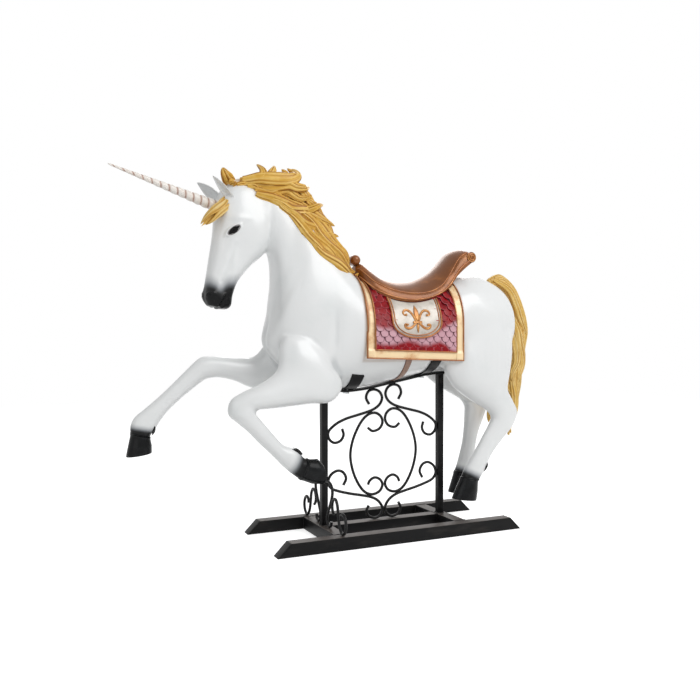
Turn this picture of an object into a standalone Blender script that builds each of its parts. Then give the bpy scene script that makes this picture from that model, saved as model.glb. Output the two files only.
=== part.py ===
"""Sit-on unicorn figure on a welded scrollwork stand.

A moulded fibreglass unicorn, faced towards -X, is bolted through its belly to a steel cradle. The cradle stands
on two posts, two cross tubes and two long runners. Lengths are in metres, +Z is up, and the origin lies on the
floor at the middle of the runners. The animal's left side is its -Y side.
"""

import math

import bmesh
import bpy
import numpy as np
from mathutils import Matrix, Vector

# Running gaps between pieces that touch
GAP = 0.0003
TRIM_GAP = 0.0008
OVERCUT = 0.0015

# Stand
RUNNER_LENGTH = 1.056
RUNNER_SPACING = 0.369
TUBE = 0.050
TUBE_WALL = 0.002
END_PLATE = 0.003
POST = 0.025
POST_WALL = 0.0015
POST_SPACING = 0.530
ROD = 0.010
STRAP_WIDTH = 0.050
BAND_THICKNESS = 0.005
BAR_THICKNESS = 0.008
BAR_GAP = 0.0006
BAR_LENGTH = 0.590
FRONT_BAND_X = -0.170
REAR_BAND_X = 0.172
FRONT_BAND_TOP = 0.645
REAR_BAND_TOP = 0.700

# Figure: every outline below is multiplied by FIGURE_SIZE, and the body's width by BODY_WIDTH
FIGURE_SIZE = 1.0
BODY_WIDTH = 1.0
BODY_WALL = 0.004
LIMB_WALL = 0.004
HEAD_YAW = math.radians(10.0)
POLL_X = -0.600

# Fastenings
BOLT = 0.008
BOLT_HOLE = 0.009
BOLT_ACROSS_FLATS = 0.013
BOLT_HEAD = 0.0053
NUT_HEIGHT = 0.0068
NUT_SEAT_GAP = 0.0005
BOLT_PITCH = 0.026
PLATE_THICKNESS = 0.006
PLATE_FRONT_X = -0.198
PLATE_REAR_X = 0.205
PLATE_WIDTH = 0.060
STUD = 0.010
STUD_HOLE = 0.011

# Tack
BLANKET_FRONT_X = -0.157
BLANKET_REAR_X = 0.272
BLANKET_THICKNESS = 0.007
HEM_FRONT_Z = 0.708
HEM_REAR_Z = 0.694
SHIELD_X = 0.058
SHIELD_HALF_WIDTH = 0.108
SHIELD_BELOW_SKIRT = 0.004
SHIELD_BOTTOM_Z = 0.787
SHIELD_ROUNDING = 0.060
SHIELD_THICKNESS = 0.003
FLEURON_THICKNESS = 0.003
FLEURON_Z = 0.862
GIRTH_X = 0.036
GIRTH_WIDTH = 0.028
GIRTH_THICKNESS = 0.0025
GIRTH_UNDER_HEM = 0.012

# Each station of a body or limb: (first edge x, z), (second edge x, z), half width, middle y, roundness power
TORSO = [
    ((0.588, 0.890), (0.588, 0.810), 0.030, 0.0, 2.0),
    ((0.578, 0.945), (0.582, 0.750), 0.095, 0.0, 2.0),
    ((0.545, 0.995), (0.550, 0.705), 0.135, 0.0, 2.1),
    ((0.475, 1.038), (0.480, 0.675), 0.160, 0.0, 2.1),
    ((0.385, 1.057), (0.385, 0.658), 0.172, 0.0, 2.1),
    ((0.290, 1.040), (0.290, 0.655), 0.172, 0.0, 2.1),
    ((0.180, 0.998), (0.180, 0.645), 0.170, 0.0, 2.1),
    ((0.060, 0.975), (0.060, 0.623), 0.170, 0.0, 2.1),
    ((-0.060, 0.987), (-0.060, 0.599), 0.168, 0.0, 2.1),
    ((-0.130, 1.018), (-0.130, 0.590), 0.164, 0.0, 2.1),
    ((-0.200, 1.085), (-0.200, 0.588), 0.158, 0.0, 2.1),
    ((-0.240, 1.150), (-0.350, 0.610), 0.148, 0.0, 2.1),
    ((-0.275, 1.215), (-0.497, 0.740), 0.128, 0.0, 2.1),
    ((-0.312, 1.270), (-0.494, 0.860), 0.108, 0.0, 2.1),
    ((-0.360, 1.320), (-0.480, 0.960), 0.092, 0.0, 2.1),
    ((-0.425, 1.360), (-0.478, 1.045), 0.082, 0.0, 2.1),
    ((-0.500, 1.378), (-0.495, 1.110), 0.074, 0.0, 2.1),
    ((-0.570, 1.368), (-0.540, 1.160), 0.066, 0.0, 2.1),
]
BARREL = range(4, 11)
TORSO_SIDES = 24
HEAD_SIDES = 14
HEAD = [
    ((-0.640, 1.372), (-0.560, 1.392), 0.030, 0.0, 2.0),
    ((-0.684, 1.325), (-0.508, 1.345), 0.064, 0.0, 2.1),
    ((-0.706, 1.265), (-0.477, 1.270), 0.080, 0.0, 2.2),
    ((-0.708, 1.200), (-0.474, 1.195), 0.083, 0.0, 2.2),
    ((-0.715, 1.140), (-0.503, 1.115), 0.074, 0.0, 2.2),
    ((-0.725, 1.080), (-0.568, 1.056), 0.060, 0.0, 2.2),
    ((-0.736, 1.020), (-0.618, 0.998), 0.050, 0.0, 2.2),
    ((-0.745, 0.970), (-0.639, 0.950), 0.047, 0.0, 2.2),
    ((-0.751, 0.932), (-0.648, 0.912), 0.045, 0.0, 2.2),
    ((-0.736, 0.903), (-0.668, 0.895), 0.032, 0.0, 2.0),
]
LEFT_FORELEG = [
    ((-0.470, 0.790), (-0.330, 0.770), 0.030, -0.100, 2.0),
    ((-0.487, 0.735), (-0.285, 0.690), 0.050, -0.108, 2.0),
    ((-0.492, 0.685), (-0.238, 0.612), 0.056, -0.116, 2.0),
    ((-0.512, 0.655), (-0.285, 0.547), 0.054, -0.123, 2.0),
    ((-0.555, 0.626), (-0.375, 0.541), 0.049, -0.127, 2.0),
    ((-0.600, 0.602), (-0.460, 0.534), 0.044, -0.130, 2.0),
    ((-0.645, 0.583), (-0.530, 0.529), 0.039, -0.130, 2.0),
    ((-0.673, 0.567), (-0.576, 0.526), 0.036, -0.130, 2.0),
    ((-0.686, 0.541), (-0.583, 0.519), 0.036, -0.130, 2.0),
    ((-0.684, 0.510), (-0.584, 0.512), 0.035, -0.130, 2.0),
    ((-0.656, 0.484), (-0.580, 0.505), 0.031, -0.130, 2.0),
    ((-0.618, 0.452), (-0.570, 0.495), 0.028, -0.130, 2.0),
    ((-0.568, 0.401), (-0.525, 0.443), 0.027, -0.130, 2.0),
    ((-0.517, 0.352), (-0.480, 0.396), 0.027, -0.130, 2.0),
    ((-0.478, 0.312), (-0.430, 0.379), 0.031, -0.130, 2.0),
    ((-0.440, 0.281), (-0.403, 0.345), 0.028, -0.130, 2.0),
    ((-0.412, 0.262), (-0.383, 0.335), 0.032, -0.130, 2.0),
    ((-0.368, 0.244), (-0.345, 0.334), 0.037, -0.130, 2.0),
    ((-0.320, 0.238), (-0.328, 0.316), 0.037, -0.130, 2.0),
]
RIGHT_FORELEG = [
    ((-0.430, 0.820), (-0.310, 0.750), 0.030, 0.095, 2.0),
    ((-0.465, 0.765), (-0.300, 0.680), 0.050, 0.104, 2.0),
    ((-0.515, 0.715), (-0.400, 0.585), 0.054, 0.112, 2.0),
    ((-0.575, 0.711), (-0.510, 0.588), 0.048, 0.115, 2.0),
    ((-0.630, 0.713), (-0.590, 0.620), 0.041, 0.115, 2.0),
    ((-0.680, 0.717), (-0.650, 0.634), 0.037, 0.115, 2.0),
    ((-0.720, 0.715), (-0.690, 0.633), 0.036, 0.115, 2.0),
    ((-0.747, 0.698), (-0.713, 0.626), 0.034, 0.115, 2.0),
    ((-0.790, 0.657), (-0.752, 0.598), 0.029, 0.115, 2.0),
    ((-0.842, 0.606), (-0.800, 0.560), 0.027, 0.115, 2.0),
    ((-0.893, 0.559), (-0.850, 0.514), 0.027, 0.115, 2.0),
    ((-0.938, 0.522), (-0.880, 0.475), 0.030, 0.115, 2.0),
    ((-0.974, 0.492), (-0.900, 0.443), 0.030, 0.115, 2.0),
    ((-0.988, 0.458), (-0.914, 0.428), 0.029, 0.115, 2.0),
    ((-0.986, 0.430), (-0.917, 0.415), 0.031, 0.115, 2.0),
    ((-0.994, 0.395), (-0.911, 0.388), 0.036, 0.115, 2.0),
    ((-1.004, 0.348), (-0.910, 0.360), 0.039, 0.115, 2.0),
]
LEFT_HINDLEG = [
    ((0.340, 0.940), (0.460, 0.960), 0.030, -0.085, 2.0),
    ((0.268, 0.875), (0.528, 0.900), 0.056, -0.103, 2.0),
    ((0.215, 0.770), (0.548, 0.800), 0.066, -0.112, 2.0),
    ((0.212, 0.675), (0.545, 0.715), 0.068, -0.117, 2.0),
    ((0.255, 0.595), (0.534, 0.640), 0.060, -0.118, 2.0),
    ((0.335, 0.537), (0.526, 0.592), 0.048, -0.116, 2.0),
    ((0.400, 0.501), (0.531, 0.562), 0.040, -0.114, 2.0),
    ((0.440, 0.474), (0.556, 0.523), 0.035, -0.112, 2.0),
    ((0.452, 0.447), (0.580, 0.474), 0.034, -0.110, 2.0),
    ((0.436, 0.416), (0.558, 0.416), 0.031, -0.110, 2.0),
    ((0.408, 0.374), (0.508, 0.364), 0.028, -0.110, 2.0),
    ((0.381, 0.332), (0.456, 0.308), 0.027, -0.110, 2.0),
    ((0.342, 0.276), (0.422, 0.254), 0.030, -0.110, 2.0),
    ((0.318, 0.240), (0.404, 0.222), 0.031, -0.110, 2.0),
    ((0.303, 0.205), (0.380, 0.194), 0.031, -0.110, 2.0),
    ((0.280, 0.165), (0.378, 0.152), 0.037, -0.110, 2.0),
    ((0.262, 0.128), (0.372, 0.114), 0.040, -0.110, 2.0),
]
RIGHT_HINDLEG = [
    ((0.340, 0.940), (0.460, 0.960), 0.030, 0.085, 2.0),
    ((0.268, 0.875), (0.528, 0.900), 0.056, 0.103, 2.0),
    ((0.215, 0.770), (0.548, 0.800), 0.066, 0.112, 2.0),
    ((0.214, 0.682), (0.546, 0.715), 0.068, 0.117, 2.0),
    ((0.282, 0.614), (0.534, 0.640), 0.060, 0.118, 2.0),
    ((0.350, 0.568), (0.528, 0.595), 0.048, 0.116, 2.0),
    ((0.408, 0.536), (0.536, 0.560), 0.040, 0.114, 2.0),
    ((0.448, 0.512), (0.556, 0.520), 0.035, 0.112, 2.0),
    ((0.466, 0.482), (0.572, 0.470), 0.034, 0.110, 2.0),
    ((0.466, 0.445), (0.558, 0.425), 0.031, 0.110, 2.0),
    ((0.462, 0.385), (0.534, 0.368), 0.027, 0.110, 2.0),
    ((0.453, 0.320), (0.518, 0.304), 0.027, 0.110, 2.0),
    ((0.438, 0.262), (0.508, 0.240), 0.031, 0.110, 2.0),
    ((0.424, 0.222), (0.496, 0.198), 0.029, 0.110, 2.0),
    ((0.413, 0.190), (0.480, 0.176), 0.032, 0.110, 2.0),
    ((0.397, 0.145), (0.482, 0.133), 0.037, 0.110, 2.0),
    ((0.382, 0.105), (0.480, 0.090), 0.040, 0.110, 2.0),
]
MANE = [
    ((-0.672, 1.415), (-0.655, 1.372), 0.014, -0.010, 2.0),
    ((-0.610, 1.408), (-0.588, 1.330), 0.045, -0.006, 2.0),
    ((-0.530, 1.440), (-0.520, 1.315), 0.064, -0.004, 2.0),
    ((-0.440, 1.446), (-0.437, 1.302), 0.070, -0.004, 2.0),
    ((-0.368, 1.405), (-0.392, 1.272), 0.072, -0.004, 2.0),
    ((-0.313, 1.345), (-0.348, 1.220), 0.074, -0.004, 2.0),
    ((-0.258, 1.270), (-0.308, 1.160), 0.074, -0.004, 2.0),
    ((-0.218, 1.190), (-0.268, 1.100), 0.070, -0.004, 2.0),
    ((-0.178, 1.120), (-0.215, 1.050), 0.056, -0.004, 2.0),
    ((-0.152, 1.075), (-0.178, 1.022), 0.034, -0.004, 2.0),
]
FORELOCK = [
    ((-0.652, 1.366), (-0.650, 1.345), 0.010, 0.000, 2.0),
    ((-0.680, 1.350), (-0.672, 1.295), 0.020, -0.012, 2.0),
    ((-0.702, 1.310), (-0.668, 1.262), 0.022, -0.040, 2.0),
    ((-0.730, 1.262), (-0.690, 1.215), 0.022, -0.058, 2.0),
    ((-0.758, 1.232), (-0.728, 1.190), 0.018, -0.064, 2.0),
    ((-0.782, 1.190), (-0.772, 1.176), 0.006, -0.066, 2.0),
]
TAIL = [
    ((0.505, 1.050), (0.525, 1.000), 0.018, 0.0, 2.0),
    ((0.568, 1.072), (0.572, 1.005), 0.030, 0.0, 2.0),
    ((0.640, 1.020), (0.596, 0.965), 0.040, 0.0, 2.0),
    ((0.690, 0.930), (0.606, 0.900), 0.046, 0.0, 2.0),
    ((0.716, 0.830), (0.612, 0.820), 0.046, 0.0, 2.0),
    ((0.702, 0.745), (0.612, 0.740), 0.045, 0.0, 2.0),
    ((0.688, 0.665), (0.604, 0.660), 0.042, 0.0, 2.0),
    ((0.684, 0.590), (0.604, 0.590), 0.038, 0.0, 2.0),
    ((0.668, 0.510), (0.608, 0.520), 0.032, 0.0, 2.0),
    ((0.650, 0.430), (0.602, 0.440), 0.024, 0.0, 2.0),
    ((0.632, 0.355), (0.612, 0.362), 0.010, 0.0, 2.0),
]
EAR = [
    ((-0.692, 1.300), (-0.640, 1.318), 0.014, 0.052, 2.0),
    ((-0.704, 1.322), (-0.650, 1.336), 0.015, 0.055, 2.0),
    ((-0.722, 1.345), (-0.680, 1.362), 0.012, 0.060, 2.0),
    ((-0.744, 1.364), (-0.734, 1.372), 0.004, 0.066, 2.0),
]
HORN_BASE = (-0.690, 1.2655)
HORN_TIP = (-1.094, 1.372)
HORN_RADIUS = 0.024
HORN_TIP_RADIUS = 0.003
HORN_TURNS = 13
EYE = (-0.640, 1.192)
EYE_RADIUS = 0.017
EYE_SPREAD = 0.066
HORN_STUD_SUNK = 0.012
HORN_STUD_REACH = 0.075
TAIL_STUD_START = (0.535, 0, 0.995)
TAIL_STUD_LINE = (0.060, 0, 0.030)

# Saddle, front to rear: x, height along the middle, half width, height of the edge
SADDLE = [
    (-0.135, 1.076, 0.030, 1.056),
    (-0.113, 1.086, 0.070, 1.022),
    (-0.085, 1.066, 0.098, 0.994),
    (-0.040, 1.036, 0.116, 0.976),
    (0.010, 1.022, 0.124, 0.964),
    (0.060, 1.019, 0.128, 0.957),
    (0.110, 1.024, 0.129, 0.957),
    (0.160, 1.040, 0.127, 0.966),
    (0.205, 1.063, 0.121, 0.986),
    (0.240, 1.090, 0.113, 1.020),
    (0.268, 1.117, 0.106, 1.058),
    (0.300, 1.146, 0.102, 1.098),
    (0.335, 1.160, 0.100, 1.122),
    (0.362, 1.152, 0.098, 1.120),
]
CANTLE_FREE_X = 0.255
CANTLE_UNDERSIDE_Z = 1.104
POMMEL_ROLL = (-0.134, 1.098, 0.021, 0.030)
CANTLE_ROLL = (0.362, 1.134, 0.017, 0.108)

# Side scrollwork, drawn for the rear half and mirrored for the front half: x, z of the rod's centre
UPPER_SCROLL = [
    (0.067, 0.531), (0.080, 0.557), (0.070, 0.583), (0.045, 0.591), (0.020, 0.581), (0.008, 0.557),
    (0.016, 0.532), (0.038, 0.513), (0.070, 0.500), (0.120, 0.487), (0.170, 0.474), (0.212, 0.455),
    (0.2437, 0.427), (0.2437, 0.398), (0.222, 0.379), (0.194, 0.385), (0.180, 0.408), (0.186, 0.434),
]
OVAL_SCROLL = [
    (0.072, 0.432), (0.050, 0.418), (0.020, 0.427), (0.006, 0.452), (0.014, 0.478), (0.040, 0.4935),
    (0.075, 0.4850), (0.108, 0.450), (0.138, 0.388), (0.150, 0.325), (0.140, 0.262), (0.116, 0.206),
    (0.086, 0.168), (0.052, 0.155), (0.020, 0.165), (0.006, 0.190), (0.016, 0.213), (0.040, 0.224),
    (0.062, 0.214), (0.072, 0.196),
]
LOWER_SCROLL = [
    (0.181, 0.203), (0.169, 0.230), (0.182, 0.256), (0.208, 0.264), (0.236, 0.248), (0.2465, 0.219),
    (0.232, 0.194), (0.200, 0.180), (0.150, 0.166), (0.100, 0.155), (0.055, 0.143), (0.024, 0.124),
    (0.006, 0.094), (0.016, 0.066), (0.040, 0.0556), (0.068, 0.066), (0.078, 0.088), (0.068, 0.110),
]
DRAWN_CLEARANCE = 0.495
DRAWN_POST = 0.025
UPPER_SCROLL_TOP_X = 0.045
UPPER_SCROLL_SHIFT = 0.012
UPPER_SCROLL_TOP_Z = 0.591
WELD_GAP = 0.0006

# Transverse scrolls at the front post, drawn for the right side: y, z of the rod's centre
POST_SCROLL = [
    (0.0150, 0.222), (0.050, 0.228), (0.078, 0.214), (0.086, 0.192), (0.078, 0.166), (0.062, 0.138),
    (0.046, 0.112), (0.034, 0.088), (0.036, 0.066), (0.054, 0.0556), (0.072, 0.062), (0.076, 0.078),
]
OUTER_SCROLL = [
    (0.100, 0.112), (0.087, 0.124), (0.084, 0.146), (0.096, 0.168), (0.118, 0.171), (0.134, 0.150),
    (0.141, 0.118), (0.150, 0.085), (0.166, 0.062), (0.188, 0.0556), (0.207, 0.070), (0.213, 0.095),
    (0.203, 0.119), (0.184, 0.129), (0.168, 0.121), (0.163, 0.105),
]


def make_material(name, color, roughness, metallic=0.0, coat=0.0):
    """A Principled material with one colour, given as linear red, green and blue."""
    material = bpy.data.materials.new(name)
    material.use_nodes = True
    shader = material.node_tree.nodes["Principled BSDF"]
    shader.inputs["Base Color"].default_value = (*color, 1.0)
    shader.inputs["Roughness"].default_value = roughness
    shader.inputs["Metallic"].default_value = metallic
    shader.inputs["Coat Weight"].default_value = coat
    return material


def add_object(name, mesh, material):
    """Puts a mesh in the scene, smooth where its faces meet at less than 40 degrees."""
    obj = bpy.data.objects.new(name, mesh)
    bpy.context.scene.collection.objects.link(obj)
    if material:
        mesh.materials.append(material)
    mesh.shade_smooth()
    mesh.set_sharp_from_angle(angle=math.radians(40))
    return obj


def mesh_from(bm, name):
    """Turns a bmesh into a mesh with its faces pointing out."""
    bmesh.ops.recalc_face_normals(bm, faces=bm.faces)
    mesh = bpy.data.meshes.new(name)
    bm.to_mesh(mesh)
    bm.free()
    return mesh


def hide_cutter(obj):
    """Keeps a helper out of the finished object."""
    obj.hide_render = True
    obj.display_type = "WIRE"
    return obj


def boolean(obj, other, operation="DIFFERENCE"):
    """Adds an exact Boolean with a hidden helper object."""
    modifier = obj.modifiers.new(other.name, "BOOLEAN")
    modifier.operation = operation
    modifier.object = other
    return obj


def smooth_rows(rows, steps):
    """Catmull-Rom curve through rows of numbers, with this many steps between two rows."""
    rows = np.array(rows, float)
    before = 2 * rows[:1] - rows[1:2]
    after = 2 * rows[-1:] - rows[-2:-1]
    p = np.vstack([before, rows, after])
    dense = []
    for i in range(len(rows) - 1):
        a, b, c, d = p[i : i + 4]
        for k in range(steps):
            t = k / steps
            dense.append(
                0.5 * (2 * b + (c - a) * t + (2 * a - 5 * b + 4 * c - d) * t**2 + (3 * b - a - 3 * c + d) * t**3)
            )
    dense.append(rows[-1])
    return np.array(dense)


def station_rows(stations, grow=0.0, width=1.0):
    """Stations as rows of numbers at the figure's size, grown outwards by a distance."""
    rows = []
    for (ax, az), (bx, bz), half, y, power in stations:
        a = Vector((ax, az)) * FIGURE_SIZE
        b = Vector((bx, bz)) * FIGURE_SIZE
        out = (a - b).normalized() * grow
        a, b = a + out, b - out
        rows.append((a.x, a.y, b.x, b.y, half * FIGURE_SIZE * width + grow, y * FIGURE_SIZE * width, power))
    return rows


def section_point(row, angle):
    """The point of a station's outline at an angle, measured from its first edge."""
    ax, az, bx, bz, half, y, power = row
    cosine, sine = math.cos(angle), math.sin(angle)
    along = math.copysign(abs(cosine) ** (2 / power), cosine)
    across = math.copysign(abs(sine) ** (2 / power), sine)
    middle = Vector(((ax + bx) / 2, y, (az + bz) / 2))
    edge = Vector(((ax - bx) / 2, 0, (az - bz) / 2))
    return middle + edge * along + Vector((0, half * across, 0))


def loft(name, rows, count, transform=None):
    """A closed skin of triangles through station outlines, with a fan over each end."""
    bm = bmesh.new()
    rings = []
    for row in rows:
        points = [section_point(row, math.tau * i / count) for i in range(count)]
        rings.append([bm.verts.new(p) for p in points])
    for first, second in zip(rings, rings[1:]):
        for i in range(count):
            j = (i + 1) % count
            bm.faces.new((first[i], first[j], second[j]))
            bm.faces.new((first[i], second[j], second[i]))
    for ring in (rings[0], rings[-1]):
        middle = bm.verts.new(sum((v.co for v in ring), Vector()) / count)
        for i in range(count):
            bm.faces.new((middle, ring[i], ring[(i + 1) % count]))
    if transform:
        bm.transform(transform)
    return mesh_from(bm, name)


def swept_box(name, grid, material):
    """A closed sheet of triangles from a grid of (inner point, outer point) pairs."""
    bm = bmesh.new()
    inner = [[bm.verts.new(pair[0]) for pair in line] for line in grid]
    outer = [[bm.verts.new(pair[1]) for pair in line] for line in grid]
    lines, columns = len(grid), len(grid[0])
    for i in range(lines - 1):
        for j in range(columns - 1):
            for side in (inner, outer):
                bm.faces.new((side[i][j], side[i][j + 1], side[i + 1][j + 1]))
                bm.faces.new((side[i][j], side[i + 1][j + 1], side[i + 1][j]))
    edge = [(0, j) for j in range(columns)]
    edge += [(i, columns - 1) for i in range(1, lines)]
    edge += [(lines - 1, j) for j in range(columns - 2, -1, -1)]
    edge += [(i, 0) for i in range(lines - 2, 0, -1)]
    for (i, j), (k, m) in zip(edge, edge[1:] + edge[:1]):
        bm.faces.new((inner[i][j], outer[i][j], outer[k][m], inner[k][m]))
    return add_object(name, mesh_from(bm, name), material)


def prism(name, outline, low, high, material, axis="Y"):
    """An outline extruded between two levels of an axis; the outline's numbers follow the other axes in order."""
    def place(first, second, level):
        if axis == "Y":
            return (first, level, second)
        if axis == "X":
            return (level, first, second)
        return (first, second, level)

    bm = bmesh.new()
    bottom = bm.faces.new([bm.verts.new(place(*point, low)) for point in outline])
    moved = bmesh.ops.extrude_face_region(bm, geom=[bottom])
    shift = Vector(place(0.0, 0.0, high - low))
    bmesh.ops.translate(bm, vec=shift, verts=[v for v in moved["geom"] if isinstance(v, bmesh.types.BMVert)])
    return add_object(name, mesh_from(bm, name), material)


def box(name, low, high, material=None):
    outline = [(low[0], low[1]), (high[0], low[1]), (high[0], high[1]), (low[0], high[1])]
    return prism(name, outline, low[2], high[2], material, axis="Z")


def cylinder(name, start, end, radius, sides=16, material=None, end_radius=None):
    """A round or many-sided bar between two points."""
    start, end = Vector(start), Vector(end)
    along = end - start
    bm = bmesh.new()
    bmesh.ops.create_cone(
        bm, cap_ends=True, segments=sides, radius1=radius,
        radius2=radius if end_radius is None else end_radius, depth=along.length,
    )
    turn = along.to_track_quat("Z", "Y").to_matrix().to_4x4()
    bm.transform(Matrix.Translation((start + end) / 2) @ turn)
    return add_object(name, mesh_from(bm, name), material)


def rod(name, points, material):
    """A bent round bar along a smooth curve, six-sided with its flats at the rod's diameter."""
    curve = bpy.data.curves.new(name, "CURVE")
    curve.dimensions = "3D"
    curve.bevel_depth = ROD / 2 / math.cos(math.pi / 6)
    curve.bevel_resolution = 1
    curve.use_fill_caps = True
    spline = curve.splines.new("POLY")
    path = smooth_rows(points, 2)
    spline.points.add(len(path) - 1)
    for place, point in zip(spline.points, path):
        place.co = (*point, 1.0)
    curve.materials.append(material)
    obj = bpy.data.objects.new(name, curve)
    bpy.context.scene.collection.objects.link(obj)
    return obj


def barrel_row(x, grow=0.0):
    """The torso's outline at a distance x along the barrel, where its stations stand upright."""
    dense = smooth_rows(station_rows(TORSO, grow, BODY_WIDTH), 16)
    part = dense[min(BARREL) * 16 : max(BARREL) * 16 + 1][::-1]
    return [float(np.interp(x, part[:, 0], part[:, k])) for k in range(part.shape[1])]


def belly_z(x):
    """Height of the lowest line of the torso."""
    dense = smooth_rows(station_rows(TORSO, 0.0, BODY_WIDTH), 16)[::-1]
    return float(np.interp(x, dense[:, 2], dense[:, 3]))


def surface_z(x, y, offset):
    """Height of the barrel's upper surface at a place, grown by an offset."""
    row = barrel_row(x, offset)
    share = min(1.0, abs(y) / row[4])
    return (row[1] + row[3]) / 2 + (row[1] - row[3]) / 2 * (1 - share ** row[6]) ** (1 / row[6])


def surface_y(x, z, offset):
    """How far out the blanket's surface lies at a height: it hangs straight below the widest place."""
    row = barrel_row(x, offset)
    middle, tall = (row[1] + row[3]) / 2, (row[1] - row[3]) / 2
    share = min(1.0, max(0.0, (z - middle) / tall))
    return row[4] * (1 - share ** row[6]) ** (1 / row[6])


def belly_angle(x, z):
    """The angle from the lowest line up to this height on the barrel's side."""
    row = barrel_row(x)
    share = ((row[1] + row[3]) / 2 - z) / ((row[1] - row[3]) / 2)
    return math.acos(max(-1.0, min(1.0, share)) ** (row[6] / 2))


def belly_wrap(name, x, width, angle, thickness, material, columns=3, turns=16):
    """A band round the underside of the barrel, from one side to the other."""
    places = [x + width * (j / (columns - 1) - 0.5) for j in range(columns)]
    inner = [barrel_row(p, -OVERCUT) for p in places]
    outer = [barrel_row(p, TRIM_GAP + thickness) for p in places]
    grid = []
    for i in range(turns + 1):
        bearing = math.pi + angle * (2 * i / turns - 1)
        grid.append([(section_point(a, bearing), section_point(b, bearing)) for a, b in zip(inner, outer)])
    return swept_box(name, grid, material)


def blanket_grid(inner, outer):
    """Pairs of points over the back and down both sides, with a straight hang below the widest place."""
    columns, wraps, drops = 9, 6, 2
    grid = []
    for i in range(columns + 1):
        share = i / columns
        x = (BLANKET_FRONT_X + (BLANKET_REAR_X - BLANKET_FRONT_X) * share) * FIGURE_SIZE
        hem = (HEM_FRONT_Z + (HEM_REAR_Z - HEM_FRONT_Z) * share) * FIGURE_SIZE
        layers = []
        for offset in (inner, outer):
            row = barrel_row(x, offset)
            middle = (row[1] + row[3]) / 2
            half = [section_point(row, math.pi / 2 * k / wraps) for k in range(wraps + 1)]
            half += [Vector((x, row[4], middle + (hem - middle) * k / drops)) for k in range(1, drops + 1)]
            layers.append([Vector((x, -p.y, p.z)) for p in reversed(half)] + half[1:])
        grid.append(list(zip(*layers)))
    return grid


def head_matrix():
    """Turns the head about the upright line through the poll, its nose towards -Y."""
    pivot = Vector((POLL_X * FIGURE_SIZE, 0, 0))
    return Matrix.Translation(pivot) @ Matrix.Rotation(HEAD_YAW, 4, "Z") @ Matrix.Translation(-pivot)


def open_tube(name, low, high, wall, axis, material):
    """A square tube along X, Y or Z with open ends."""
    obj = box(name, low, high, material)
    core_low = [v + wall for v in low]
    core_high = [v - wall for v in high]
    core_low[axis] = low[axis] - TUBE
    core_high[axis] = high[axis] + TUBE
    return boolean(obj, hide_cutter(box(name + "_bore", core_low, core_high)))


def make_runner(name, side, material):
    """A long floor tube with its ends cut at 45 degrees, and a plate welded on each end."""
    y = side * RUNNER_SPACING / 2
    half = RUNNER_LENGTH / 2 - END_PLATE
    outline = [(-half, 0), (half, 0), (half - TUBE, TUBE), (-half + TUBE, TUBE)]
    runner = prism(name, outline, y - TUBE / 2, y + TUBE / 2, material)
    low = (-RUNNER_LENGTH, y - TUBE / 2 + TUBE_WALL, TUBE_WALL)
    high = (RUNNER_LENGTH, y + TUBE / 2 - TUBE_WALL, TUBE - TUBE_WALL)
    boolean(runner, hide_cutter(box(name + "_bore", low, high)))
    for end, word in ((-1, "front"), (1, "rear")):
        foot = end * (half + GAP)
        plate = [
            (foot, 0), (foot + end * END_PLATE, 0),
            (foot + end * (END_PLATE - TUBE), TUBE), (foot - end * TUBE, TUBE),
        ]
        prism(f"{name}_{word}_end_plate", plate, y - TUBE / 2, y + TUBE / 2, material)


def bar_top(x):
    """Upper face of the belly bar, below the bands."""
    return belly_z(x) - TRIM_GAP - BAND_THICKNESS - BAR_GAP


def make_base(material):
    """Runners, cross tubes and the tube between them."""
    make_runner("left_runner", -1, material)
    make_runner("right_runner", 1, material)
    reach = RUNNER_SPACING / 2 - TUBE / 2 - GAP
    for end, word in ((-1, "front"), (1, "rear")):
        x = end * POST_SPACING / 2
        low, high = (x - TUBE / 2, -reach, 0), (x + TUBE / 2, reach, TUBE)
        open_tube(f"{word}_cross_tube", low, high, TUBE_WALL, 1, material)
    length = POST_SPACING / 2 - TUBE / 2 - GAP
    open_tube("centre_tube", (-length, -TUBE / 2, 0), (length, TUBE / 2, TUBE), TUBE_WALL, 0, material)


def make_posts(material):
    """Two upright square tubes whose tops are cut to the slope of the belly bar."""
    for end, word in ((-1, "front"), (1, "rear")):
        x = end * POST_SPACING / 2
        outline = [(x - POST / 2, TUBE + GAP), (x + POST / 2, TUBE + GAP)]
        outline += [(p, bar_top(p) - BAR_THICKNESS - GAP) for p in (x + POST / 2, x - POST / 2)]
        post = prism(f"{word}_post", outline, -POST / 2, POST / 2, material)
        core = POST / 2 - POST_WALL
        boolean(post, hide_cutter(box(f"{word}_post_bore", (x - core, -core, 0), (x + core, core, 1))))


def make_cradle(material):
    """The strap under the belly and the two bands across it."""
    count = 24
    places = [BAR_LENGTH * (i / count - 0.5) for i in range(count + 1)]
    outline = [(x, bar_top(x)) for x in places]
    outline += [(x, bar_top(x) - BAR_THICKNESS) for x in reversed(places)]
    bar = prism("belly_bar", outline, -STRAP_WIDTH / 2, STRAP_WIDTH / 2, material)
    bands = []
    for name, x, top in (("front_band", FRONT_BAND_X, FRONT_BAND_TOP), ("rear_band", REAR_BAND_X, REAR_BAND_TOP)):
        angle = belly_angle(x, top * FIGURE_SIZE)
        bands.append(belly_wrap(name, x, STRAP_WIDTH, angle, BAND_THICKNESS, material))
    return [bar, *bands]


def scroll_stretch():
    """How much wider than drawn the scrolls are: their rods' centres just clear the posts."""
    return (POST_SPACING - POST - ROD) / DRAWN_CLEARANCE


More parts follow.
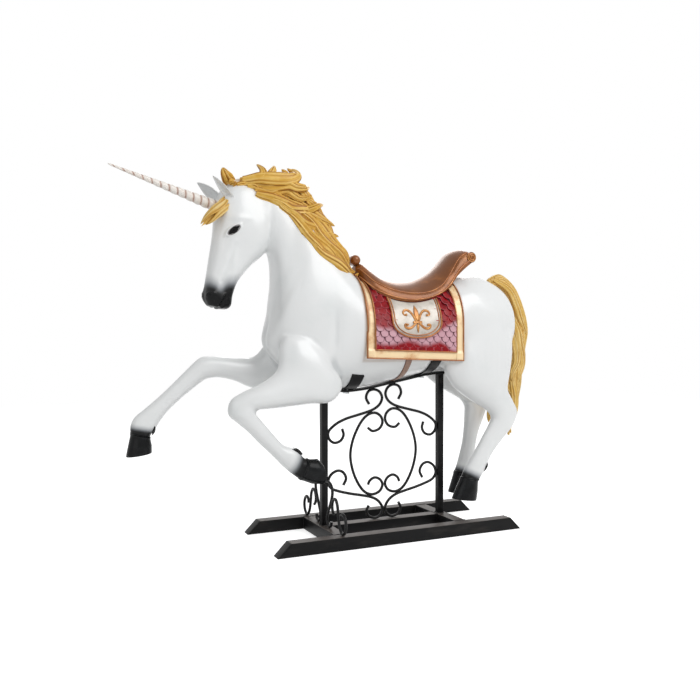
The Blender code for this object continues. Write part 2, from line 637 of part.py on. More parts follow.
def upper_scroll_fit(end):
    """How much taller than drawn a scroll is, so that its top just meets the belly bar, which rises rearwards."""
    x = (end * UPPER_SCROLL_TOP_X - UPPER_SCROLL_SHIFT) * scroll_stretch()
    top = bar_top(x) - BAR_THICKNESS - WELD_GAP - ROD / 2
    return (top - TUBE) / (UPPER_SCROLL_TOP_Z - TUBE)


def fitted(points, end, tall):
    """Scroll points moved into the real space between the posts, above the centre tube."""
    wide = scroll_stretch()
    inner, low = ROD / 2 + WELD_GAP, TUBE + ROD / 2 + WELD_GAP
    return [(end * max(inner, x * wide), 0.0, max(low, TUBE + (z - TUBE) * tall)) for x, z in points]


def beside_post(points, side, shift=0.0):
    """Scroll points across the front post, moved sideways and kept above the floor tubes."""
    low = TUBE + ROD / 2 + WELD_GAP
    return [(-POST_SPACING / 2, side * (y + shift), max(low, z)) for y, z in points]


def make_scrollwork(material):
    """Six bent rods between the posts, and two on each side of the front post."""
    for end, word in ((-1, "front"), (1, "rear")):
        tall = upper_scroll_fit(end)
        rod(f"upper_{word}_scroll", fitted(UPPER_SCROLL, end, tall), material)
        rod(f"oval_{word}_scroll", fitted(OVAL_SCROLL, end, tall), material)
        rod(f"lower_{word}_scroll", fitted(LOWER_SCROLL, end, tall), material)
    for side, word in ((-1, "left"), (1, "right")):
        rod(f"{word}_post_scroll", beside_post(POST_SCROLL, side, (POST - DRAWN_POST) / 2), material)
        rod(f"{word}_outer_scroll", beside_post(OUTER_SCROLL, side), material)


def make_envelope(name, stations, count, width=1.0, transform=None):
    """A hidden closed copy of a body, grown by a gap, that trims what lies against it."""
    rows = np.array(station_rows(stations, TRIM_GAP, width))
    for end, near in ((0, 1), (-1, -2)):
        outward = (rows[end, :2] + rows[end, 2:4] - rows[near, :2] - rows[near, 2:4]) / 2
        shift = outward / np.linalg.norm(outward) * TRIM_GAP
        rows[end, :4] += [*shift, *shift]
    return hide_cutter(add_object(name, loft(name, smooth_rows(rows, 2), count, transform), None))


def make_core(name, stations, wall, count, width=1.0, transform=None):
    """A hidden closed body that hollows a shell, a wall's thickness inside it."""
    rows = station_rows(stations, -wall, width)
    return hide_cutter(add_object(name, loft(name, rows, count, transform), None))


def make_torso(material):
    """Hollow barrel, rump and neck, open at the top of the neck."""
    rows = smooth_rows(station_rows(TORSO, 0.0, BODY_WIDTH), 2)
    torso = add_object("torso_shell", loft("torso_shell", rows, TORSO_SIDES), material)
    last, before = TORSO[-1], TORSO[-2]
    beyond = tuple((2 * a[0] - b[0], 2 * a[1] - b[1]) for a, b in zip(last[:2], before[:2]))
    inside = TORSO[1:] + [(beyond[0], beyond[1], last[2], 0.0, 2.1)]
    return boolean(torso, make_core("torso_core", inside, BODY_WALL, TORSO_SIDES, BODY_WIDTH))


def make_head(material, torso_envelope):
    """Hollow head with a socket for the neck."""
    turn = head_matrix()
    head = add_object("head_shell", loft("head_shell", smooth_rows(station_rows(HEAD), 2), HEAD_SIDES, turn), material)
    boolean(head, make_core("head_core", HEAD[1:8], BODY_WALL, 12, transform=turn))
    return boolean(head, torso_envelope)


def make_limb(name, stations, material, torso_envelope, last_hollow):
    """Hollow leg with a solid hoof; its open top is trimmed to the torso."""
    limb = add_object(name, loft(name, smooth_rows(station_rows(stations), 2), 10), material)
    boolean(limb, make_core(name + "_core", stations[1:last_hollow], LIMB_WALL, 8))
    return boolean(limb, torso_envelope)


def horn_axis():
    base = Vector((HORN_BASE[0], 0, HORN_BASE[1])) * FIGURE_SIZE
    tip = Vector((HORN_TIP[0], 0, HORN_TIP[1])) * FIGURE_SIZE
    turn = head_matrix()
    return turn @ base, turn @ tip


def make_horn(material):
    """Tapered horn with a rib for each turn."""
    base, tip = horn_axis()
    along = tip - base
    bm = bmesh.new()
    sides = 10
    turn = along.to_track_quat("Z", "Y")
    rings = []
    for i in range(2 * HORN_TURNS + 1):
        share = i / (2 * HORN_TURNS)
        radius = HORN_RADIUS + (HORN_TIP_RADIUS - HORN_RADIUS) * share
        radius *= FIGURE_SIZE * (1.0 if i % 2 else 0.9)
        points = [(radius * math.cos(math.tau * k / sides), radius * math.sin(math.tau * k / sides), 0.0)
                  for k in range(sides)]
        rings.append([bm.verts.new(base + along * share + turn @ Vector(p)) for p in points])
    for first, second in zip(rings, rings[1:]):
        for k in range(sides):
            bm.faces.new((first[k], first[(k + 1) % sides], second[(k + 1) % sides], second[k]))
    bm.faces.new(rings[0])
    bm.faces.new(rings[-1])
    return add_object("horn", mesh_from(bm, "horn"), material)


def make_stud(name, start, end, material):
    """A threaded stud and the hidden drill that makes room for it."""
    cylinder(name, start, end, STUD / 2, 12, material)
    reach = (Vector(end) - Vector(start)).normalized() * GAP
    return hide_cutter(cylinder(name + "_hole", Vector(start) - reach, Vector(end) + reach, STUD_HOLE / 2, 12))


def make_eye(name, side, material):
    """A glass eye, and the hidden ball that cuts its socket."""
    turn = head_matrix()
    middle = turn @ (Vector((EYE[0], side * EYE_SPREAD, EYE[1])) * FIGURE_SIZE)
    made = []
    for radius, title in ((EYE_RADIUS, name), (EYE_RADIUS + GAP, name + "_socket")):
        bm = bmesh.new()
        bmesh.ops.create_uvsphere(bm, u_segments=10, v_segments=6, radius=radius * FIGURE_SIZE)
        bm.transform(Matrix.Translation(middle))
        made.append(add_object(title, mesh_from(bm, title), material))
    return hide_cutter(made[1])


def make_hair(name, stations, count, material, transform=None):
    """A mass of hair or an ear, as a smooth solid."""
    rows = smooth_rows(station_rows(stations), 2)
    return add_object(name, loft(name, rows, count, transform), material)


def make_ear(name, side, material, head_envelope):
    """An ear seated on the head, and the hidden copy that trims the hair beside it."""
    mirrored = [(a, b, half, side * y, power) for a, b, half, y, power in EAR]
    boolean(make_hair(name, mirrored, 10, material, head_matrix()), head_envelope)
    return make_envelope(name + "_envelope", mirrored, 10, 1.0, head_matrix())


def make_blanket(material):
    """The cloth over the back, and a hidden thick copy that trims what lies on it."""
    outer = TRIM_GAP + BLANKET_THICKNESS
    blanket = swept_box("saddle_blanket", blanket_grid(-OVERCUT, outer), material)
    envelope = swept_box("blanket_envelope", blanket_grid(-0.03, outer + TRIM_GAP), None)
    return blanket, hide_cutter(envelope)


def saddle_half_width(x):
    rows = smooth_rows(SADDLE, 4) * FIGURE_SIZE
    return float(np.interp(x, rows[:, 0], rows[:, 2]))


def roll(name, place, sides=12):
    """A round bar across the saddle with domed ends."""
    x, z, radius, half = (v * FIGURE_SIZE for v in place)
    profile = [(-half, 0.25), (-half + radius * 0.25, 0.75), (-half + radius * 0.7, 1.0)]
    profile += [(-y, share) for y, share in reversed(profile)]
    bm = bmesh.new()
    rings = []
    for y, share in profile:
        angles = [math.tau * k / sides for k in range(sides)]
        rings.append([
            bm.verts.new((x + radius * share * math.cos(a), y, z + radius * share * math.sin(a))) for a in angles
        ])
    for first, second in zip(rings, rings[1:]):
        for k in range(sides):
            bm.faces.new((first[k], first[(k + 1) % sides], second[(k + 1) % sides], second[k]))
    bm.faces.new(rings[0])
    bm.faces.new(rings[-1])
    return hide_cutter(add_object(name, mesh_from(bm, name), None))


def make_saddle(material, blanket_envelope):
    """The seat, with a rolled pommel and a rolled cantle that stands clear of the back."""
    under = TRIM_GAP + BLANKET_THICKNESS - OVERCUT
    grid = []
    for x, seat, half, edge in smooth_rows(SADDLE, 1) * FIGURE_SIZE:
        free = max(0.0, x - CANTLE_FREE_X * FIGURE_SIZE) / ((SADDLE[-1][0] - CANTLE_FREE_X) * FIGURE_SIZE)
        line = []
        for k in range(-6, 7):
            y = half * k / 6
            top = seat - (seat - edge) * abs(k / 6) ** 2.2
            low = surface_z(x, y, under)
            low += (CANTLE_UNDERSIDE_Z * FIGURE_SIZE - low) * free
            line.append((Vector((x, y, low)), Vector((x, y, top))))
        grid.append(line)
    saddle = swept_box("saddle", grid, material)
    boolean(saddle, roll("pommel_roll", POMMEL_ROLL), "UNION")
    boolean(saddle, roll("cantle_roll", CANTLE_ROLL), "UNION")
    return boolean(saddle, blanket_envelope)


def shield_grid(side, inner, outer):
    """Pairs of points over a shield: its top follows the saddle's skirt and its bottom is round."""
    columns, rows = 12, 6
    under = TRIM_GAP + BLANKET_THICKNESS
    grid = []
    for i in range(columns + 1):
        share = 2 * i / columns - 1
        x = (SHIELD_X + SHIELD_HALF_WIDTH * share) * FIGURE_SIZE
        top = surface_z(x, saddle_half_width(x), under) - SHIELD_BELOW_SKIRT
        low = (SHIELD_BOTTOM_Z + SHIELD_ROUNDING * (1 - math.sqrt(1 - share**2))) * FIGURE_SIZE
        line = []
        for k in range(rows + 1):
            z = low + (top - low) * k / rows
            line.append(tuple(Vector((x, side * surface_y(x, z, depth), z)) for depth in (inner, outer)))
        grid.append(line)
    return grid


def make_shield(name, side, material, blanket_envelope):
    """A shield-shaped panel on the blanket, and a hidden thick copy that trims the ornament on it."""
    base = TRIM_GAP + BLANKET_THICKNESS
    outer = base + TRIM_GAP + SHIELD_THICKNESS
    shield = swept_box(name, shield_grid(side, base - OVERCUT, outer), material)
    envelope = swept_box(name + "_envelope", shield_grid(side, 0.0, outer + TRIM_GAP), None)
    return boolean(shield, blanket_envelope), hide_cutter(envelope)


def fleuron_outline():
    """A stylised three-petal flower with a band: x and z from its middle."""
    right = [
        (0.000, 0.052), (0.010, 0.034), (0.011, 0.014), (0.007, -0.002), (0.020, 0.012), (0.030, 0.028),
        (0.042, 0.030), (0.047, 0.020), (0.040, 0.016), (0.036, 0.004), (0.024, -0.008), (0.016, -0.014),
        (0.016, -0.022), (0.024, -0.026), (0.022, -0.034), (0.009, -0.028), (0.005, -0.046),
    ]
    return right + [(0.0, -0.056)] + [(-x, z) for x, z in reversed(right[1:])]


def make_fleuron(name, side, material, shield_envelope):
    """A raised ornament in the middle of a shield."""
    bm = bmesh.new()
    base = 2 * TRIM_GAP + BLANKET_THICKNESS + SHIELD_THICKNESS
    layers = []
    for depth in (base - OVERCUT, base + TRIM_GAP + FLEURON_THICKNESS):
        ring = []
        for dx, dz in fleuron_outline():
            x, z = (SHIELD_X + dx) * FIGURE_SIZE, (FLEURON_Z + dz) * FIGURE_SIZE
            ring.append(bm.verts.new((x, side * surface_y(x, z, depth), z)))
        layers.append(ring)
    low, high = layers
    for k in range(len(low)):
        m = (k + 1) % len(low)
        bm.faces.new((low[k], low[m], high[m], high[k]))
    caps = [bm.faces.new(low), bm.faces.new(high)]
    bmesh.ops.triangulate(bm, faces=caps)
    return boolean(add_object(name, mesh_from(bm, name), material), shield_envelope)


def make_girth(material):
    """The strap from one hem of the blanket to the other, under the belly."""
    share = (GIRTH_X - BLANKET_FRONT_X) / (BLANKET_REAR_X - BLANKET_FRONT_X)
    hem = HEM_FRONT_Z + (HEM_REAR_Z - HEM_FRONT_Z) * share
    angle = belly_angle(GIRTH_X * FIGURE_SIZE, (hem + GIRTH_UNDER_HEM) * FIGURE_SIZE)
    return belly_wrap("girth_strap", GIRTH_X * FIGURE_SIZE, GIRTH_WIDTH, angle, GIRTH_THICKNESS, material, 2)


def make_mounting_plate(material):
    """A formed plate inside the belly that the bolts pull against."""
    columns, turns = 10, 4
    grid = []
    for i in range(columns + 1):
        x = PLATE_FRONT_X + (PLATE_REAR_X - PLATE_FRONT_X) * i / columns
        inner = barrel_row(x, -BODY_WALL - TRIM_GAP - PLATE_THICKNESS)
        outer = barrel_row(x, -BODY_WALL + OVERCUT)
        spread = PLATE_WIDTH / 2 / outer[4]
        bearings = [math.pi + spread * (2 * k / turns - 1) for k in range(turns + 1)]
        grid.append([(section_point(inner, b), section_point(outer, b)) for b in bearings])
    plate = swept_box("belly_mounting_plate", grid, material)
    space = make_core("belly_space", TORSO[2:-2], BODY_WALL + TRIM_GAP, TORSO_SIDES, BODY_WIDTH)
    return boolean(plate, space, "INTERSECT")


def make_bolts(material, drilled):
    """Four bolts from below, through bar, band, belly and plate, each with its nut inside."""
    number = 0
    for x in (FRONT_BAND_X, REAR_BAND_X):
        for side in (-1, 1):
            number += 1
            y = side * BOLT_PITCH / 2
            slope = abs(belly_z(x + 0.01) - belly_z(x - 0.01)) / 0.02
            tilt = slope * BOLT_ACROSS_FLATS * 0.6 + GAP
            under = bar_top(x) - BAR_THICKNESS - tilt
            inner = barrel_row(x, -BODY_WALL - TRIM_GAP - PLATE_THICKNESS)
            inside = section_point(inner, math.pi - 1.6 * y / inner[4]).z + tilt + NUT_SEAT_GAP
            name = f"mounting_bolt_{number}"
            shank = cylinder(name, (x, y, under - BOLT_HEAD / 2), (x, y, inside + NUT_HEIGHT + 0.004), BOLT / 2, 12, material)
            flats = BOLT_ACROSS_FLATS / math.sqrt(3)
            head = cylinder(name + "_head", (x, y, under - BOLT_HEAD), (x, y, under), flats, 6)
            boolean(shank, hide_cutter(head), "UNION")
            nut = cylinder(f"mounting_nut_{number}", (x, y, inside), (x, y, inside + NUT_HEIGHT), flats, 6, material)
            drill = cylinder(name + "_drill", (x, y, under - 0.002), (x, y, inside + 0.02), BOLT_HOLE / 2, 12)
            hide_cutter(drill)
            thread = cylinder(name + "_thread", (x, y, under), (x, y, inside + 0.03), BOLT / 2 + GAP, 12)
            boolean(nut, hide_cutter(thread))
            for piece in drilled:
                boolean(piece, drill)


def main():
    for obj in list(bpy.data.objects):
        bpy.data.objects.remove(obj)
    white = make_material("white_gelcoat", (0.86, 0.87, 0.88), 0.22, coat=0.4)
    hair = make_material("golden_hair_paint", (0.69, 0.37, 0.06), 0.42)
    ivory = make_material("ivory_paint", (0.80, 0.73, 0.66), 0.35)
    black = make_material("black_stand_paint", (0.012, 0.011, 0.011), 0.45)
    copper = make_material("copper_brown_paint", (0.25, 0.09, 0.03), 0.35)
    crimson = make_material("crimson_paint", (0.35, 0.006, 0.015), 0.35)
    pearl = make_material("pearl_paint", (0.80, 0.76, 0.72), 0.35)
    tan = make_material("tan_strap_paint", (0.55, 0.38, 0.30), 0.5)
    glass = make_material("black_eye", (0.01, 0.01, 0.012), 0.08)
    zinc = make_material("zinc_plated_steel", (0.55, 0.56, 0.57), 0.4, 1.0)

    make_base(black)
    make_posts(black)
    cradle = make_cradle(black)
    make_scrollwork(black)

    torso = make_torso(white)
    torso_envelope = make_envelope("torso_envelope", TORSO, TORSO_SIDES, BODY_WIDTH)
    head_envelope = make_envelope("head_envelope", HEAD, HEAD_SIDES, 1.0, head_matrix())
    head = make_head(white, torso_envelope)
    make_limb("left_foreleg", LEFT_FORELEG, white, torso_envelope, 14)
    make_limb("right_foreleg", RIGHT_FORELEG, white, torso_envelope, 12)
    make_limb("left_hindleg", LEFT_HINDLEG, white, torso_envelope, 13)
    make_limb("right_hindleg", RIGHT_HINDLEG, white, torso_envelope, 13)
    left_ear_envelope = make_ear("left_ear", -1, white, head_envelope)
    make_ear("right_ear", 1, white, head_envelope)
    for side, word in ((-1, "left"), (1, "right")):
        boolean(head, make_eye(f"{word}_eye", side, glass))

    horn = boolean(make_horn(ivory), head_envelope)
    base, tip = horn_axis()
    along = (tip - base).normalized()
    stud_hole = make_stud("horn_stud", base - along * HORN_STUD_SUNK, base + along * HORN_STUD_REACH, zinc)
    boolean(horn, stud_hole)
    boolean(head, stud_hole)
    horn_envelope = hide_cutter(cylinder(
        "horn_envelope", base, tip, (HORN_RADIUS + GAP) * FIGURE_SIZE, 12, None, HORN_TIP_RADIUS
    ))

    mane = make_hair("mane", MANE, 12, hair)
    boolean(mane, torso_envelope)
    boolean(mane, head_envelope)
    forelock = make_hair("forelock", FORELOCK, 10, hair, head_matrix())
    boolean(forelock, head_envelope)
    boolean(forelock, horn_envelope)
    boolean(forelock, left_ear_envelope)
    tail = boolean(make_hair("tail", TAIL, 12, hair), torso_envelope)
    dock = Vector(TAIL_STUD_START) * FIGURE_SIZE
    tail_hole = make_stud("tail_stud", dock, dock + Vector(TAIL_STUD_LINE), zinc)
    boolean(tail, tail_hole)
    boolean(torso, tail_hole)

    blanket, blanket_envelope = make_blanket(crimson)
    make_saddle(copper, blanket_envelope)
    for side, word in ((-1, "left"), (1, "right")):
        _, shield_envelope = make_shield(f"{word}_shield", side, pearl, blanket_envelope)
        make_fleuron(f"{word}_fleuron", side, copper, shield_envelope)
    girth = make_girth(tan)
    for piece in (blanket, girth, *cradle[1:]):
        boolean(piece, torso_envelope)
    plate = make_mounting_plate(zinc)
    make_bolts(zinc, [*cradle, torso, plate])


main()
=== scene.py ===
"""Looks of a sit-on unicorn figure on a welded scrollwork stand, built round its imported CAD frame.

The figure is a painted glass-fibre moulding: one white skin, black hooves and muzzle, sculpted golden hair, a spiral
horn, and a saddle with its blanket. The stand is welded steel under satin black paint. Lengths are in metres, +Z is
up, the figure faces -X and its left side is -Y.
"""

from __future__ import annotations

import logging
import math
import random
from collections.abc import Callable, Iterator, Sequence
from contextlib import contextmanager
from dataclasses import dataclass, replace
from dataclasses import field as dataclass_field
from enum import Enum

import bmesh
import bpy
import numpy as np
from mathutils import Matrix, Vector
from mathutils.bvhtree import BVHTree


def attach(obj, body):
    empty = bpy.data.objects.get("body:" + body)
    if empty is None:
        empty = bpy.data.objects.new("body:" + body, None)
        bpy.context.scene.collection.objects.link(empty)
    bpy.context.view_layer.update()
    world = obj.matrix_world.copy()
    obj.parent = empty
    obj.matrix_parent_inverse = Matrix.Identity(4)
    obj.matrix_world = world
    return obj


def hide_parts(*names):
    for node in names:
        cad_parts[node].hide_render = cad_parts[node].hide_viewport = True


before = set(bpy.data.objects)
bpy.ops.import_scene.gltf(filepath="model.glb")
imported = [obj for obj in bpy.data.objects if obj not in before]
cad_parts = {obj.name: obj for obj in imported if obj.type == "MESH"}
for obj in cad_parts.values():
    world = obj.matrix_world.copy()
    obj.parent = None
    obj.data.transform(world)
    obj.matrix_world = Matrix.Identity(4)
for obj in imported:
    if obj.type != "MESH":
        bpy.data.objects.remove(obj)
LOG = logging.getLogger("ride_figure")
ROOT = "root"
HEAD_YAW = math.radians(10.0)
POLL_X = -0.600
BARREL_STATIONS = slice(4, 11)
BLANKET_FRONT_X = -0.157
BLANKET_REAR_X = 0.272
HEM_FRONT_Z = 0.708
HEM_REAR_Z = 0.694
SHIELD_X = 0.058
SHIELD_HALF_WIDTH = 0.108
SHIELD_BOTTOM_Z = 0.787
SHIELD_ROUNDING = 0.060
FLEURON_Z = 0.862
AIR = 0.0006  # air between two parts that lie on each other
SKIN_GAP = 0.0008  # air between the belly and the bands under it
BAND_HEIGHT = 0.005  # thickness of those bands
WELD_DISTANCE = 1e-6  # points nearer than this are one
FACE_SIDE_Y = 0.03  # the sides of the face begin this far from its middle
LOCK_SIDES = 22  # points round a lock of hair
Station = tuple[tuple[float, float], tuple[float, float], float, float, float]
Skin = tuple[np.ndarray, list[tuple[int, ...]]]  # points and faces
Lock = tuple[np.ndarray, list[tuple[int, ...]], np.ndarray, np.ndarray]  # points, faces, grooves and crests
Socket = bpy.types.NodeSocket

# Each station: (first edge x, z), (second edge x, z), half width, middle y, roundness power
TORSO: list[Station] = [
    ((0.588, 0.890), (0.588, 0.810), 0.030, 0.0, 2.0),
    ((0.578, 0.945), (0.582, 0.750), 0.095, 0.0, 2.0),
    ((0.545, 0.995), (0.550, 0.705), 0.135, 0.0, 2.1),
    ((0.475, 1.038), (0.480, 0.675), 0.160, 0.0, 2.1),
    ((0.385, 1.057), (0.385, 0.658), 0.172, 0.0, 2.1),
    ((0.290, 1.040), (0.290, 0.655), 0.172, 0.0, 2.1),
    ((0.180, 0.998), (0.180, 0.645), 0.170, 0.0, 2.1),
    ((0.060, 0.975), (0.060, 0.623), 0.170, 0.0, 2.1),
    ((-0.060, 0.987), (-0.060, 0.599), 0.168, 0.0, 2.1),
    ((-0.130, 1.018), (-0.130, 0.590), 0.164, 0.0, 2.1),
    ((-0.200, 1.085), (-0.200, 0.588), 0.158, 0.0, 2.1),
    ((-0.240, 1.150), (-0.350, 0.610), 0.148, 0.0, 2.1),
    ((-0.275, 1.215), (-0.497, 0.740), 0.128, 0.0, 2.1),
    ((-0.312, 1.270), (-0.494, 0.860), 0.108, 0.0, 2.1),
    ((-0.360, 1.320), (-0.480, 0.960), 0.092, 0.0, 2.1),
    ((-0.425, 1.360), (-0.478, 1.045), 0.082, 0.0, 2.1),
    ((-0.500, 1.378), (-0.495, 1.110), 0.074, 0.0, 2.1),
    ((-0.570, 1.368), (-0.540, 1.160), 0.066, 0.0, 2.1),
]
HEAD: list[Station] = [
    ((-0.640, 1.372), (-0.560, 1.392), 0.030, 0.0, 2.0),
    ((-0.684, 1.325), (-0.508, 1.345), 0.064, 0.0, 2.1),
    ((-0.706, 1.265), (-0.477, 1.270), 0.080, 0.0, 2.2),
    ((-0.708, 1.200), (-0.474, 1.195), 0.083, 0.0, 2.2),
    ((-0.715, 1.140), (-0.503, 1.115), 0.074, 0.0, 2.2),
    ((-0.725, 1.080), (-0.568, 1.056), 0.060, 0.0, 2.2),
    ((-0.736, 1.020), (-0.618, 0.998), 0.050, 0.0, 2.2),
    ((-0.745, 0.970), (-0.639, 0.950), 0.047, 0.0, 2.2),
    ((-0.751, 0.932), (-0.648, 0.912), 0.045, 0.0, 2.2),
    ((-0.736, 0.903), (-0.668, 0.895), 0.032, 0.0, 2.0),
]
LEFT_FORELEG: list[Station] = [
    ((-0.470, 0.790), (-0.330, 0.770), 0.030, -0.100, 2.0),
    ((-0.487, 0.735), (-0.285, 0.690), 0.050, -0.108, 2.0),
    ((-0.492, 0.685), (-0.238, 0.612), 0.056, -0.116, 2.0),
    ((-0.512, 0.655), (-0.285, 0.547), 0.054, -0.123, 2.0),
    ((-0.555, 0.626), (-0.375, 0.541), 0.049, -0.127, 2.0),
    ((-0.600, 0.602), (-0.460, 0.534), 0.044, -0.130, 2.0),
    ((-0.645, 0.583), (-0.530, 0.529), 0.039, -0.130, 2.0),
    ((-0.673, 0.567), (-0.576, 0.526), 0.036, -0.130, 2.0),
    ((-0.686, 0.541), (-0.583, 0.519), 0.036, -0.130, 2.0),
    ((-0.684, 0.510), (-0.584, 0.512), 0.035, -0.130, 2.0),
    ((-0.656, 0.484), (-0.580, 0.505), 0.031, -0.130, 2.0),
    ((-0.618, 0.452), (-0.570, 0.495), 0.028, -0.130, 2.0),
    ((-0.568, 0.401), (-0.525, 0.443), 0.027, -0.130, 2.0),
    ((-0.517, 0.352), (-0.480, 0.396), 0.027, -0.130, 2.0),
    ((-0.478, 0.312), (-0.430, 0.379), 0.031, -0.130, 2.0),
    ((-0.440, 0.281), (-0.403, 0.345), 0.028, -0.130, 2.0),
    ((-0.412, 0.262), (-0.383, 0.335), 0.032, -0.130, 2.0),
    ((-0.368, 0.244), (-0.345, 0.334), 0.037, -0.130, 2.0),
    ((-0.320, 0.238), (-0.328, 0.316), 0.037, -0.130, 2.0),
]
RIGHT_FORELEG: list[Station] = [
    ((-0.430, 0.820), (-0.310, 0.750), 0.030, 0.095, 2.0),
    ((-0.465, 0.765), (-0.300, 0.680), 0.050, 0.104, 2.0),
    ((-0.515, 0.715), (-0.400, 0.585), 0.054, 0.112, 2.0),
    ((-0.575, 0.711), (-0.510, 0.588), 0.048, 0.115, 2.0),
    ((-0.630, 0.713), (-0.590, 0.620), 0.041, 0.115, 2.0),
    ((-0.680, 0.717), (-0.650, 0.634), 0.037, 0.115, 2.0),
    ((-0.720, 0.715), (-0.690, 0.633), 0.036, 0.115, 2.0),
    ((-0.747, 0.698), (-0.713, 0.626), 0.034, 0.115, 2.0),
    ((-0.790, 0.657), (-0.752, 0.598), 0.029, 0.115, 2.0),
    ((-0.842, 0.606), (-0.800, 0.560), 0.027, 0.115, 2.0),
    ((-0.893, 0.559), (-0.850, 0.514), 0.027, 0.115, 2.0),
    ((-0.938, 0.522), (-0.880, 0.475), 0.030, 0.115, 2.0),
    ((-0.974, 0.492), (-0.900, 0.443), 0.030, 0.115, 2.0),
    ((-0.988, 0.458), (-0.914, 0.428), 0.029, 0.115, 2.0),
    ((-0.986, 0.430), (-0.917, 0.415), 0.031, 0.115, 2.0),
    ((-0.994, 0.395), (-0.911, 0.388), 0.036, 0.115, 2.0),
    ((-1.004, 0.348), (-0.910, 0.360), 0.039, 0.115, 2.0),
]
LEFT_HINDLEG: list[Station] = [
    ((0.340, 0.940), (0.460, 0.960), 0.030, -0.085, 2.0),
    ((0.268, 0.875), (0.528, 0.900), 0.056, -0.103, 2.0),
    ((0.215, 0.770), (0.548, 0.800), 0.066, -0.112, 2.0),
    ((0.212, 0.675), (0.545, 0.715), 0.068, -0.117, 2.0),
    ((0.255, 0.595), (0.534, 0.640), 0.060, -0.118, 2.0),
    ((0.335, 0.537), (0.526, 0.592), 0.048, -0.116, 2.0),
    ((0.400, 0.501), (0.531, 0.562), 0.040, -0.114, 2.0),
    ((0.440, 0.474), (0.556, 0.523), 0.035, -0.112, 2.0),
    ((0.452, 0.447), (0.580, 0.474), 0.034, -0.110, 2.0),
    ((0.436, 0.416), (0.558, 0.416), 0.031, -0.110, 2.0),
    ((0.408, 0.374), (0.508, 0.364), 0.028, -0.110, 2.0),
    ((0.381, 0.332), (0.456, 0.308), 0.027, -0.110, 2.0),
    ((0.342, 0.276), (0.422, 0.254), 0.030, -0.110, 2.0),
    ((0.318, 0.240), (0.404, 0.222), 0.031, -0.110, 2.0),
    ((0.303, 0.205), (0.380, 0.194), 0.031, -0.110, 2.0),
    ((0.280, 0.165), (0.378, 0.152), 0.037, -0.110, 2.0),
    ((0.262, 0.128), (0.372, 0.114), 0.040, -0.110, 2.0),
]
RIGHT_HINDLEG: list[Station] = [
    ((0.340, 0.940), (0.460, 0.960), 0.030, 0.085, 2.0),
    ((0.268, 0.875), (0.528, 0.900), 0.056, 0.103, 2.0),
    ((0.215, 0.770), (0.548, 0.800), 0.066, 0.112, 2.0),
    ((0.214, 0.682), (0.546, 0.715), 0.068, 0.117, 2.0),
    ((0.282, 0.614), (0.534, 0.640), 0.060, 0.118, 2.0),
    ((0.350, 0.568), (0.528, 0.595), 0.048, 0.116, 2.0),
    ((0.408, 0.536), (0.536, 0.560), 0.040, 0.114, 2.0),
    ((0.448, 0.512), (0.556, 0.520), 0.035, 0.112, 2.0),
    ((0.466, 0.482), (0.572, 0.470), 0.034, 0.110, 2.0),
    ((0.466, 0.445), (0.558, 0.425), 0.031, 0.110, 2.0),
    ((0.462, 0.385), (0.534, 0.368), 0.027, 0.110, 2.0),
    ((0.453, 0.320), (0.518, 0.304), 0.027, 0.110, 2.0),
    ((0.438, 0.262), (0.508, 0.240), 0.031, 0.110, 2.0),
    ((0.424, 0.222), (0.496, 0.198), 0.029, 0.110, 2.0),
    ((0.413, 0.190), (0.480, 0.176), 0.032, 0.110, 2.0),
    ((0.397, 0.145), (0.482, 0.133), 0.037, 0.110, 2.0),
    ((0.382, 0.105), (0.480, 0.090), 0.040, 0.110, 2.0),
]
MANE: list[Station] = [
    ((-0.672, 1.415), (-0.655, 1.372), 0.014, -0.010, 2.0),
    ((-0.610, 1.408), (-0.588, 1.330), 0.045, -0.006, 2.0),
    ((-0.530, 1.440), (-0.520, 1.315), 0.064, -0.004, 2.0),
    ((-0.440, 1.446), (-0.437, 1.302), 0.070, -0.004, 2.0),
    ((-0.368, 1.405), (-0.392, 1.272), 0.072, -0.004, 2.0),
    ((-0.313, 1.345), (-0.348, 1.220), 0.074, -0.004, 2.0),
    ((-0.258, 1.270), (-0.308, 1.160), 0.074, -0.004, 2.0),
    ((-0.218, 1.190), (-0.268, 1.100), 0.070, -0.004, 2.0),
    ((-0.178, 1.120), (-0.215, 1.050), 0.056, -0.004, 2.0),
    ((-0.152, 1.075), (-0.178, 1.022), 0.034, -0.004, 2.0),
]
TAIL: list[Station] = [
    ((0.505, 1.050), (0.525, 1.000), 0.018, 0.0, 2.0),
    ((0.568, 1.072), (0.572, 1.005), 0.030, 0.0, 2.0),
    ((0.640, 1.020), (0.596, 0.965), 0.040, 0.0, 2.0),
    ((0.690, 0.930), (0.606, 0.900), 0.046, 0.0, 2.0),
    ((0.716, 0.830), (0.612, 0.820), 0.046, 0.0, 2.0),
    ((0.702, 0.745), (0.612, 0.740), 0.045, 0.0, 2.0),
    ((0.688, 0.665), (0.604, 0.660), 0.042, 0.0, 2.0),
    ((0.684, 0.590), (0.604, 0.590), 0.038, 0.0, 2.0),
    ((0.668, 0.510), (0.608, 0.520), 0.032, 0.0, 2.0),
    ((0.650, 0.430), (0.602, 0.440), 0.024, 0.0, 2.0),
    ((0.632, 0.355), (0.612, 0.362), 0.010, 0.0, 2.0),
]
FORELOCK: list[Station] = [
    ((-0.652, 1.350), (-0.648, 1.336), 0.008, 0.000, 2.0),
    ((-0.676, 1.322), (-0.668, 1.300), 0.011, -0.014, 2.0),
    ((-0.688, 1.290), (-0.664, 1.262), 0.014, -0.036, 2.0),
    ((-0.722, 1.262), (-0.700, 1.232), 0.014, -0.046, 2.0),
    ((-0.754, 1.232), (-0.735, 1.202), 0.012, -0.048, 2.0),
    ((-0.784, 1.186), (-0.776, 1.178), 0.004, -0.046, 2.0),
]

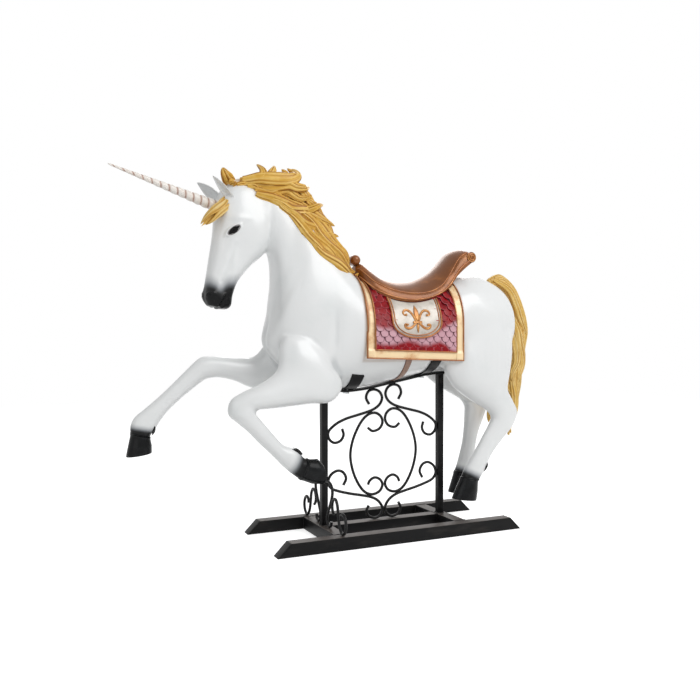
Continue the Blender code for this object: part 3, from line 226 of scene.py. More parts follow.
# Saddle, front to rear: x, height along the middle, half width, height of the edge
SADDLE: list[tuple[float, ...]] = [
    (-0.135, 1.076, 0.030, 1.056),
    (-0.113, 1.086, 0.070, 1.022),
    (-0.085, 1.066, 0.098, 0.994),
    (-0.040, 1.036, 0.116, 0.976),
    (0.010, 1.022, 0.124, 0.964),
    (0.060, 1.019, 0.128, 0.957),
    (0.110, 1.024, 0.129, 0.957),
    (0.160, 1.040, 0.127, 0.966),
    (0.205, 1.063, 0.121, 0.986),
    (0.240, 1.090, 0.113, 1.020),
    (0.268, 1.117, 0.106, 1.058),
    (0.300, 1.148, 0.103, 1.108),
    (0.335, 1.163, 0.104, 1.138),
    (0.362, 1.156, 0.104, 1.136),
]

# Scroll rods, drawn for the rear half: x, z of the centre line
UPPER_SCROLL: list[tuple[float, ...]] = [
    (0.067, 0.531), (0.080, 0.557), (0.070, 0.583), (0.045, 0.591), (0.020, 0.581), (0.008, 0.557),
    (0.016, 0.532), (0.038, 0.513), (0.070, 0.500), (0.120, 0.487), (0.170, 0.474), (0.212, 0.455),
    (0.2437, 0.427), (0.2437, 0.398), (0.222, 0.379), (0.194, 0.385), (0.180, 0.408), (0.186, 0.434),
]
OVAL_SCROLL: list[tuple[float, ...]] = [
    (0.072, 0.432), (0.050, 0.418), (0.020, 0.427), (0.006, 0.452), (0.014, 0.478), (0.040, 0.4935),
    (0.075, 0.4850), (0.108, 0.450), (0.138, 0.388), (0.150, 0.325), (0.140, 0.262), (0.116, 0.206),
    (0.086, 0.168), (0.052, 0.155), (0.020, 0.165), (0.006, 0.190), (0.016, 0.213), (0.040, 0.224),
    (0.062, 0.214), (0.072, 0.196),
]
LOWER_SCROLL: list[tuple[float, ...]] = [
    (0.181, 0.203), (0.169, 0.230), (0.182, 0.256), (0.208, 0.264), (0.236, 0.248), (0.2465, 0.219),
    (0.232, 0.194), (0.200, 0.180), (0.150, 0.166), (0.100, 0.155), (0.055, 0.143), (0.024, 0.124),
    (0.006, 0.094), (0.016, 0.066), (0.040, 0.0556), (0.068, 0.066), (0.078, 0.088), (0.068, 0.110),
]

# Scroll rods across the front post, drawn for the right side: y, z of the centre line
POST_SCROLL: list[tuple[float, ...]] = [
    (0.0150, 0.222), (0.050, 0.228), (0.078, 0.214), (0.086, 0.192), (0.078, 0.166), (0.062, 0.138),
    (0.046, 0.112), (0.034, 0.088), (0.036, 0.066), (0.054, 0.0556), (0.072, 0.062), (0.076, 0.078),
]
OUTER_SCROLL: list[tuple[float, ...]] = [
    (0.100, 0.112), (0.087, 0.124), (0.084, 0.146), (0.096, 0.168), (0.118, 0.171), (0.134, 0.150),
    (0.141, 0.118), (0.150, 0.085), (0.166, 0.062), (0.188, 0.0556), (0.207, 0.070), (0.213, 0.095),
    (0.203, 0.119), (0.184, 0.129), (0.168, 0.121), (0.163, 0.105),
]

CANTLE_FREE_X = 0.255
CANTLE_UNDERSIDE_Z = 1.104
POMMEL_ROLL = (-0.134, 1.098, 0.021, 0.030, 0.018)
CANTLE_ROLL = (0.356, 1.123, 0.0225, 0.109, 0.006)

# Locks on the sides of the mane and of the tail: width, then x, z along the lock from its root to its tip
MANE_LOCKS: list[tuple[float, list[tuple[float, float]]]] = [
    (0.026, [(-0.621, 1.350), (-0.648, 1.366), (-0.667, 1.388), (-0.674, 1.414)]),
    (0.017, [(-0.622, 1.350), (-0.592, 1.354), (-0.562, 1.352), (-0.546, 1.335), (-0.538, 1.308)]),
    (0.018, [(-0.560, 1.370), (-0.538, 1.386), (-0.536, 1.408), (-0.547, 1.436)]),
    (0.018, [(-0.535, 1.372), (-0.508, 1.390), (-0.495, 1.410), (-0.486, 1.430)]),
    (0.016, [(-0.500, 1.375), (-0.470, 1.390), (-0.448, 1.402)]),
    (0.023, [(-0.610, 1.366), (-0.560, 1.371), (-0.521, 1.372), (-0.455, 1.382), (-0.408, 1.398), (-0.400, 1.425),
             (-0.426, 1.437)]),
    (0.021, [(-0.590, 1.350), (-0.545, 1.347), (-0.505, 1.351), (-0.442, 1.368), (-0.405, 1.350), (-0.369, 1.344),
             (-0.336, 1.369)]),
    (0.020, [(-0.560, 1.337), (-0.510, 1.330), (-0.482, 1.327), (-0.442, 1.334), (-0.394, 1.319), (-0.346, 1.332)]),
    (0.020, [(-0.545, 1.322), (-0.490, 1.311), (-0.426, 1.294), (-0.378, 1.276), (-0.328, 1.279), (-0.280, 1.296)]),
    (0.021, [(-0.490, 1.312), (-0.442, 1.300), (-0.394, 1.268), (-0.345, 1.262), (-0.295, 1.243), (-0.247, 1.214)]),
    (0.020, [(-0.440, 1.290), (-0.394, 1.258), (-0.353, 1.225), (-0.312, 1.203), (-0.275, 1.176), (-0.232, 1.171)]),
    (0.021, [(-0.380, 1.268), (-0.341, 1.230), (-0.305, 1.186), (-0.272, 1.155), (-0.245, 1.129), (-0.208, 1.106),
             (-0.177, 1.066)]),
    (0.020, [(-0.330, 1.215), (-0.294, 1.172), (-0.256, 1.127), (-0.220, 1.090), (-0.180, 1.064), (-0.145, 1.052)]),
    (0.015, [(-0.505, 1.330), (-0.450, 1.312), (-0.390, 1.284), (-0.348, 1.248), (-0.314, 1.205)]),
    (0.016, [(-0.372, 1.240), (-0.336, 1.190), (-0.300, 1.145), (-0.268, 1.108), (-0.235, 1.085)]),
    (0.018, [(-0.315, 1.165), (-0.283, 1.122), (-0.245, 1.085), (-0.197, 1.053), (-0.160, 1.038), (-0.132, 1.042)]),
    (0.022, [(-0.365, 1.262), (-0.303, 1.206), (-0.235, 1.131), (-0.183, 1.064)]),
    (0.021, [(-0.400, 1.258), (-0.343, 1.204), (-0.297, 1.149), (-0.258, 1.104), (-0.210, 1.068)]),
    (0.020, [(-0.440, 1.325), (-0.385, 1.290), (-0.330, 1.240), (-0.275, 1.190)]),
]
TAIL_LOCKS: list[tuple[float, list[tuple[float, float]]]] = [
    (0.021, [(0.518, 1.026), (0.583, 0.941), (0.618, 0.844), (0.637, 0.746), (0.637, 0.678), (0.622, 0.629),
             (0.640, 0.560)]),
    (0.020, [(0.606, 0.873), (0.625, 0.756), (0.604, 0.678), (0.596, 0.620), (0.612, 0.561), (0.640, 0.521),
             (0.654, 0.484)]),
    (0.021, [(0.576, 0.970), (0.637, 0.844), (0.652, 0.756), (0.672, 0.677), (0.655, 0.619), (0.670, 0.584)]),
    (0.021, [(0.530, 1.045), (0.600, 1.000), (0.636, 0.932), (0.655, 0.874), (0.674, 0.825), (0.702, 0.798)]),
    (0.022, [(0.622, 0.600), (0.632, 0.530), (0.630, 0.460), (0.618, 0.405), (0.612, 0.366)]),
    (0.020, [(0.606, 0.640), (0.590, 0.570), (0.560, 0.515), (0.526, 0.468), (0.516, 0.420)]),
]
# Locks on each side of the forelock: half width, half thickness, turn of the grooves, then station, angle and lift
FORELOCK_LOCKS: list[tuple[float, float, float, list[tuple[float, float, float]]]] = [
    (0.007, 0.005, 0.4, [(0.2, 1.0, 0.0), (0.9, 0.6, 0.001), (1.7, 1.2, 0.0), (2.3, 1.5, -0.002)]),
    (0.018, 0.009, 0.4, [(1.9, 0.7, -0.003), (2.8, 0.9, 0.001), (3.8, 0.8, 0.002), (4.9, 0.3, 0.0)]),
    (0.015, 0.008, 1.0, [(1.8, 2.2, -0.003), (2.7, 2.1, 0.001), (3.6, 2.1, 0.001), (4.6, 2.4, 0.0)]),
]

# Muscles and hollows on both sides of the body: x, distance from the middle, z, three radii, height
MUSCLES: list[tuple[float, ...]] = [
    (-0.375, 0.118, 0.860, 0.075, 0.06, 0.130, 0.006), (-0.430, 0.115, 0.760, 0.050, 0.06, 0.070, 0.008),
    (-0.330, 0.135, 0.720, 0.060, 0.06, 0.055, 0.008), (-0.270, 0.150, 0.800, 0.022, 0.06, 0.120, -0.006),
    (-0.500, 0.035, 0.760, 0.050, 0.03, 0.070, 0.007), (-0.515, 0.000, 0.760, 0.050, 0.010, 0.110, -0.007),
    (-0.420, 0.090, 1.130, 0.030, 0.05, 0.150, -0.004), (-0.470, 0.060, 1.060, 0.020, 0.04, 0.120, 0.003),
    (0.330, 0.160, 0.960, 0.060, 0.06, 0.050, 0.007), (0.440, 0.155, 0.860, 0.085, 0.06, 0.100, 0.007),
    (0.258, 0.165, 0.770, 0.022, 0.06, 0.100, -0.006), (0.300, 0.160, 0.700, 0.040, 0.06, 0.050, 0.006),
    (0.505, 0.060, 0.960, 0.050, 0.045, 0.050, 0.005), (0.560, 0.000, 0.880, 0.040, 0.012, 0.090, -0.006),
    (-0.600, 0.130, 0.585, 0.050, 0.06, 0.028, 0.004), (-0.640, 0.115, 0.690, 0.050, 0.06, 0.028, 0.003),
]

# Shapes of the head, before it is turned: x, distance from the middle, z, three radii, height
HEAD_FORMS: list[tuple[float, ...]] = [
    (-0.555, 0.085, 1.175, 0.055, 0.05, 0.070, 0.007), (-0.514, 0.090, 1.185, 0.011, 0.05, 0.065, -0.0085),
    (-0.640, 0.075, 1.110, 0.045, 0.04, 0.055, -0.006), (-0.652, 0.085, 1.222, 0.034, 0.03, 0.013, 0.007),
    (-0.690, 0.055, 1.150, 0.015, 0.04, 0.040, -0.003), (-0.715, 0.000, 1.090, 0.030, 0.018, 0.110, 0.003),
    (-0.655, 0.060, 1.060, 0.012, 0.03, 0.070, 0.003), (-0.735, 0.042, 0.946, 0.019, 0.020, 0.022, 0.007),
    (-0.745, 0.000, 0.935, 0.030, 0.012, 0.030, -0.003), (-0.662, 0.000, 0.905, 0.020, 0.030, 0.014, 0.007),
    (-0.700, 0.045, 0.985, 0.020, 0.03, 0.030, -0.003), (-0.690, 0.030, 0.897, 0.018, 0.04, 0.010, 0.003),
]
NOSTRIL = (-0.741, 0.046, 0.943)
MOUTH_LINE = [(-0.703, 0.888), (-0.700, 0.905), (-0.694, 0.920), (-0.684, 0.936)]
FACE_LINE = [(-0.655, 1.125), (-0.668, 1.080), (-0.685, 1.035), (-0.700, 0.995)]
EYE_MIDDLE = (-0.661, 1.177)
EYE_HALF_LENGTH = 0.0235
EYE_HALF_HEIGHT = 0.0105
EYE_TILT = math.radians(41.0)


LEGS: tuple[tuple[str, list[Station]], ...] = (
    ("left_foreleg", LEFT_FORELEG), ("right_foreleg", RIGHT_FORELEG),
    ("left_hindleg", LEFT_HINDLEG), ("right_hindleg", RIGHT_HINDLEG),
)


class Side(Enum):
    """The figure's two sides, as the sign of Y."""

    LEFT = -1
    RIGHT = 1


class Slot(Enum):
    """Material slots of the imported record."""

    WHITE = "white_gelcoat"
    HAIR = "golden_hair"
    HORN = "ivory_horn"
    STAND = "black_stand"
    SADDLE = "copper_saddle"
    BLANKET = "crimson_blanket"
    SHIELD = "pearl_shield"
    ORNAMENT = "copper_ornament"
    STRAP = "tan_strap"
    BLACK = "black_eye"
    ZINC = "zinc_steel"


def linear(color: str) -> tuple[float, float, float, float]:
    """Turns an sRGB hex colour into linear light.

    Args:
        color: Six hex digits after a hash.

    Returns:
        Linear red, green and blue, and an alpha of one.
    """
    shares = [int(color[k : k + 2], 16) / 255 for k in (1, 3, 5)]
    red, green, blue = (s / 12.92 if s <= 0.04045 else ((s + 0.055) / 1.055) ** 2.4 for s in shares)
    return red, green, blue, 1.0


def find_socket(sockets: Sequence[Socket], key: str | int) -> Socket:
    """Finds a socket by its place, its identifier or its name.

    Args:
        sockets: The inputs or outputs of a node.
        key: A place in the list, an identifier, or a name.

    Returns:
        The socket.
    """
    if isinstance(key, int):
        return sockets[key]
    return next((s for s in sockets if s.identifier == key), None) or sockets[key]


def add_node(tree: bpy.types.NodeTree, kind: str, inputs: dict | None = None, **settings: object) -> bpy.types.Node:
    """Adds a node with its settings, values and links.

    Args:
        tree: The tree that takes the node.
        kind: Blender's name for the node.
        inputs: A value, or the socket that feeds it, for each input.
        **settings: The node's own properties.

    Returns:
        The new node.
    """
    node = tree.nodes.new(kind)
    for name, value in settings.items():
        setattr(node, name, value)
    for key, value in (inputs or {}).items():
        socket = find_socket(node.inputs, key)
        if isinstance(value, bpy.types.NodeSocket):
            tree.links.new(value, socket)
        else:
            socket.default_value = value
    return node


def fresh_tree(owner: bpy.types.Material | bpy.types.World) -> bpy.types.NodeTree:
    """Gives a material or the world an empty node tree.

    Args:
        owner: The material or the world.

    Returns:
        Its tree.
    """
    owner.use_nodes = True
    owner.node_tree.nodes.clear()
    return owner.node_tree


@dataclass(frozen=True)
class Overlay:
    """A colour laid over a finish where one of the piece's own attributes rises.

    Attributes:
        attribute: Name of the attribute.
        color: The colour laid on, as sRGB hex.
        start: Attribute value at which it begins to show.
        full: Attribute value from which it covers.
        strength: How far it covers, from 0 to 1.
        ragged: How far a soft noise shifts the edge.
    """

    attribute: str
    color: str
    start: float = 0.0
    full: float = 1.0
    strength: float = 1.0
    ragged: float = 0.0


@dataclass(frozen=True)
class Finish:
    """A surface of two colours broken softly over each other, with a fine grain.

    Attributes:
        name: The real material and how its surface was made.
        color: Main colour, as sRGB hex.
        second: Colour broken over it.
        patch_mm: Size of the patches of the second colour.
        patch_low: Noise value at which a patch begins.
        patch_high: Noise value from which a patch covers.
        stretch: How far the patches are squeezed along X, Y and Z.
        roughness: How dull the surface is.
        metallic: Share of bare metal.
        coat: Weight of a clear coat.
        specular: Strength of the mirror reflection.
        dulled_by: Attribute under which the reflections fall away.
        dull_levels: What the reflections fall to.
        grain_mm: Size of the grain that breaks the reflections.
        grain_depth_mm: Depth of that grain.
        overlays: Colours laid on by attributes, in order.
    """

    name: str
    color: str
    second: str
    patch_mm: float = 60.0
    patch_low: float = 0.40
    patch_high: float = 0.75
    stretch: tuple[float, float, float] = (1.0, 1.0, 1.0)
    roughness: float = 0.4
    metallic: float = 0.0
    coat: float = 0.0
    specular: float = 0.5
    dulled_by: str = ""
    dull_levels: tuple[tuple[str, float], ...] = (("Specular IOR Level", 0.12), ("Coat Weight", 0.05))
    grain_mm: float = 3.0
    grain_depth_mm: float = 0.05
    overlays: tuple[Overlay, ...] = ()

    def build(self) -> bpy.types.Material:
        """Makes the material.

        Returns:
            The finished node material.
        """
        material = bpy.data.materials.new(self.name)
        tree = fresh_tree(material)
        place = add_node(tree, "ShaderNodeTexCoord")
        squeezed = add_node(tree, "ShaderNodeMapping", {"Vector": place.outputs["Object"], "Scale": self.stretch})
        patches = add_node(
            tree, "ShaderNodeTexNoise",
            {"Vector": squeezed.outputs[0], "Scale": 1000 / self.patch_mm, "Detail": 5.0, "Roughness": 0.6},
        )
        share = add_node(
            tree, "ShaderNodeMapRange",
            {"Value": patches.outputs[0], "From Min": self.patch_low, "From Max": self.patch_high},
            interpolation_type="SMOOTHSTEP",
        )
        base = add_node(
            tree, "ShaderNodeMix",
            {"Factor_Float": share.outputs[0], "A_Color": linear(self.color), "B_Color": linear(self.second)},
            data_type="RGBA",
        )
        color = find_socket(base.outputs, "Result_Color")
        for overlay in self.overlays:
            color = self.lay_over(tree, color, patches.outputs[0], overlay)
        grain = add_node(
            tree, "ShaderNodeTexNoise",
            {"Vector": place.outputs["Object"], "Scale": 1000 / self.grain_mm, "Detail": 3.0},
        )
        bump = add_node(
            tree, "ShaderNodeBump",
            {"Height": grain.outputs[0], "Distance": self.grain_depth_mm / 1000, "Strength": 1.0},
        )
        shine: dict[str, object] = {"Specular IOR Level": self.specular, "Coat Weight": self.coat}
        if self.dulled_by:
            dull = add_node(tree, "ShaderNodeAttribute", attribute_name=self.dulled_by).outputs["Fac"]
            for key, least in self.dull_levels:
                levels = {"Value": dull, "To Min": shine[key], "To Max": least}
                shine[key] = add_node(tree, "ShaderNodeMapRange", levels).outputs[0]
        shader = add_node(
            tree, "ShaderNodeBsdfPrincipled",
            {
                "Base Color": color, "Roughness": self.roughness, "Metallic": self.metallic,
                "Coat Roughness": 0.12, "Normal": bump.outputs[0], **shine,
            },
        )
        add_node(tree, "ShaderNodeOutputMaterial", {"Surface": shader.outputs[0]})
        return material

    @staticmethod
    def lay_over(tree: bpy.types.NodeTree, color: Socket, noise: Socket, overlay: Overlay) -> Socket:
        """Lays one colour over another by an attribute.

        Args:
            tree: The material's tree.
            color: Colour so far.
            noise: Noise that ruffles the edge.
            overlay: What to lay on, and where.

        Returns:
            The colour with the overlay.
        """
        value = add_node(tree, "ShaderNodeAttribute", attribute_name=overlay.attribute)
        ruffle = add_node(
            tree, "ShaderNodeMath", {0: noise, 1: overlay.ragged, 2: -overlay.ragged / 2}, operation="MULTIPLY_ADD"
        )
        total = add_node(tree, "ShaderNodeMath", {0: value.outputs["Fac"], 1: ruffle.outputs[0]}, operation="ADD")
        share = add_node(
            tree, "ShaderNodeMapRange",
            {
                "Value": total.outputs[0], "From Min": overlay.start, "From Max": overlay.full,
                "To Max": overlay.strength,
            },
            interpolation_type="SMOOTHSTEP",
        )
        mixed = add_node(
            tree, "ShaderNodeMix",
            {"Factor_Float": share.outputs[0], "A_Color": color, "B_Color": linear(overlay.color)},
            data_type="RGBA",
        )
        return find_socket(mixed.outputs, "Result_Color")


@dataclass
class Finishes:
    """Every finish of the ride figure, built once."""

    # Sprayed white gelcoat on glass fibre: clean and glossy, with painted cool-grey shade in its hollows, and
    # airbrushed black feet
    gelcoat: Finish = Finish(
        "sprayed_white_gelcoat", "#eaebeb", "#e0e3e3", patch_mm=160, patch_low=0.45, patch_high=0.9, roughness=0.3,
        coat=0.30, dulled_by="soft_black", grain_mm=9.0, grain_depth_mm=0.04,
        overlays=(
            Overlay("mane_shade", "#dcb877", 0.25, 1.0, 0.5, 0.25),
            Overlay("tack_shade", "#a5714a", 0.35, 1.0, 0.35, 0.3),
            Overlay("hollow_shade", "#9ea3a6", 0.1, 1.0, 0.55),
            Overlay("soft_black", "#70757c", 0.02, 0.70, 0.85, 0.12),
            Overlay("soft_black", "#0e0f10", 0.42, 0.80, 1.0, 0.16),
            Overlay("lid_shade", "#4a3c3a", 0.2, 1.0, 0.85),
        ),
    )
    # Sculpted resin hair in gold paint: deep orange-brown wash in the grooves, painted shade down the locks' sides and
    # undersides, and pale yellow painted highlights on the crests
    hair: Finish = Finish(
        "washed_golden_hair_paint", "#d6a541", "#e3b857", patch_mm=55, patch_low=0.42, patch_high=0.66, roughness=0.42,
        coat=0.05, specular=0.3, grain_mm=1.6, grain_depth_mm=0.08,
        overlays=(
            Overlay("crest", "#f2cf7f", 0.25, 1.0, 0.85, 0.5),
            Overlay("groove", "#a96c1d", 0.30, 0.90, 0.9, 0.3),
            Overlay("groove", "#7a430e", 0.68, 1.05, 0.85, 0.3),
        ),
    )
    # The same on tail and forelock, brushed over with more of the pale yellow, with paler painted highlights and
    # painted shade
    pale_hair: Finish = replace(
        hair, name="pale_washed_golden_hair_paint", color="#d6ac55", second="#e2be70",
        overlays=(
            Overlay("crest", "#f5dc9e", 0.25, 1.0, 0.85, 0.5),
            Overlay("groove", "#b98335", 0.40, 0.95, 0.8, 0.3),
            Overlay("groove", "#8b6123", 0.80, 1.15, 0.75, 0.3),
        ),
    )
    # Satin ivory paint: near white with a pinkish-brown wash down in the spiral
    horn: Finish = Finish(
        "washed_ivory_horn_paint", "#efe9e2", "#e2d6cc", patch_mm=18, roughness=0.34, coat=0.2, grain_mm=1.2,
        grain_depth_mm=0.04,
        overlays=(Overlay("groove", "#b99484", 0.25, 0.8, 0.9, 0.2), Overlay("groove", "#7d5a4c", 0.75, 1.1, 0.8)),
    )
    # Gloss black lacquer over resin hoofs, faintly blue in its highlights
    hoof: Finish = Finish(
        "gloss_black_hoof_lacquer", "#0f1011", "#1c1e20", patch_mm=30, roughness=0.26, coat=0.08, specular=0.1,
        grain_mm=4.0, grain_depth_mm=0.12,
    )
    # Polished black resin eye with a dark brown iris ring
    eye: Finish = Finish(
        "polished_black_eye_resin", "#050506", "#080708", patch_mm=20, roughness=0.12, specular=0.12, grain_mm=5.0,
        grain_depth_mm=0.0, overlays=(Overlay("iris", "#3a3430", 0.4, 1.0, 0.7),),
    )
    # Copper-brown metallic paint, paler and greyer along the top of the seat, and bright orange along the skirts'
    # edges, high on the cantle and round the rolls
    saddle: Finish = Finish(
        "rubbed_copper_saddle_paint", "#733f12", "#965821", patch_mm=55, patch_low=0.40, patch_high=0.72,
        stretch=(0.5, 1.0, 1.0), roughness=0.30, metallic=0.25, coat=0.30, specular=0.3, grain_mm=3.0,
        grain_depth_mm=0.06,
        overlays=(Overlay("top", "#80583c", 0.45, 1.0, 0.7, 0.3), Overlay("rubbed", "#a96f38", 0.45, 1.0, 0.5, 0.35)),
    )
    # Bright copper-gold metallic paint on every raised bead
    bead: Finish = Finish(
        "burnished_copper_bead_paint", "#96582c", "#c0824b", patch_mm=60, roughness=0.34, metallic=0.45, coat=0.2,
        grain_mm=1.5, grain_depth_mm=0.05,
    )
    # Cream and gold paint brushed over a brown ground on the blanket's border, with painted shade in brown down the
    # upper front edge
    border: Finish = Finish(
        "brushed_gold_border_paint", "#fadfb2", "#cf945c", patch_mm=70, patch_low=0.44, patch_high=0.70,
        stretch=(0.8, 1.0, 1.0), roughness=0.38, metallic=0.1, coat=0.2, grain_mm=2.0, grain_depth_mm=0.1,
        overlays=(Overlay("edge", "#8b5527", 0.25, 1.0, 0.85, 0.35),),
    )
    # Deep crimson enamel in the scales' joints, with the band of painted glare in muted lilac
    field: Finish = Finish(
        "crimson_ground_enamel", "#5f0a14", "#45070e", patch_mm=20, roughness=0.4, specular=0.2, grain_mm=1.5,
        overlays=(Overlay("pearly", "#7a4a55", 0.4, 0.6, 0.9, 0.1),),
    )
    # Crimson enamel scales, their rims painted pale pink as highlights where the edges catch the light, and a wavy band
    # of painted glare in pale lilac in which the rims are painted dark
    scale: Finish = Finish(
        "crimson_scale_enamel", "#960c18", "#6c0711", patch_mm=30, roughness=0.28, coat=0.10, specular=0.12,
        grain_mm=1.5, grain_depth_mm=0.05,
        overlays=(
            Overlay("rim", "#cf6f78", 0.45, 0.85, 0.5, 0.3),
            Overlay("pearly", "#d5a9b4", 0.15, 0.95, 0.9, 0.7),
            Overlay("pearly_rim", "#5d2a38", 0.30, 0.70, 0.9, 0.15),
        ),
    )
    # Pearl white paint with a faint warm lustre on the shield
    pearl: Finish = Finish(
        "pearl_shield_paint", "#cbc3b9", "#a59c92", patch_mm=45, roughness=0.32, metallic=0.1, coat=0.25, grain_mm=2.0,
        overlays=(Overlay("edge", "#8f6a50", 0.3, 1.0, 0.75, 0.4),),
    )
    # Gold-copper relief paint with dark wash round it
    ornament: Finish = Finish(
        "gilded_copper_relief_paint", "#a96d34", "#cc9551", patch_mm=12, roughness=0.34, metallic=0.4, coat=0.2,
        grain_mm=1.2, grain_depth_mm=0.04, overlays=(Overlay("edge", "#5b2f16", 0.4, 1.0, 0.9),),
    )
    # Matt pinkish-tan painted strap with darker edges
    strap: Finish = Finish(
        "painted_tan_strap", "#9c7c6b", "#836454", patch_mm=15, roughness=0.5, grain_mm=1.2, grain_depth_mm=0.1,
        overlays=(Overlay("edge", "#5f4537", 0.5, 1.0, 0.8, 0.2),),
    )
    # Brushed-on satin black over welded steel, with a painted grey-brown sheen on the upper faces of the floor tubes
    stand: Finish = Finish(
        "brushed_satin_black_steel_paint", "#0d0d0e", "#2a2725", patch_mm=38, patch_low=0.50, patch_high=0.82,
        stretch=(0.25, 1.0, 1.0), roughness=0.42, specular=0.15, grain_mm=1.4, grain_depth_mm=0.12,
        overlays=(Overlay("worn", "#5d5652", 0.2, 1.0, 0.85, 0.7),),
    )
    # The same black on bent rod, a little smoother and glossier
    rod: Finish = Finish(
        "satin_black_rod_paint", "#0e0e0f", "#211f1f", patch_mm=22, roughness=0.36, specular=0.2,
        grain_mm=1.5, grain_depth_mm=0.06,
    )
    # Bright zinc plating with a fine cloudy spangle
    zinc: Finish = Finish(
        "bright_zinc_plated_steel", "#b9bcbe", "#9ea2a6", patch_mm=6, roughness=0.32, metallic=1.0, grain_mm=0.8,
        grain_depth_mm=0.02,
    )
    built: dict[str, bpy.types.Material] = dataclass_field(default_factory=dict)

    def get(self, finish: Finish) -> bpy.types.Material:
        """Gives a finish's material, made at its first use.

        Args:
            finish: One of the finishes above.

        Returns:
            Its material.
        """
        if finish.name not in self.built:
            self.built[finish.name] = finish.build()
        return self.built[finish.name]


FINISHES = Finishes()


def smooth_rows(rows: Sequence[Sequence[float]], steps: int) -> np.ndarray:
    """Draws a Catmull-Rom curve through rows of numbers.

    Args:
        rows: The rows it passes through.
        steps: Steps between two rows.

    Returns:
        The denser rows.
    """
    table = np.array(rows, float)
    padded = np.vstack([2 * table[:1] - table[1:2], table, 2 * table[-1:] - table[-2:-1]])
    a, b, c, d = (padded[k : k + len(table) - 1, None] for k in range(4))
    t = (np.arange(steps) / steps)[None, :, None]
    curve = 0.5 * (2 * b + (c - a) * t + (2 * a - 5 * b + 4 * c - d) * t**2 + (3 * b - a - 3 * c + d) * t**3)
    return np.vstack([curve.reshape(-1, table.shape[1]), table[-1:]])


def station_rows(stations: Sequence[Station], grow: float = 0.0) -> np.ndarray:
    """Turns stations into rows of numbers, grown outwards by a distance.

    Args:
        stations: The stations.
        grow: Distance added all round.

    Returns:
        Rows of both edges' x and z, the half width, the middle's y and the power.
    """
    rows = []
    for (ax, az), (bx, bz), half, y, power in stations:
        out = Vector((ax - bx, az - bz)).normalized() * grow
        rows.append((ax + out.x, az + out.y, bx - out.x, bz - out.y, half + grow, y, power))
    return np.array(rows)


def section_points(row: np.ndarray, angles: np.ndarray) -> np.ndarray:
    """Places points round a station's outline.

    Args:
        row: A row from station_rows.
        angles: Angles from the first edge towards +Y.

    Returns:
        One point for each angle.
    """
    ax, az, bx, bz, half, y, power = row
    cosine, sine = np.cos(angles), np.sin(angles)
    along = np.sign(cosine) * np.abs(cosine) ** (2 / power)
    across = np.sign(sine) * np.abs(sine) ** (2 / power)
    return np.stack(
        [(ax + bx) / 2 + (ax - bx) / 2 * along, y + half * across, (az + bz) / 2 + (az - bz) / 2 * along], 1
    )


def head_matrix() -> Matrix:
    """Gives the turn of the head about the upright line through the poll."""
    pivot = Vector((POLL_X, 0, 0))
    return Matrix.Translation(pivot) @ Matrix.Rotation(HEAD_YAW, 4, "Z") @ Matrix.Translation(-pivot)


def turned(points: np.ndarray, matrix: Matrix) -> np.ndarray:
    """Moves points by a matrix."""
    table = np.array(matrix)
    return points @ table[:3, :3].T + table[:3, 3]


def ring_faces(rings: int, count: int, closed: bool = True) -> list[tuple[int, ...]]:
    """Lists the faces between rings of points.

    Args:
        rings: Number of rings.
        count: Points in each ring.
        closed: Whether each ring joins up.

    Returns:
        Four-sided faces.
    """
    faces = []
    for i in range(rings - 1):
        for k in range(count if closed else count - 1):
            m = (k + 1) % count
            faces.append((i * count + k, i * count + m, (i + 1) * count + m, (i + 1) * count + k))
    return faces


def tube_skin(rings: Sequence[np.ndarray]) -> Skin:
    """Closes rings of points into a skin with a face over each end.

    Args:
        rings: Rings with the same number of points.

    Returns:
        Points and faces.
    """
    count = len(rings[0])
    faces = ring_faces(len(rings), count)
    faces.append(tuple(range(count)))
    faces.append(tuple(range((len(rings) - 1) * count, len(rings) * count)))
    return np.vstack(rings), faces


def sheet_skin(inner: Sequence, outer: Sequence) -> Skin:
    """Closes two grids of points into a sheet with a thickness.

    Args:
        inner: Grid of points of the under side.
        outer: Grid of points of the upper side.

    Returns:
        Points and faces.
    """
    inner, outer = np.array(inner), np.array(outer)
    lines, columns = inner.shape[:2]
    size = lines * columns
    top = ring_faces(lines, columns, closed=False)
    faces = top + [tuple(v + size for v in reversed(face)) for face in top]
    edge = [(0, j) for j in range(columns)] + [(i, columns - 1) for i in range(1, lines)]
    edge += [(lines - 1, j) for j in range(columns - 2, -1, -1)] + [(i, 0) for i in range(lines - 2, 0, -1)]
    for (i, j), (k, m) in zip(edge, edge[1:] + edge[:1]):
        a, b = i * columns + j, k * columns + m
        faces.append((a, b, b + size, a + size))
    return np.vstack([inner.reshape(-1, 3), outer.reshape(-1, 3)]), faces


def joined(skins: Sequence[Skin]) -> Skin:
    """Puts several skins in one table.

    Args:
        skins: Points and faces of each.

    Returns:
        Points and faces of all.
    """
    faces: list[tuple[int, ...]] = []
    start = 0
    for points, own in skins:
        faces += [tuple(v + start for v in face) for face in own]
        start += len(points)
    return np.vstack([points for points, _ in skins]), faces


def keep_values(mesh: bpy.types.Mesh, name: str, values: np.ndarray) -> None:
    """Stores a number for each point of a mesh."""
    attribute = mesh.attributes.new(name, "FLOAT", "POINT")
    attribute.data.foreach_set("value", np.ascontiguousarray(values, np.float32))


def new_object(name: str, data: bpy.types.ID) -> bpy.types.Object:
    """Makes an object for its data and puts it in the scene.

    Args:
        name: The object's name.
        data: Its mesh, lamp or camera.

    Returns:
        The object.
    """
    obj = bpy.data.objects.new(name, data)
    bpy.context.scene.collection.objects.link(obj)
    return obj


@contextmanager
def edited(mesh: bpy.types.Mesh) -> Iterator[bmesh.types.BMesh]:
    """Opens a mesh for editing and writes it back afterwards.

    Args:
        mesh: The mesh.

    Yields:
        Its editable form.
    """
    bm = bmesh.new()
    bm.from_mesh(mesh)
    yield bm
    bm.to_mesh(mesh)
    bm.free()


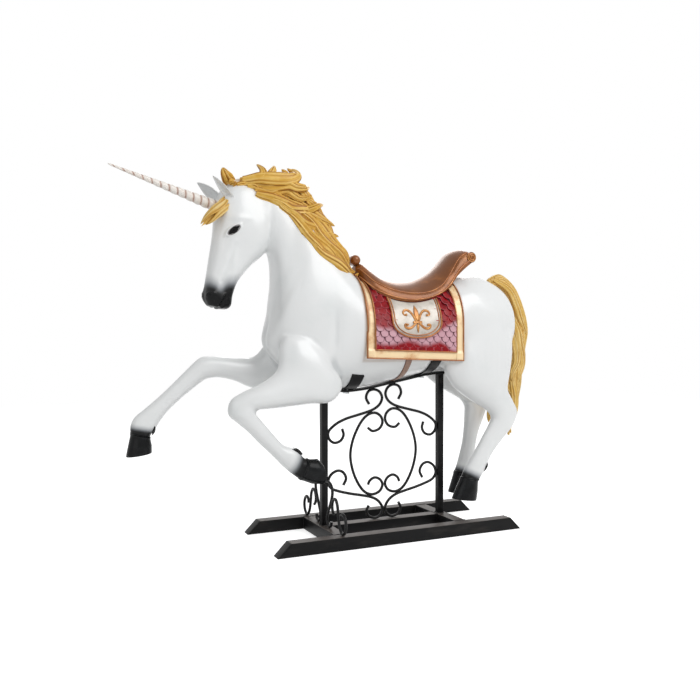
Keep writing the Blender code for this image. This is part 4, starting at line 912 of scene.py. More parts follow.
def table_of(items: Sequence, key: str, columns: int, kind: type = np.float32) -> np.ndarray:
    """Reads one property of all points or edges as a table.

    Args:
        items: The points, edges, normals or attribute values of a mesh.
        key: Name of the property.
        columns: Numbers in each.
        kind: Kind of the numbers.

    Returns:
        A row for each item.
    """
    table = np.empty(len(items) * columns, kind)
    items.foreach_get(key, table)
    return table.reshape(-1, columns)


def make_piece(
    name: str,
    skin: Skin,
    finish: Finish,
    values: dict[str, np.ndarray] | None = None,
    sharp: float = 50.0,
) -> bpy.types.Object:
    """Makes an object from points and faces, with its faces outwards and its finish on.

    Args:
        name: The piece's name.
        skin: Points and faces.
        finish: Its finish.
        values: Attributes that the finish reads.
        sharp: Angle in degrees past which an edge stays crisp.

    Returns:
        The object, in the scene.
    """
    mesh = bpy.data.meshes.new(name)
    mesh.from_pydata(skin[0].tolist(), [], skin[1])
    for key, table in (values or {}).items():
        keep_values(mesh, key, table)
    with edited(mesh) as bm:
        bmesh.ops.remove_doubles(bm, verts=bm.verts, dist=WELD_DISTANCE)
        bmesh.ops.recalc_face_normals(bm, faces=bm.faces)
    return dress(new_object(name, mesh), finish, sharp)


def dress(obj: bpy.types.Object, finish: Finish, sharp: float = 50.0) -> bpy.types.Object:
    """Puts a finish on a piece and shades it smooth up to an angle.

    Args:
        obj: The piece.
        finish: Its finish.
        sharp: Angle in degrees past which an edge stays crisp.

    Returns:
        The same piece.
    """
    obj.data.materials.clear()
    obj.data.materials.append(FINISHES.get(finish))
    obj.data.shade_smooth()
    obj.data.set_sharp_from_angle(angle=math.radians(sharp))
    return obj


def fix(piece: bpy.types.Object, slot: Slot, *nodes: str) -> bpy.types.Object:
    """Ties a finished piece to the frame and reports it.

    Args:
        piece: The piece.
        slot: The record's material slot that the piece matches; not used.
        *nodes: Nodes that it stands for.

    Returns:
        The same piece.
    """
    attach(piece, ROOT)
    if nodes:
        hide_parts(*nodes)
    LOG.info("%s: %d faces, for %s", piece.name, len(piece.data.polygons), ", ".join(nodes) or "no node")
    return piece


def evaluated_mesh(obj: bpy.types.Object, name: str) -> bpy.types.Object:
    """Replaces an object by a plain copy of its evaluated mesh.

    Args:
        obj: Object with modifiers.
        name: Name of the copy.

    Returns:
        The plain copy.
    """
    mesh = bpy.data.meshes.new_from_object(obj.evaluated_get(bpy.context.evaluated_depsgraph_get()))
    bpy.data.objects.remove(obj)
    mesh.name = name
    return new_object(name, mesh)


def point_base(name: str, paths: Sequence[np.ndarray]) -> bpy.types.Object:
    """Makes an object of bare edges, one chain for each path.

    Args:
        name: Name of the object.
        paths: Points of each chain.

    Returns:
        The object that a tree works on.
    """
    mesh = bpy.data.meshes.new(name)
    edges = []
    start = 0
    for path in paths:
        edges += [(start + k, start + k + 1) for k in range(len(path) - 1)]
        start += len(path)
    mesh.from_pydata(np.vstack(paths).tolist(), edges, [])
    return new_object(name, mesh)


class Grower:
    """Geometry Nodes trees for what repeats or follows a path."""

    def __init__(self) -> None:
        """Builds the three trees."""
        self.rod_tree = self.make_rod_tree()
        self.bead_tree = self.make_bead_tree()
        self.scale_tree = self.make_scale_tree()

    @staticmethod
    def start_tree(name: str, sizes: dict[str, float | str]) -> tuple[bpy.types.NodeTree, bpy.types.Node]:
        """Starts a tree with a geometry input, named sizes and the finish.

        Args:
            name: Name of the tree.
            sizes: Default of each named input, or the kind of one that has none.

        Returns:
            The tree and its input node.
        """
        tree = bpy.data.node_groups.new(name, "GeometryNodeTree")
        tree.interface.new_socket("Shape", in_out="INPUT", socket_type="NodeSocketGeometry")
        for title, default in {**sizes, "Finish": "Material"}.items():
            kind = default if isinstance(default, str) else "Int" if isinstance(default, int) else "Float"
            socket = tree.interface.new_socket(title, in_out="INPUT", socket_type=f"NodeSocket{kind}")
            if kind != default:
                socket.default_value = default
        tree.interface.new_socket("Shape", in_out="OUTPUT", socket_type="NodeSocketGeometry")
        return tree, add_node(tree, "NodeGroupInput")

    @staticmethod
    def end_tree(tree: bpy.types.NodeTree, start: bpy.types.Node, shape: Socket) -> bpy.types.NodeTree:
        """Ends a tree in real faces with the finish on.

        Args:
            tree: The tree.
            start: Its input node.
            shape: The shape so far.

        Returns:
            The finished tree.
        """
        real = add_node(tree, "GeometryNodeRealizeInstances", {"Geometry": shape})
        painted = add_node(
            tree, "GeometryNodeSetMaterial", {"Geometry": real.outputs[0], "Material": start.outputs["Finish"]}
        )
        add_node(tree, "NodeGroupOutput", {0: painted.outputs[0]})
        return tree

    def make_rod_tree(self) -> bpy.types.NodeTree:
        """Makes the tree that bends a round rod along chains of edges.

        Returns:
            The tree.
        """
        tree, start = self.start_tree("bent_rod", {"Radius": 0.005, "Sides": 16})
        path = add_node(tree, "GeometryNodeMeshToCurve", {"Mesh": start.outputs["Shape"]})
        ring = add_node(
            tree, "GeometryNodeCurvePrimitiveCircle",
            {"Resolution": start.outputs["Sides"], "Radius": start.outputs["Radius"]}, mode="RADIUS",
        )
        skin = add_node(
            tree, "GeometryNodeCurveToMesh",
            {"Curve": path.outputs[0], "Profile Curve": ring.outputs[0], "Fill Caps": True},
        )
        return self.end_tree(tree, start, skin.outputs[0])

    def make_bead_tree(self) -> bpy.types.NodeTree:
        """Makes the tree that lays overlapping weld ripples along chains of edges.

        Returns:
            The tree.
        """
        tree, start = self.start_tree("weld_bead", {"Pitch": 0.002, "Radius": 0.002, "Seed": 7})
        path = add_node(tree, "GeometryNodeMeshToCurve", {"Mesh": start.outputs["Shape"]})
        points = add_node(
            tree, "GeometryNodeCurveToPoints", {"Curve": path.outputs[0], "Length": start.outputs["Pitch"]},
            mode="LENGTH",
        )
        ball = add_node(tree, "GeometryNodeMeshIcoSphere", {"Radius": start.outputs["Radius"], "Subdivisions": 2})
        spread = add_node(
            tree, "FunctionNodeRandomValue",
            {2: 0.8, 3: 1.2, "Seed": start.outputs["Seed"]}, data_type="FLOAT",
        )
        ripples = add_node(
            tree, "GeometryNodeInstanceOnPoints",
            {"Points": points.outputs["Points"], "Instance": ball.outputs["Mesh"], "Scale": spread.outputs[1]},
        )
        return self.end_tree(tree, start, ripples.outputs[0])

    def make_scale_tree(self) -> bpy.types.NodeTree:
        """Makes the tree that lays one scale on each point, turned as the point says.

        Returns:
            The tree.
        """
        tree, start = self.start_tree("fish_scales", {"Scale": "Object", "Spread": 0.06, "Seed": 11})
        shape = add_node(tree, "GeometryNodeObjectInfo", {"Object": start.outputs["Scale"]})
        turn = add_node(tree, "GeometryNodeInputNamedAttribute", {"Name": "turn"}, data_type="FLOAT_VECTOR")
        low = add_node(tree, "ShaderNodeMath", {0: 1.0, 1: start.outputs["Spread"]}, operation="SUBTRACT")
        size = add_node(
            tree, "FunctionNodeRandomValue", {2: low.outputs[0], 3: 1.0, "Seed": start.outputs["Seed"]},
            data_type="FLOAT",
        )
        turned_by = add_node(tree, "FunctionNodeEulerToRotation", {0: turn.outputs[0]})
        points = add_node(tree, "GeometryNodeMeshToPoints", {"Mesh": start.outputs["Shape"]})
        laid = add_node(
            tree, "GeometryNodeInstanceOnPoints",
            {
                "Points": points.outputs[0], "Instance": shape.outputs["Geometry"],
                "Rotation": turned_by.outputs[0], "Scale": size.outputs[1],
            },
        )
        return self.end_tree(tree, start, laid.outputs[0])

    @staticmethod
    def grow(
        tree: bpy.types.NodeTree, base: bpy.types.Object, name: str, finish: Finish, sizes: dict[str, object]
    ) -> bpy.types.Object:
        """Runs a tree on a base shape and keeps the result as a plain mesh.

        Args:
            tree: The tree.
            base: The object it works on, used up.
            name: Name of the result.
            finish: Finish of the result.
            sizes: Values of the tree's named inputs.

        Returns:
            The new piece.
        """
        modifier = base.modifiers.new(tree.name, "NODES")
        modifier.node_group = tree
        values = {**sizes, "Finish": FINISHES.get(finish)}
        for item in tree.interface.items_tree:
            if item.item_type == "SOCKET" and item.in_out == "INPUT" and item.name in values:
                modifier[item.identifier] = values[item.name]
        return dress(evaluated_mesh(base, name), finish)

    def rods(
        self, name: str, paths: Sequence[np.ndarray], radius: float, finish: Finish, sides: int = 16
    ) -> bpy.types.Object:
        """Bends round rods along paths."""
        sizes = {"Radius": radius, "Sides": sides}
        return self.grow(self.rod_tree, point_base(name + "_path", paths), name, finish, sizes)


class Barrel:
    """The upright part of the body that the tack is fitted to."""

    def __init__(self) -> None:
        """Draws the barrel's dense outline."""
        self.dense = smooth_rows(station_rows(TORSO), 16)
        self.grown: dict[float, np.ndarray] = {}

    def row(self, x: float, grow: float = 0.0) -> np.ndarray:
        """Gives the outline at a distance x.

        Args:
            x: Place along the body.
            grow: Distance added all round.

        Returns:
            A row as station_rows gives it.
        """
        if grow not in self.grown:
            dense = smooth_rows(station_rows(TORSO, grow), 16)
            self.grown[grow] = dense[BARREL_STATIONS.start * 16 : (BARREL_STATIONS.stop - 1) * 16 + 1][::-1]
        part = self.grown[grow]
        return np.array([np.interp(x, part[:, 0], part[:, k]) for k in range(part.shape[1])])

    def belly_z(self, x: float) -> float:
        """Gives the height of the body's lowest line."""
        part = self.dense[::-1]
        return float(np.interp(x, part[:, 2], part[:, 3]))

    def top_z(self, x: float, y: float, grow: float) -> float:
        """Gives the height of the back at a place.

        Args:
            x: Place along the body.
            y: Place across it.
            grow: Distance above the skin.

        Returns:
            The height.
        """
        _, az, _, bz, half, _, power = self.row(x, grow)
        share = min(1.0, abs(y) / half)
        return (az + bz) / 2 + (az - bz) / 2 * (1 - share**power) ** (1 / power)

    def side_y(self, x: float, z: float, grow: float) -> float:
        """Gives how far out the cloth lies at a height: it hangs straight below the widest place.

        Args:
            x: Place along the body.
            z: Height.
            grow: Distance above the skin.

        Returns:
            The distance from the middle.
        """
        _, az, _, bz, half, _, power = self.row(x, grow)
        share = min(1.0, max(0.0, (z - (az + bz) / 2) / ((az - bz) / 2)))
        return half * (1 - share**power) ** (1 / power)

    def bar_top(self, x: float) -> float:
        """Gives the height of the belly bar's upper face."""
        return self.belly_z(x) - SKIN_GAP - BAND_HEIGHT - AIR


BODY = Barrel()


@dataclass
class FigureSkin:
    """The one white skin of body, neck, head and legs, with its muscles, face, airbrushed paint, and painted shade in
    its hollows.

    Attributes:
        voxel: Size of the cells that the skin is melted in.
        fillet: How far the melting reaches where two forms meet.
        head_low: Height below which the head's skin isn't made finer.
        fillet_rounds: Rounds of smoothing where two forms meet.
        smooth_rounds: Rounds of smoothing all over.
        hollow_rounds: Rounds that blur the shading of the hollows.
        full_hollow: Depth between neighbours that takes the full shading.
        mane_reach: Distance from the mane at which its shade ends.
        tack_reach: Distance from the tack at which its shade ends.
        black_drop: How far below a hind fetlock the airbrushing begins, as a share of the pastern.
        black_rate: How soon the airbrushing turns black.
        leg_reach: Greatest distance of a leg's skin from its middle line.
    """

    voxel: float = 0.0062
    fillet: float = 0.030
    head_low: float = 0.86
    fillet_rounds: int = 26
    smooth_rounds: int = 12
    hollow_rounds: int = 14
    full_hollow: float = 0.00022
    mane_reach: float = 0.05
    tack_reach: float = 0.016
    black_drop: float = 0.62
    black_rate: float = 2.0
    leg_reach: float = 0.075

    @staticmethod
    def form(stations: Sequence[Station], steps: int, count: int, matrix: Matrix | None = None) -> Skin:
        """Lofts one form.

        Args:
            stations: Its stations.
            steps: Rings between two stations.
            count: Points in a ring.
            matrix: A turn, if any.

        Returns:
            Points and faces.
        """
        angles = math.tau * np.arange(count) / count
        rings = [section_points(row, angles) for row in smooth_rows(station_rows(stations), steps)]
        points, faces = tube_skin(rings)
        return (turned(points, matrix) if matrix else points), faces

    def forms(self) -> list[Skin]:
        """Lofts the body, the head and the four legs down to their coronets."""
        made = [self.form(TORSO, 8, 64), self.form(HEAD, 8, 56, head_matrix())]
        return made + [self.form(stations[:-2], 6, 36) for _, stations in LEGS]

    def melt(self, forms: Sequence[Skin]) -> bpy.types.Object:
        """Melts the forms into one closed skin.

        Args:
            forms: Points and faces of each form.

        Returns:
            The rough skin.
        """
        rough = make_piece("rough_skin", joined(forms), FINISHES.gelcoat)
        cells = rough.modifiers.new("melt", "REMESH")
        cells.mode = "VOXEL"
        cells.voxel_size = self.voxel
        return evaluated_mesh(rough, "body_skin")

    @staticmethod
    def edges_of(mesh: bpy.types.Mesh) -> np.ndarray:
        """Reads a mesh's edges as a table of point numbers."""
        return table_of(mesh.edges, "vertices", 2, np.int32)

    @staticmethod
    def points_of(mesh: bpy.types.Mesh) -> np.ndarray:
        """Reads a mesh's points."""
        return table_of(mesh.vertices, "co", 3).astype(float)

    @staticmethod
    def normals_of(mesh: bpy.types.Mesh) -> np.ndarray:
        """Reads the normals at a mesh's points."""
        return table_of(mesh.vertex_normals, "vector", 3).astype(float)

    @staticmethod
    def place_points(mesh: bpy.types.Mesh, points: np.ndarray) -> None:
        """Moves a mesh's points to new places."""
        mesh.vertices.foreach_set("co", points.astype(np.float32).ravel())
        mesh.update()

    @staticmethod
    def drift(points: np.ndarray, edges: np.ndarray) -> np.ndarray:
        """Finds how far each point lies from the mean of its neighbours.

        Args:
            points: The points, or any table with a row for each.
            edges: Pairs of neighbours.

        Returns:
            The difference for each point.
        """
        size = len(points)
        a, b = edges[:, 0], edges[:, 1]
        count = np.bincount(a, minlength=size) + np.bincount(b, minlength=size)
        total = np.stack([
            np.bincount(a, points[b, k], size) + np.bincount(b, points[a, k], size) for k in range(points.shape[1])
        ], 1)
        return total / np.maximum(count, 1)[:, None] - points

    def relax(self, points: np.ndarray, edges: np.ndarray, weight: np.ndarray, rounds: int, keep: bool) -> np.ndarray:
        """Smooths points by their neighbours.

        Args:
            points: The points.
            edges: Pairs of neighbours.
            weight: How far each point takes part.
            rounds: Number of rounds.
            keep: Whether each round is paid back, so that nothing shrinks.

        Returns:
            The smoothed points.
        """
        for _ in range(rounds):
            points = points + 0.5 * weight[:, None] * self.drift(points, edges)
            if keep:
                points = points - 0.52 * weight[:, None] * self.drift(points, edges)
        return points

    def meeting(self, points: np.ndarray, forms: Sequence[Skin]) -> np.ndarray:
        """Finds where two forms meet.

        Args:
            points: Points of the skin.
            forms: The forms it was melted from.

        Returns:
            A weight from 0 to 1 for each point.
        """
        near = np.full((len(forms), len(points)), 1.0)
        for k, (corners, faces) in enumerate(forms):
            tree = BVHTree.FromPolygons(corners.tolist(), faces)
            low, high = corners.min(0) - self.fillet, corners.max(0) + self.fillet
            inside = np.flatnonzero(((points > low) & (points < high)).all(1))
            for index in inside:
                distance = tree.find_nearest(points[index], self.fillet)[3]
                if distance is not None:
                    near[k, index] = distance
        second = np.sort(near, axis=0)[1]
        return np.clip(1.25 - second / self.fillet, 0.0, 1.0)

    @staticmethod
    def split_faces(mesh: bpy.types.Mesh, chosen: Callable[[Vector], bool]) -> None:
        """Halves the faces of one region.

        Args:
            mesh: The mesh, changed in place.
            chosen: Tells whether a point is in the region.
        """
        with edited(mesh) as bm:
            edges = [e for e in bm.edges if chosen(e.verts[0].co) and chosen(e.verts[1].co)]
            bmesh.ops.subdivide_edges(bm, edges=edges, cuts=1, use_grid_fill=True)

    @staticmethod
    def lumps(places: np.ndarray, forms: Sequence[Sequence[float]]) -> np.ndarray:
        """Adds up soft bumps and hollows, the same on both sides.

        Args:
            places: Points in the frame of the forms.
            forms: Place, radii and height of each.

        Returns:
            The height at each point.
        """
        height = np.zeros(len(places))
        for x, y, z, rx, ry, rz, amount in forms:
            spot = ((places[:, 0] - x) / rx) ** 2 + ((places[:, 2] - z) / rz) ** 2
            spot = spot + ((np.abs(places[:, 1]) - y) / ry) ** 2
            height += amount * np.exp(-spot)
        return height

    @staticmethod
    def line_distance(places: np.ndarray, line: Sequence[tuple[float, float]]) -> np.ndarray:
        """Measures how far points lie from a bent line, seen from the side.

        Args:
            places: The points.
            line: Its corners' x and z.

        Returns:
            The distances.
        """
        best = np.full(len(places), 1.0)
        flat = places[:, [0, 2]]
        for a, b in zip(np.array(line)[:-1], np.array(line)[1:]):
            share = np.clip(((flat - a) @ (b - a)) / ((b - a) @ (b - a)), 0, 1)
            best = np.minimum(best, np.linalg.norm(flat - a - share[:, None] * (b - a), axis=1))
        return best

    @staticmethod
    def eye_share(places: np.ndarray) -> np.ndarray:
        """Measures places against the almond outline of the eye.

        Args:
            places: Points before the head is turned.

        Returns:
            A distance for each, where 1 is the eye's rim.
        """
        dx, dz = places[:, 0] - EYE_MIDDLE[0], places[:, 2] - EYE_MIDDLE[1]
        along = dx * math.cos(EYE_TILT) + dz * math.sin(EYE_TILT)
        across = dz * math.cos(EYE_TILT) - dx * math.sin(EYE_TILT)
        return np.sqrt((along / EYE_HALF_LENGTH) ** 2 + (across / EYE_HALF_HEIGHT) ** 2)

    @staticmethod
    def bell(distance: np.ndarray, width: float, power: int = 2) -> np.ndarray:
        """Gives a soft bump over a distance: 1 in its middle, falling away past its width."""
        return np.exp(-((distance / width) ** power))

    def face_height(self, local: np.ndarray) -> np.ndarray:
        """Shapes the face: brow, cheek, nostrils, mouth and lids.

        Args:
            local: Points before the head is turned.

        Returns:
            The height at each point.
        """
        height = self.lumps(local, HEAD_FORMS)
        side = np.abs(local[:, 1])
        # A cut mouth with a raised lip, and a shallow line down the side of the nose
        mouth = self.line_distance(local, MOUTH_LINE)
        height -= 0.0050 * self.bell(mouth, 0.0045)
        height += 0.0015 * self.bell(mouth - 0.010, 0.006)
        height -= 0.0024 * self.bell(self.line_distance(local, FACE_LINE), 0.010) * (side > 0.02)
        # A slanted nostril with a soft rim
        x, y, z = NOSTRIL
        back, up = local[:, 0] - x, local[:, 2] - z
        hole = np.sqrt(((back + 0.6 * up) / 0.0125) ** 2 + ((up - 0.6 * back) / 0.0065) ** 2)
        hole = np.sqrt(hole**2 + ((side - y) / 0.022) ** 2)
        height += 0.0014 * self.bell(hole - 1.35, 0.35) - 0.007 * self.bell(hole, 0.85, 4)
        # The eye's bed, the lids round it and a second fold over the upper lid
        eye = self.eye_share(local)
        on_side = side > FACE_SIDE_Y
        height += on_side * (0.0042 * self.bell(eye - 1.22, 0.22) - 0.0020 * self.bell(eye, 0.9, 4))
        dx, dz = local[:, 0] - EYE_MIDDLE[0], local[:, 2] - EYE_MIDDLE[1]
        upper = dz * math.cos(EYE_TILT) - dx * math.sin(EYE_TILT)
        height += on_side * (upper > 0) * 0.0020 * self.bell(eye - 1.5, 0.25)
        return height

    def hoof_black(self, points: np.ndarray) -> np.ndarray:
        """Finds how black the airbrush leaves each leg above its hoof.

        Args:
            points: Points of the skin.

        Returns:
            A share from 0 to 1 for each point.
        """
        black = np.zeros(len(points))
        for _, stations in LEGS:
            middles = station_rows(stations)
            middles = np.stack([middles[:, [0, 2]].mean(1), middles[:, 5], middles[:, [1, 3]].mean(1)], 1)
            foot, ankle = middles[-2], middles[-5]
            drop = self.black_drop if middles[0][0] > 0 else 0.0
            low = ankle + (middles[-4] - ankle) * drop
            line = foot - low
            share = ((points - low) @ line) / (line @ line)
            off = np.linalg.norm(points - low - share[:, None] * line, axis=1)
            near = (off < self.leg_reach) * (share < 1.6)
            black = np.maximum(black, np.clip(share * self.black_rate, 0, 1) * near)
        return black

    def build(self) -> bpy.types.Object:
        """Makes the skin.

        Returns:
            The finished piece.
        """
        forms = self.forms()
        skin = self.melt(forms)
        mesh = skin.data
        points, edges = self.points_of(mesh), self.edges_of(mesh)
        points = self.relax(points, edges, self.meeting(points, forms), self.fillet_rounds, keep=False)
        points = self.relax(points, edges, np.ones(len(points)), self.smooth_rounds, keep=True)
        self.place_points(mesh, points)
        back = head_matrix().inverted()
        self.split_faces(mesh, lambda p: (back @ p).x < -0.49 + 0.25 * (p.z - 1.1) and p.z > self.head_low)
        self.split_faces(mesh, self.is_fine)
        points, edges = self.points_of(mesh), self.edges_of(mesh)
        head = turned(points, back)
        on_head = np.clip((-0.50 - head[:, 0]) / 0.03, 0, 1) * (points[:, 2] > self.head_low)
        points = self.relax(points, edges, on_head, 3, keep=True)
        self.place_points(mesh, points)
        normals = self.normals_of(mesh)
        height = self.lumps(points, MUSCLES) * (1 - on_head) + self.face_height(head) * on_head
        mean = self.relax(height[:, None], edges, np.ones(len(points)), 1, keep=False)[:, 0]
        points = points + normals * mean[:, None]
        self.place_points(mesh, points)
        self.paint(mesh, points, head, on_head)
        return fix(
            dress(skin, FINISHES.gelcoat, 180), Slot.WHITE, "torso_shell", "head_shell", "left_foreleg",
            "right_foreleg", "left_hindleg", "right_hindleg",
        )

    @staticmethod
    def is_fine(p: Vector) -> bool:
        """Tells whether a point lies at the muzzle or an eye, where the skin is finest.

        Args:
            p: The point.

        Returns:
            Whether it does.
        """
        local = head_matrix().inverted() @ p
        at_muzzle = local.z < 0.965 and local.x < -0.64 and local.z > 0.85
        at_eye = abs(local.x - EYE_MIDDLE[0]) < 0.045 and abs(local.z - EYE_MIDDLE[1]) < 0.042
        return at_muzzle or (at_eye and abs(local.y) > FACE_SIDE_Y)

    def paint(self, mesh: bpy.types.Mesh, points: np.ndarray, head: np.ndarray, on_head: np.ndarray) -> None:
        """Stores where the airbrush went, and where shade is painted into the hollows.

        Args:
            mesh: The skin.
            points: Its points.
            head: The same points before the head is turned.
            on_head: Which points are the head's.
        """
        dip = 0.022 * self.bell(head[:, 0] + 0.703, 0.020)
        lip = np.clip((1.030 - dip - head[:, 2]) / 0.082, 0, 1)
        keep_values(mesh, "soft_black", np.maximum(self.hoof_black(points), lip * (on_head > 0.5)))
        eye = self.eye_share(head)
        on_side = (on_head > 0.5) * (np.abs(head[:, 1]) > FACE_SIDE_Y)
        keep_values(mesh, "lid_shade", self.bell(eye - 1.0, 0.16) * on_side)
        shade = np.zeros(len(points))
        corners, faces = self.form(MANE, 4, 24)
        hair = BVHTree.FromPolygons(corners.tolist(), faces)
        for index in np.flatnonzero((points[:, 2] > 0.98) & (points[:, 0] < -0.08)):
            distance = hair.find_nearest(points[index], self.mane_reach)[3]
            if distance is not None:
                shade[index] = 1 - distance / self.mane_reach
        keep_values(mesh, "mane_shade", shade**2)
        beside = np.maximum(BLANKET_FRONT_X - points[:, 0], points[:, 0] - BLANKET_REAR_X)
        beside = np.maximum(beside, 0.70 - points[:, 2])
        on_barrel = (points[:, 0] > -0.25) & (points[:, 0] < 0.36) & (points[:, 2] > 0.66)
        keep_values(mesh, "tack_shade", np.clip(1 - np.abs(beside) / self.tack_reach, 0, 1) * on_barrel)
        # Painted shade: cool grey painted where the skin bends inwards, in creases and hollows
        edges = self.edges_of(mesh)
        normals = self.normals_of(mesh)
        bend = (self.drift(points, edges) * normals).sum(1)
        bend = self.relax(bend[:, None], edges, np.ones(len(points)), self.hollow_rounds, keep=False)[:, 0]
        keep_values(mesh, "hollow_shade", np.clip(bend / self.full_hollow, 0, 1))


@dataclass
class Hooves:
    """Four hooves with coronet ridges, and the dark tufts behind the fetlocks.

    Attributes:
        sides: Points round a hoof.
        ridge: Height of the two coronet ridges.
        tuft_length: Length of the longest tuft lock.
        tuft_locks: How far aside, how long and how low each lock of a tuft is.
    """

    sides: int = 48
    ridge: float = 0.0032
    tuft_length: float = 0.055
    tuft_locks: tuple[tuple[float, float, float], ...] = (
        (0.0, 1.0, 0.0), (-0.8, 0.75, 0.1), (0.8, 0.75, 0.1), (-1.5, 0.5, 0.2), (1.5, 0.5, 0.2),
    )

    def hoof(self, stations: Sequence[Station]) -> Skin:
        """Shapes one hoof.

        Args:
            stations: The leg's stations; the last two are the hoof's.

        Returns:
            Points and faces.
        """
        angles = math.tau * np.arange(self.sides) / self.sides
        top, coronet, wall, sole = station_rows(stations)[-4:]
        profile = [
            (0.62, -0.004), (0.70, 0.0012), (0.80, self.ridge), (0.90, 0.0016), (0.97, self.ridge), (1.06, 0.0018),
            (1.2, 0.0010), (1.6, 0.0008), (2.0, 0.0006), (2.3, 0.0004), (2.6, 0.0003), (2.85, 0.0),
            (2.97, -0.0004), (3.0, -0.0018),
        ]
        rings = []
        for place, grow in profile:
            first, second = ((top, coronet), (coronet, wall), (wall, sole))[min(2, int(place))]
            share = place - min(2, int(place))
            row = first + (second - first) * share
            ring = section_points(row, angles)
            middle = ring.mean(0)
            out = ring - middle
            rings.append(ring + out / np.linalg.norm(out, axis=1)[:, None] * grow)
        last, middle = rings[-1], rings[-1].mean(0)
        inward = unit(station_middle(coronet) - station_middle(sole))
        for shrink, rise in ((0.88, 0.0), (0.84, 0.0035), (0.3, 0.006)):
            rings.append(middle + (last - middle) * shrink + inward * rise)
        return tube_skin(rings)

    def tuft(self, stations: Sequence[Station]) -> list[Lock]:
        """Makes the hair behind one fetlock.

        Args:
            stations: The leg's stations.

        Returns:
            Points, faces and groove values of each lock.
        """
        rows = station_rows(stations)
        ankle, above, foot = rows[-5], rows[-6], rows[-2]
        back = np.array([ankle[2], ankle[5], ankle[3]])
        front = np.array([ankle[0], ankle[5], ankle[1]])
        outward = unit(back - front)
        down = unit(station_middle(foot) - station_middle(above))
        pastern = np.array([rows[-4][2], rows[-4][5], rows[-4][3]]) - back
        across = np.cross(outward, down)
        locks = []
        for spread, length, start in self.tuft_locks:
            reach = self.tuft_length * length
            root = back + across * spread * 0.010 - outward * (0.006 + 0.004 * abs(spread))
            root = root - down * (0.020 - 0.01 * start)
            path = smooth_rows(
                [
                    root, root + down * reach * 0.3 + pastern * 0.15 + outward * 0.006,
                    root + down * reach * 0.4 + pastern * 0.45 + outward * 0.009,
                    root + down * reach * 0.45 + pastern * 0.75 + outward * 0.010,
                ], 5,
            )
            lift = np.tile(outward, (len(path), 1))
            locks.append(lock_skin(path, lift, 0.009, 0.0045, 3, 0.35))
        return locks

    def build(self) -> None:
        """Makes the hooves and tufts."""
        for name, stations in LEGS:
            fix(make_piece(name + "_hoof", self.hoof(stations), FINISHES.hoof, sharp=55), Slot.BLACK)
            locks = self.tuft(stations)
            skin = joined([(points, faces) for points, faces, _, _ in locks])
            fix(make_piece(name + "_tuft", skin, FINISHES.hoof), Slot.BLACK)


def station_middle(row: np.ndarray) -> np.ndarray:
    """Gives the middle of a station's outline."""
    return np.array([(row[0] + row[2]) / 2, row[5], (row[1] + row[3]) / 2])


def unit(direction: np.ndarray) -> np.ndarray:
    """Brings a direction to a length of one."""
    return direction / np.linalg.norm(direction)


def lock_skin(
    path: np.ndarray, lift: np.ndarray, width: float, depth: float, grooves: int, root: float = 0.55, phase: float = 0.0
) -> Lock:
    """Shapes one grooved lock of hair along a path.

    Args:
        path: Points along its middle.
        lift: Outward direction at each point.
        width: Half its width at the widest.
        depth: Half its thickness.
        grooves: Number of grooves over its face.
        root: Its width at the root, as a share of the widest.
        phase: Turn of the grooves.

    Returns:
        Points, faces, how dark each point is painted (the wash in the grooves, and painted shade down the sides and
        underside), and how much painted highlight it takes on the crest.
    """
    tangent = np.gradient(path, axis=0)
    tangent /= np.linalg.norm(tangent, axis=1)[:, None]
    across = np.cross(tangent, lift)
    across /= np.maximum(np.linalg.norm(across, axis=1), 1e-9)[:, None]
    out = np.cross(across, tangent)
    share = np.linspace(0, 1, len(path))
    swell_share, taper_share, twist = 0.45, 0.50, 1.6
    swell = root + (1 - root) * np.sin(np.clip(share / swell_share, 0, 1) * math.pi / 2)
    taper = np.clip((1 - share) / taper_share, 0, 1) ** 0.6
    half = width * swell * taper + 0.0004
    thick = depth * swell * taper**0.8 + 0.0003
    angles = math.tau * np.arange(LOCK_SIDES) / LOCK_SIDES
    cosine, sine = np.cos(angles), np.sin(angles)
    face = np.clip(sine + 0.25, 0, 1)
    # Painted shade: the lock's two sides, where it meets its neighbours, are painted darker
    dark = 0.6 * np.abs(cosine) ** 6
    rings, groove, crest = [], [], []
    for k in range(len(path)):
        wave = np.cos(grooves * math.pi * cosine + phase + twist * share[k])
        hollow = 0.5 - 0.5 * wave
        rise = thick[k] * sine * (1 - 0.30 * hollow * face) * (1 - 0.12 * (1 - wave) * face)
        rings.append(path[k] + across[k] * (half[k] * cosine)[:, None] + out[k] * rise[:, None])
        # The groove value: wash in the grooves, and painted shade down the sides and under the lock
        groove.append(np.clip(0.95 * hollow**2 * face + dark + 0.3 * (sine < -0.2), 0, 1.2))
        # Painted highlight on the ridges that face outwards
        crest.append(np.clip(1 - 1.3 * hollow, 0, 1) * np.clip(sine, 0, 1))
    points, faces = tube_skin(rings)
    return points, faces, np.concatenate(groove), np.concatenate(crest)


def surface_tree(piece: bpy.types.Object) -> BVHTree:
    """Makes a tree for finding places on a piece.

    Args:
        piece: The piece.

    Returns:
        The tree.
    """
    bm = bmesh.new()
    bm.from_mesh(piece.data)
    tree = BVHTree.FromBMesh(bm)
    bm.free()
    return tree


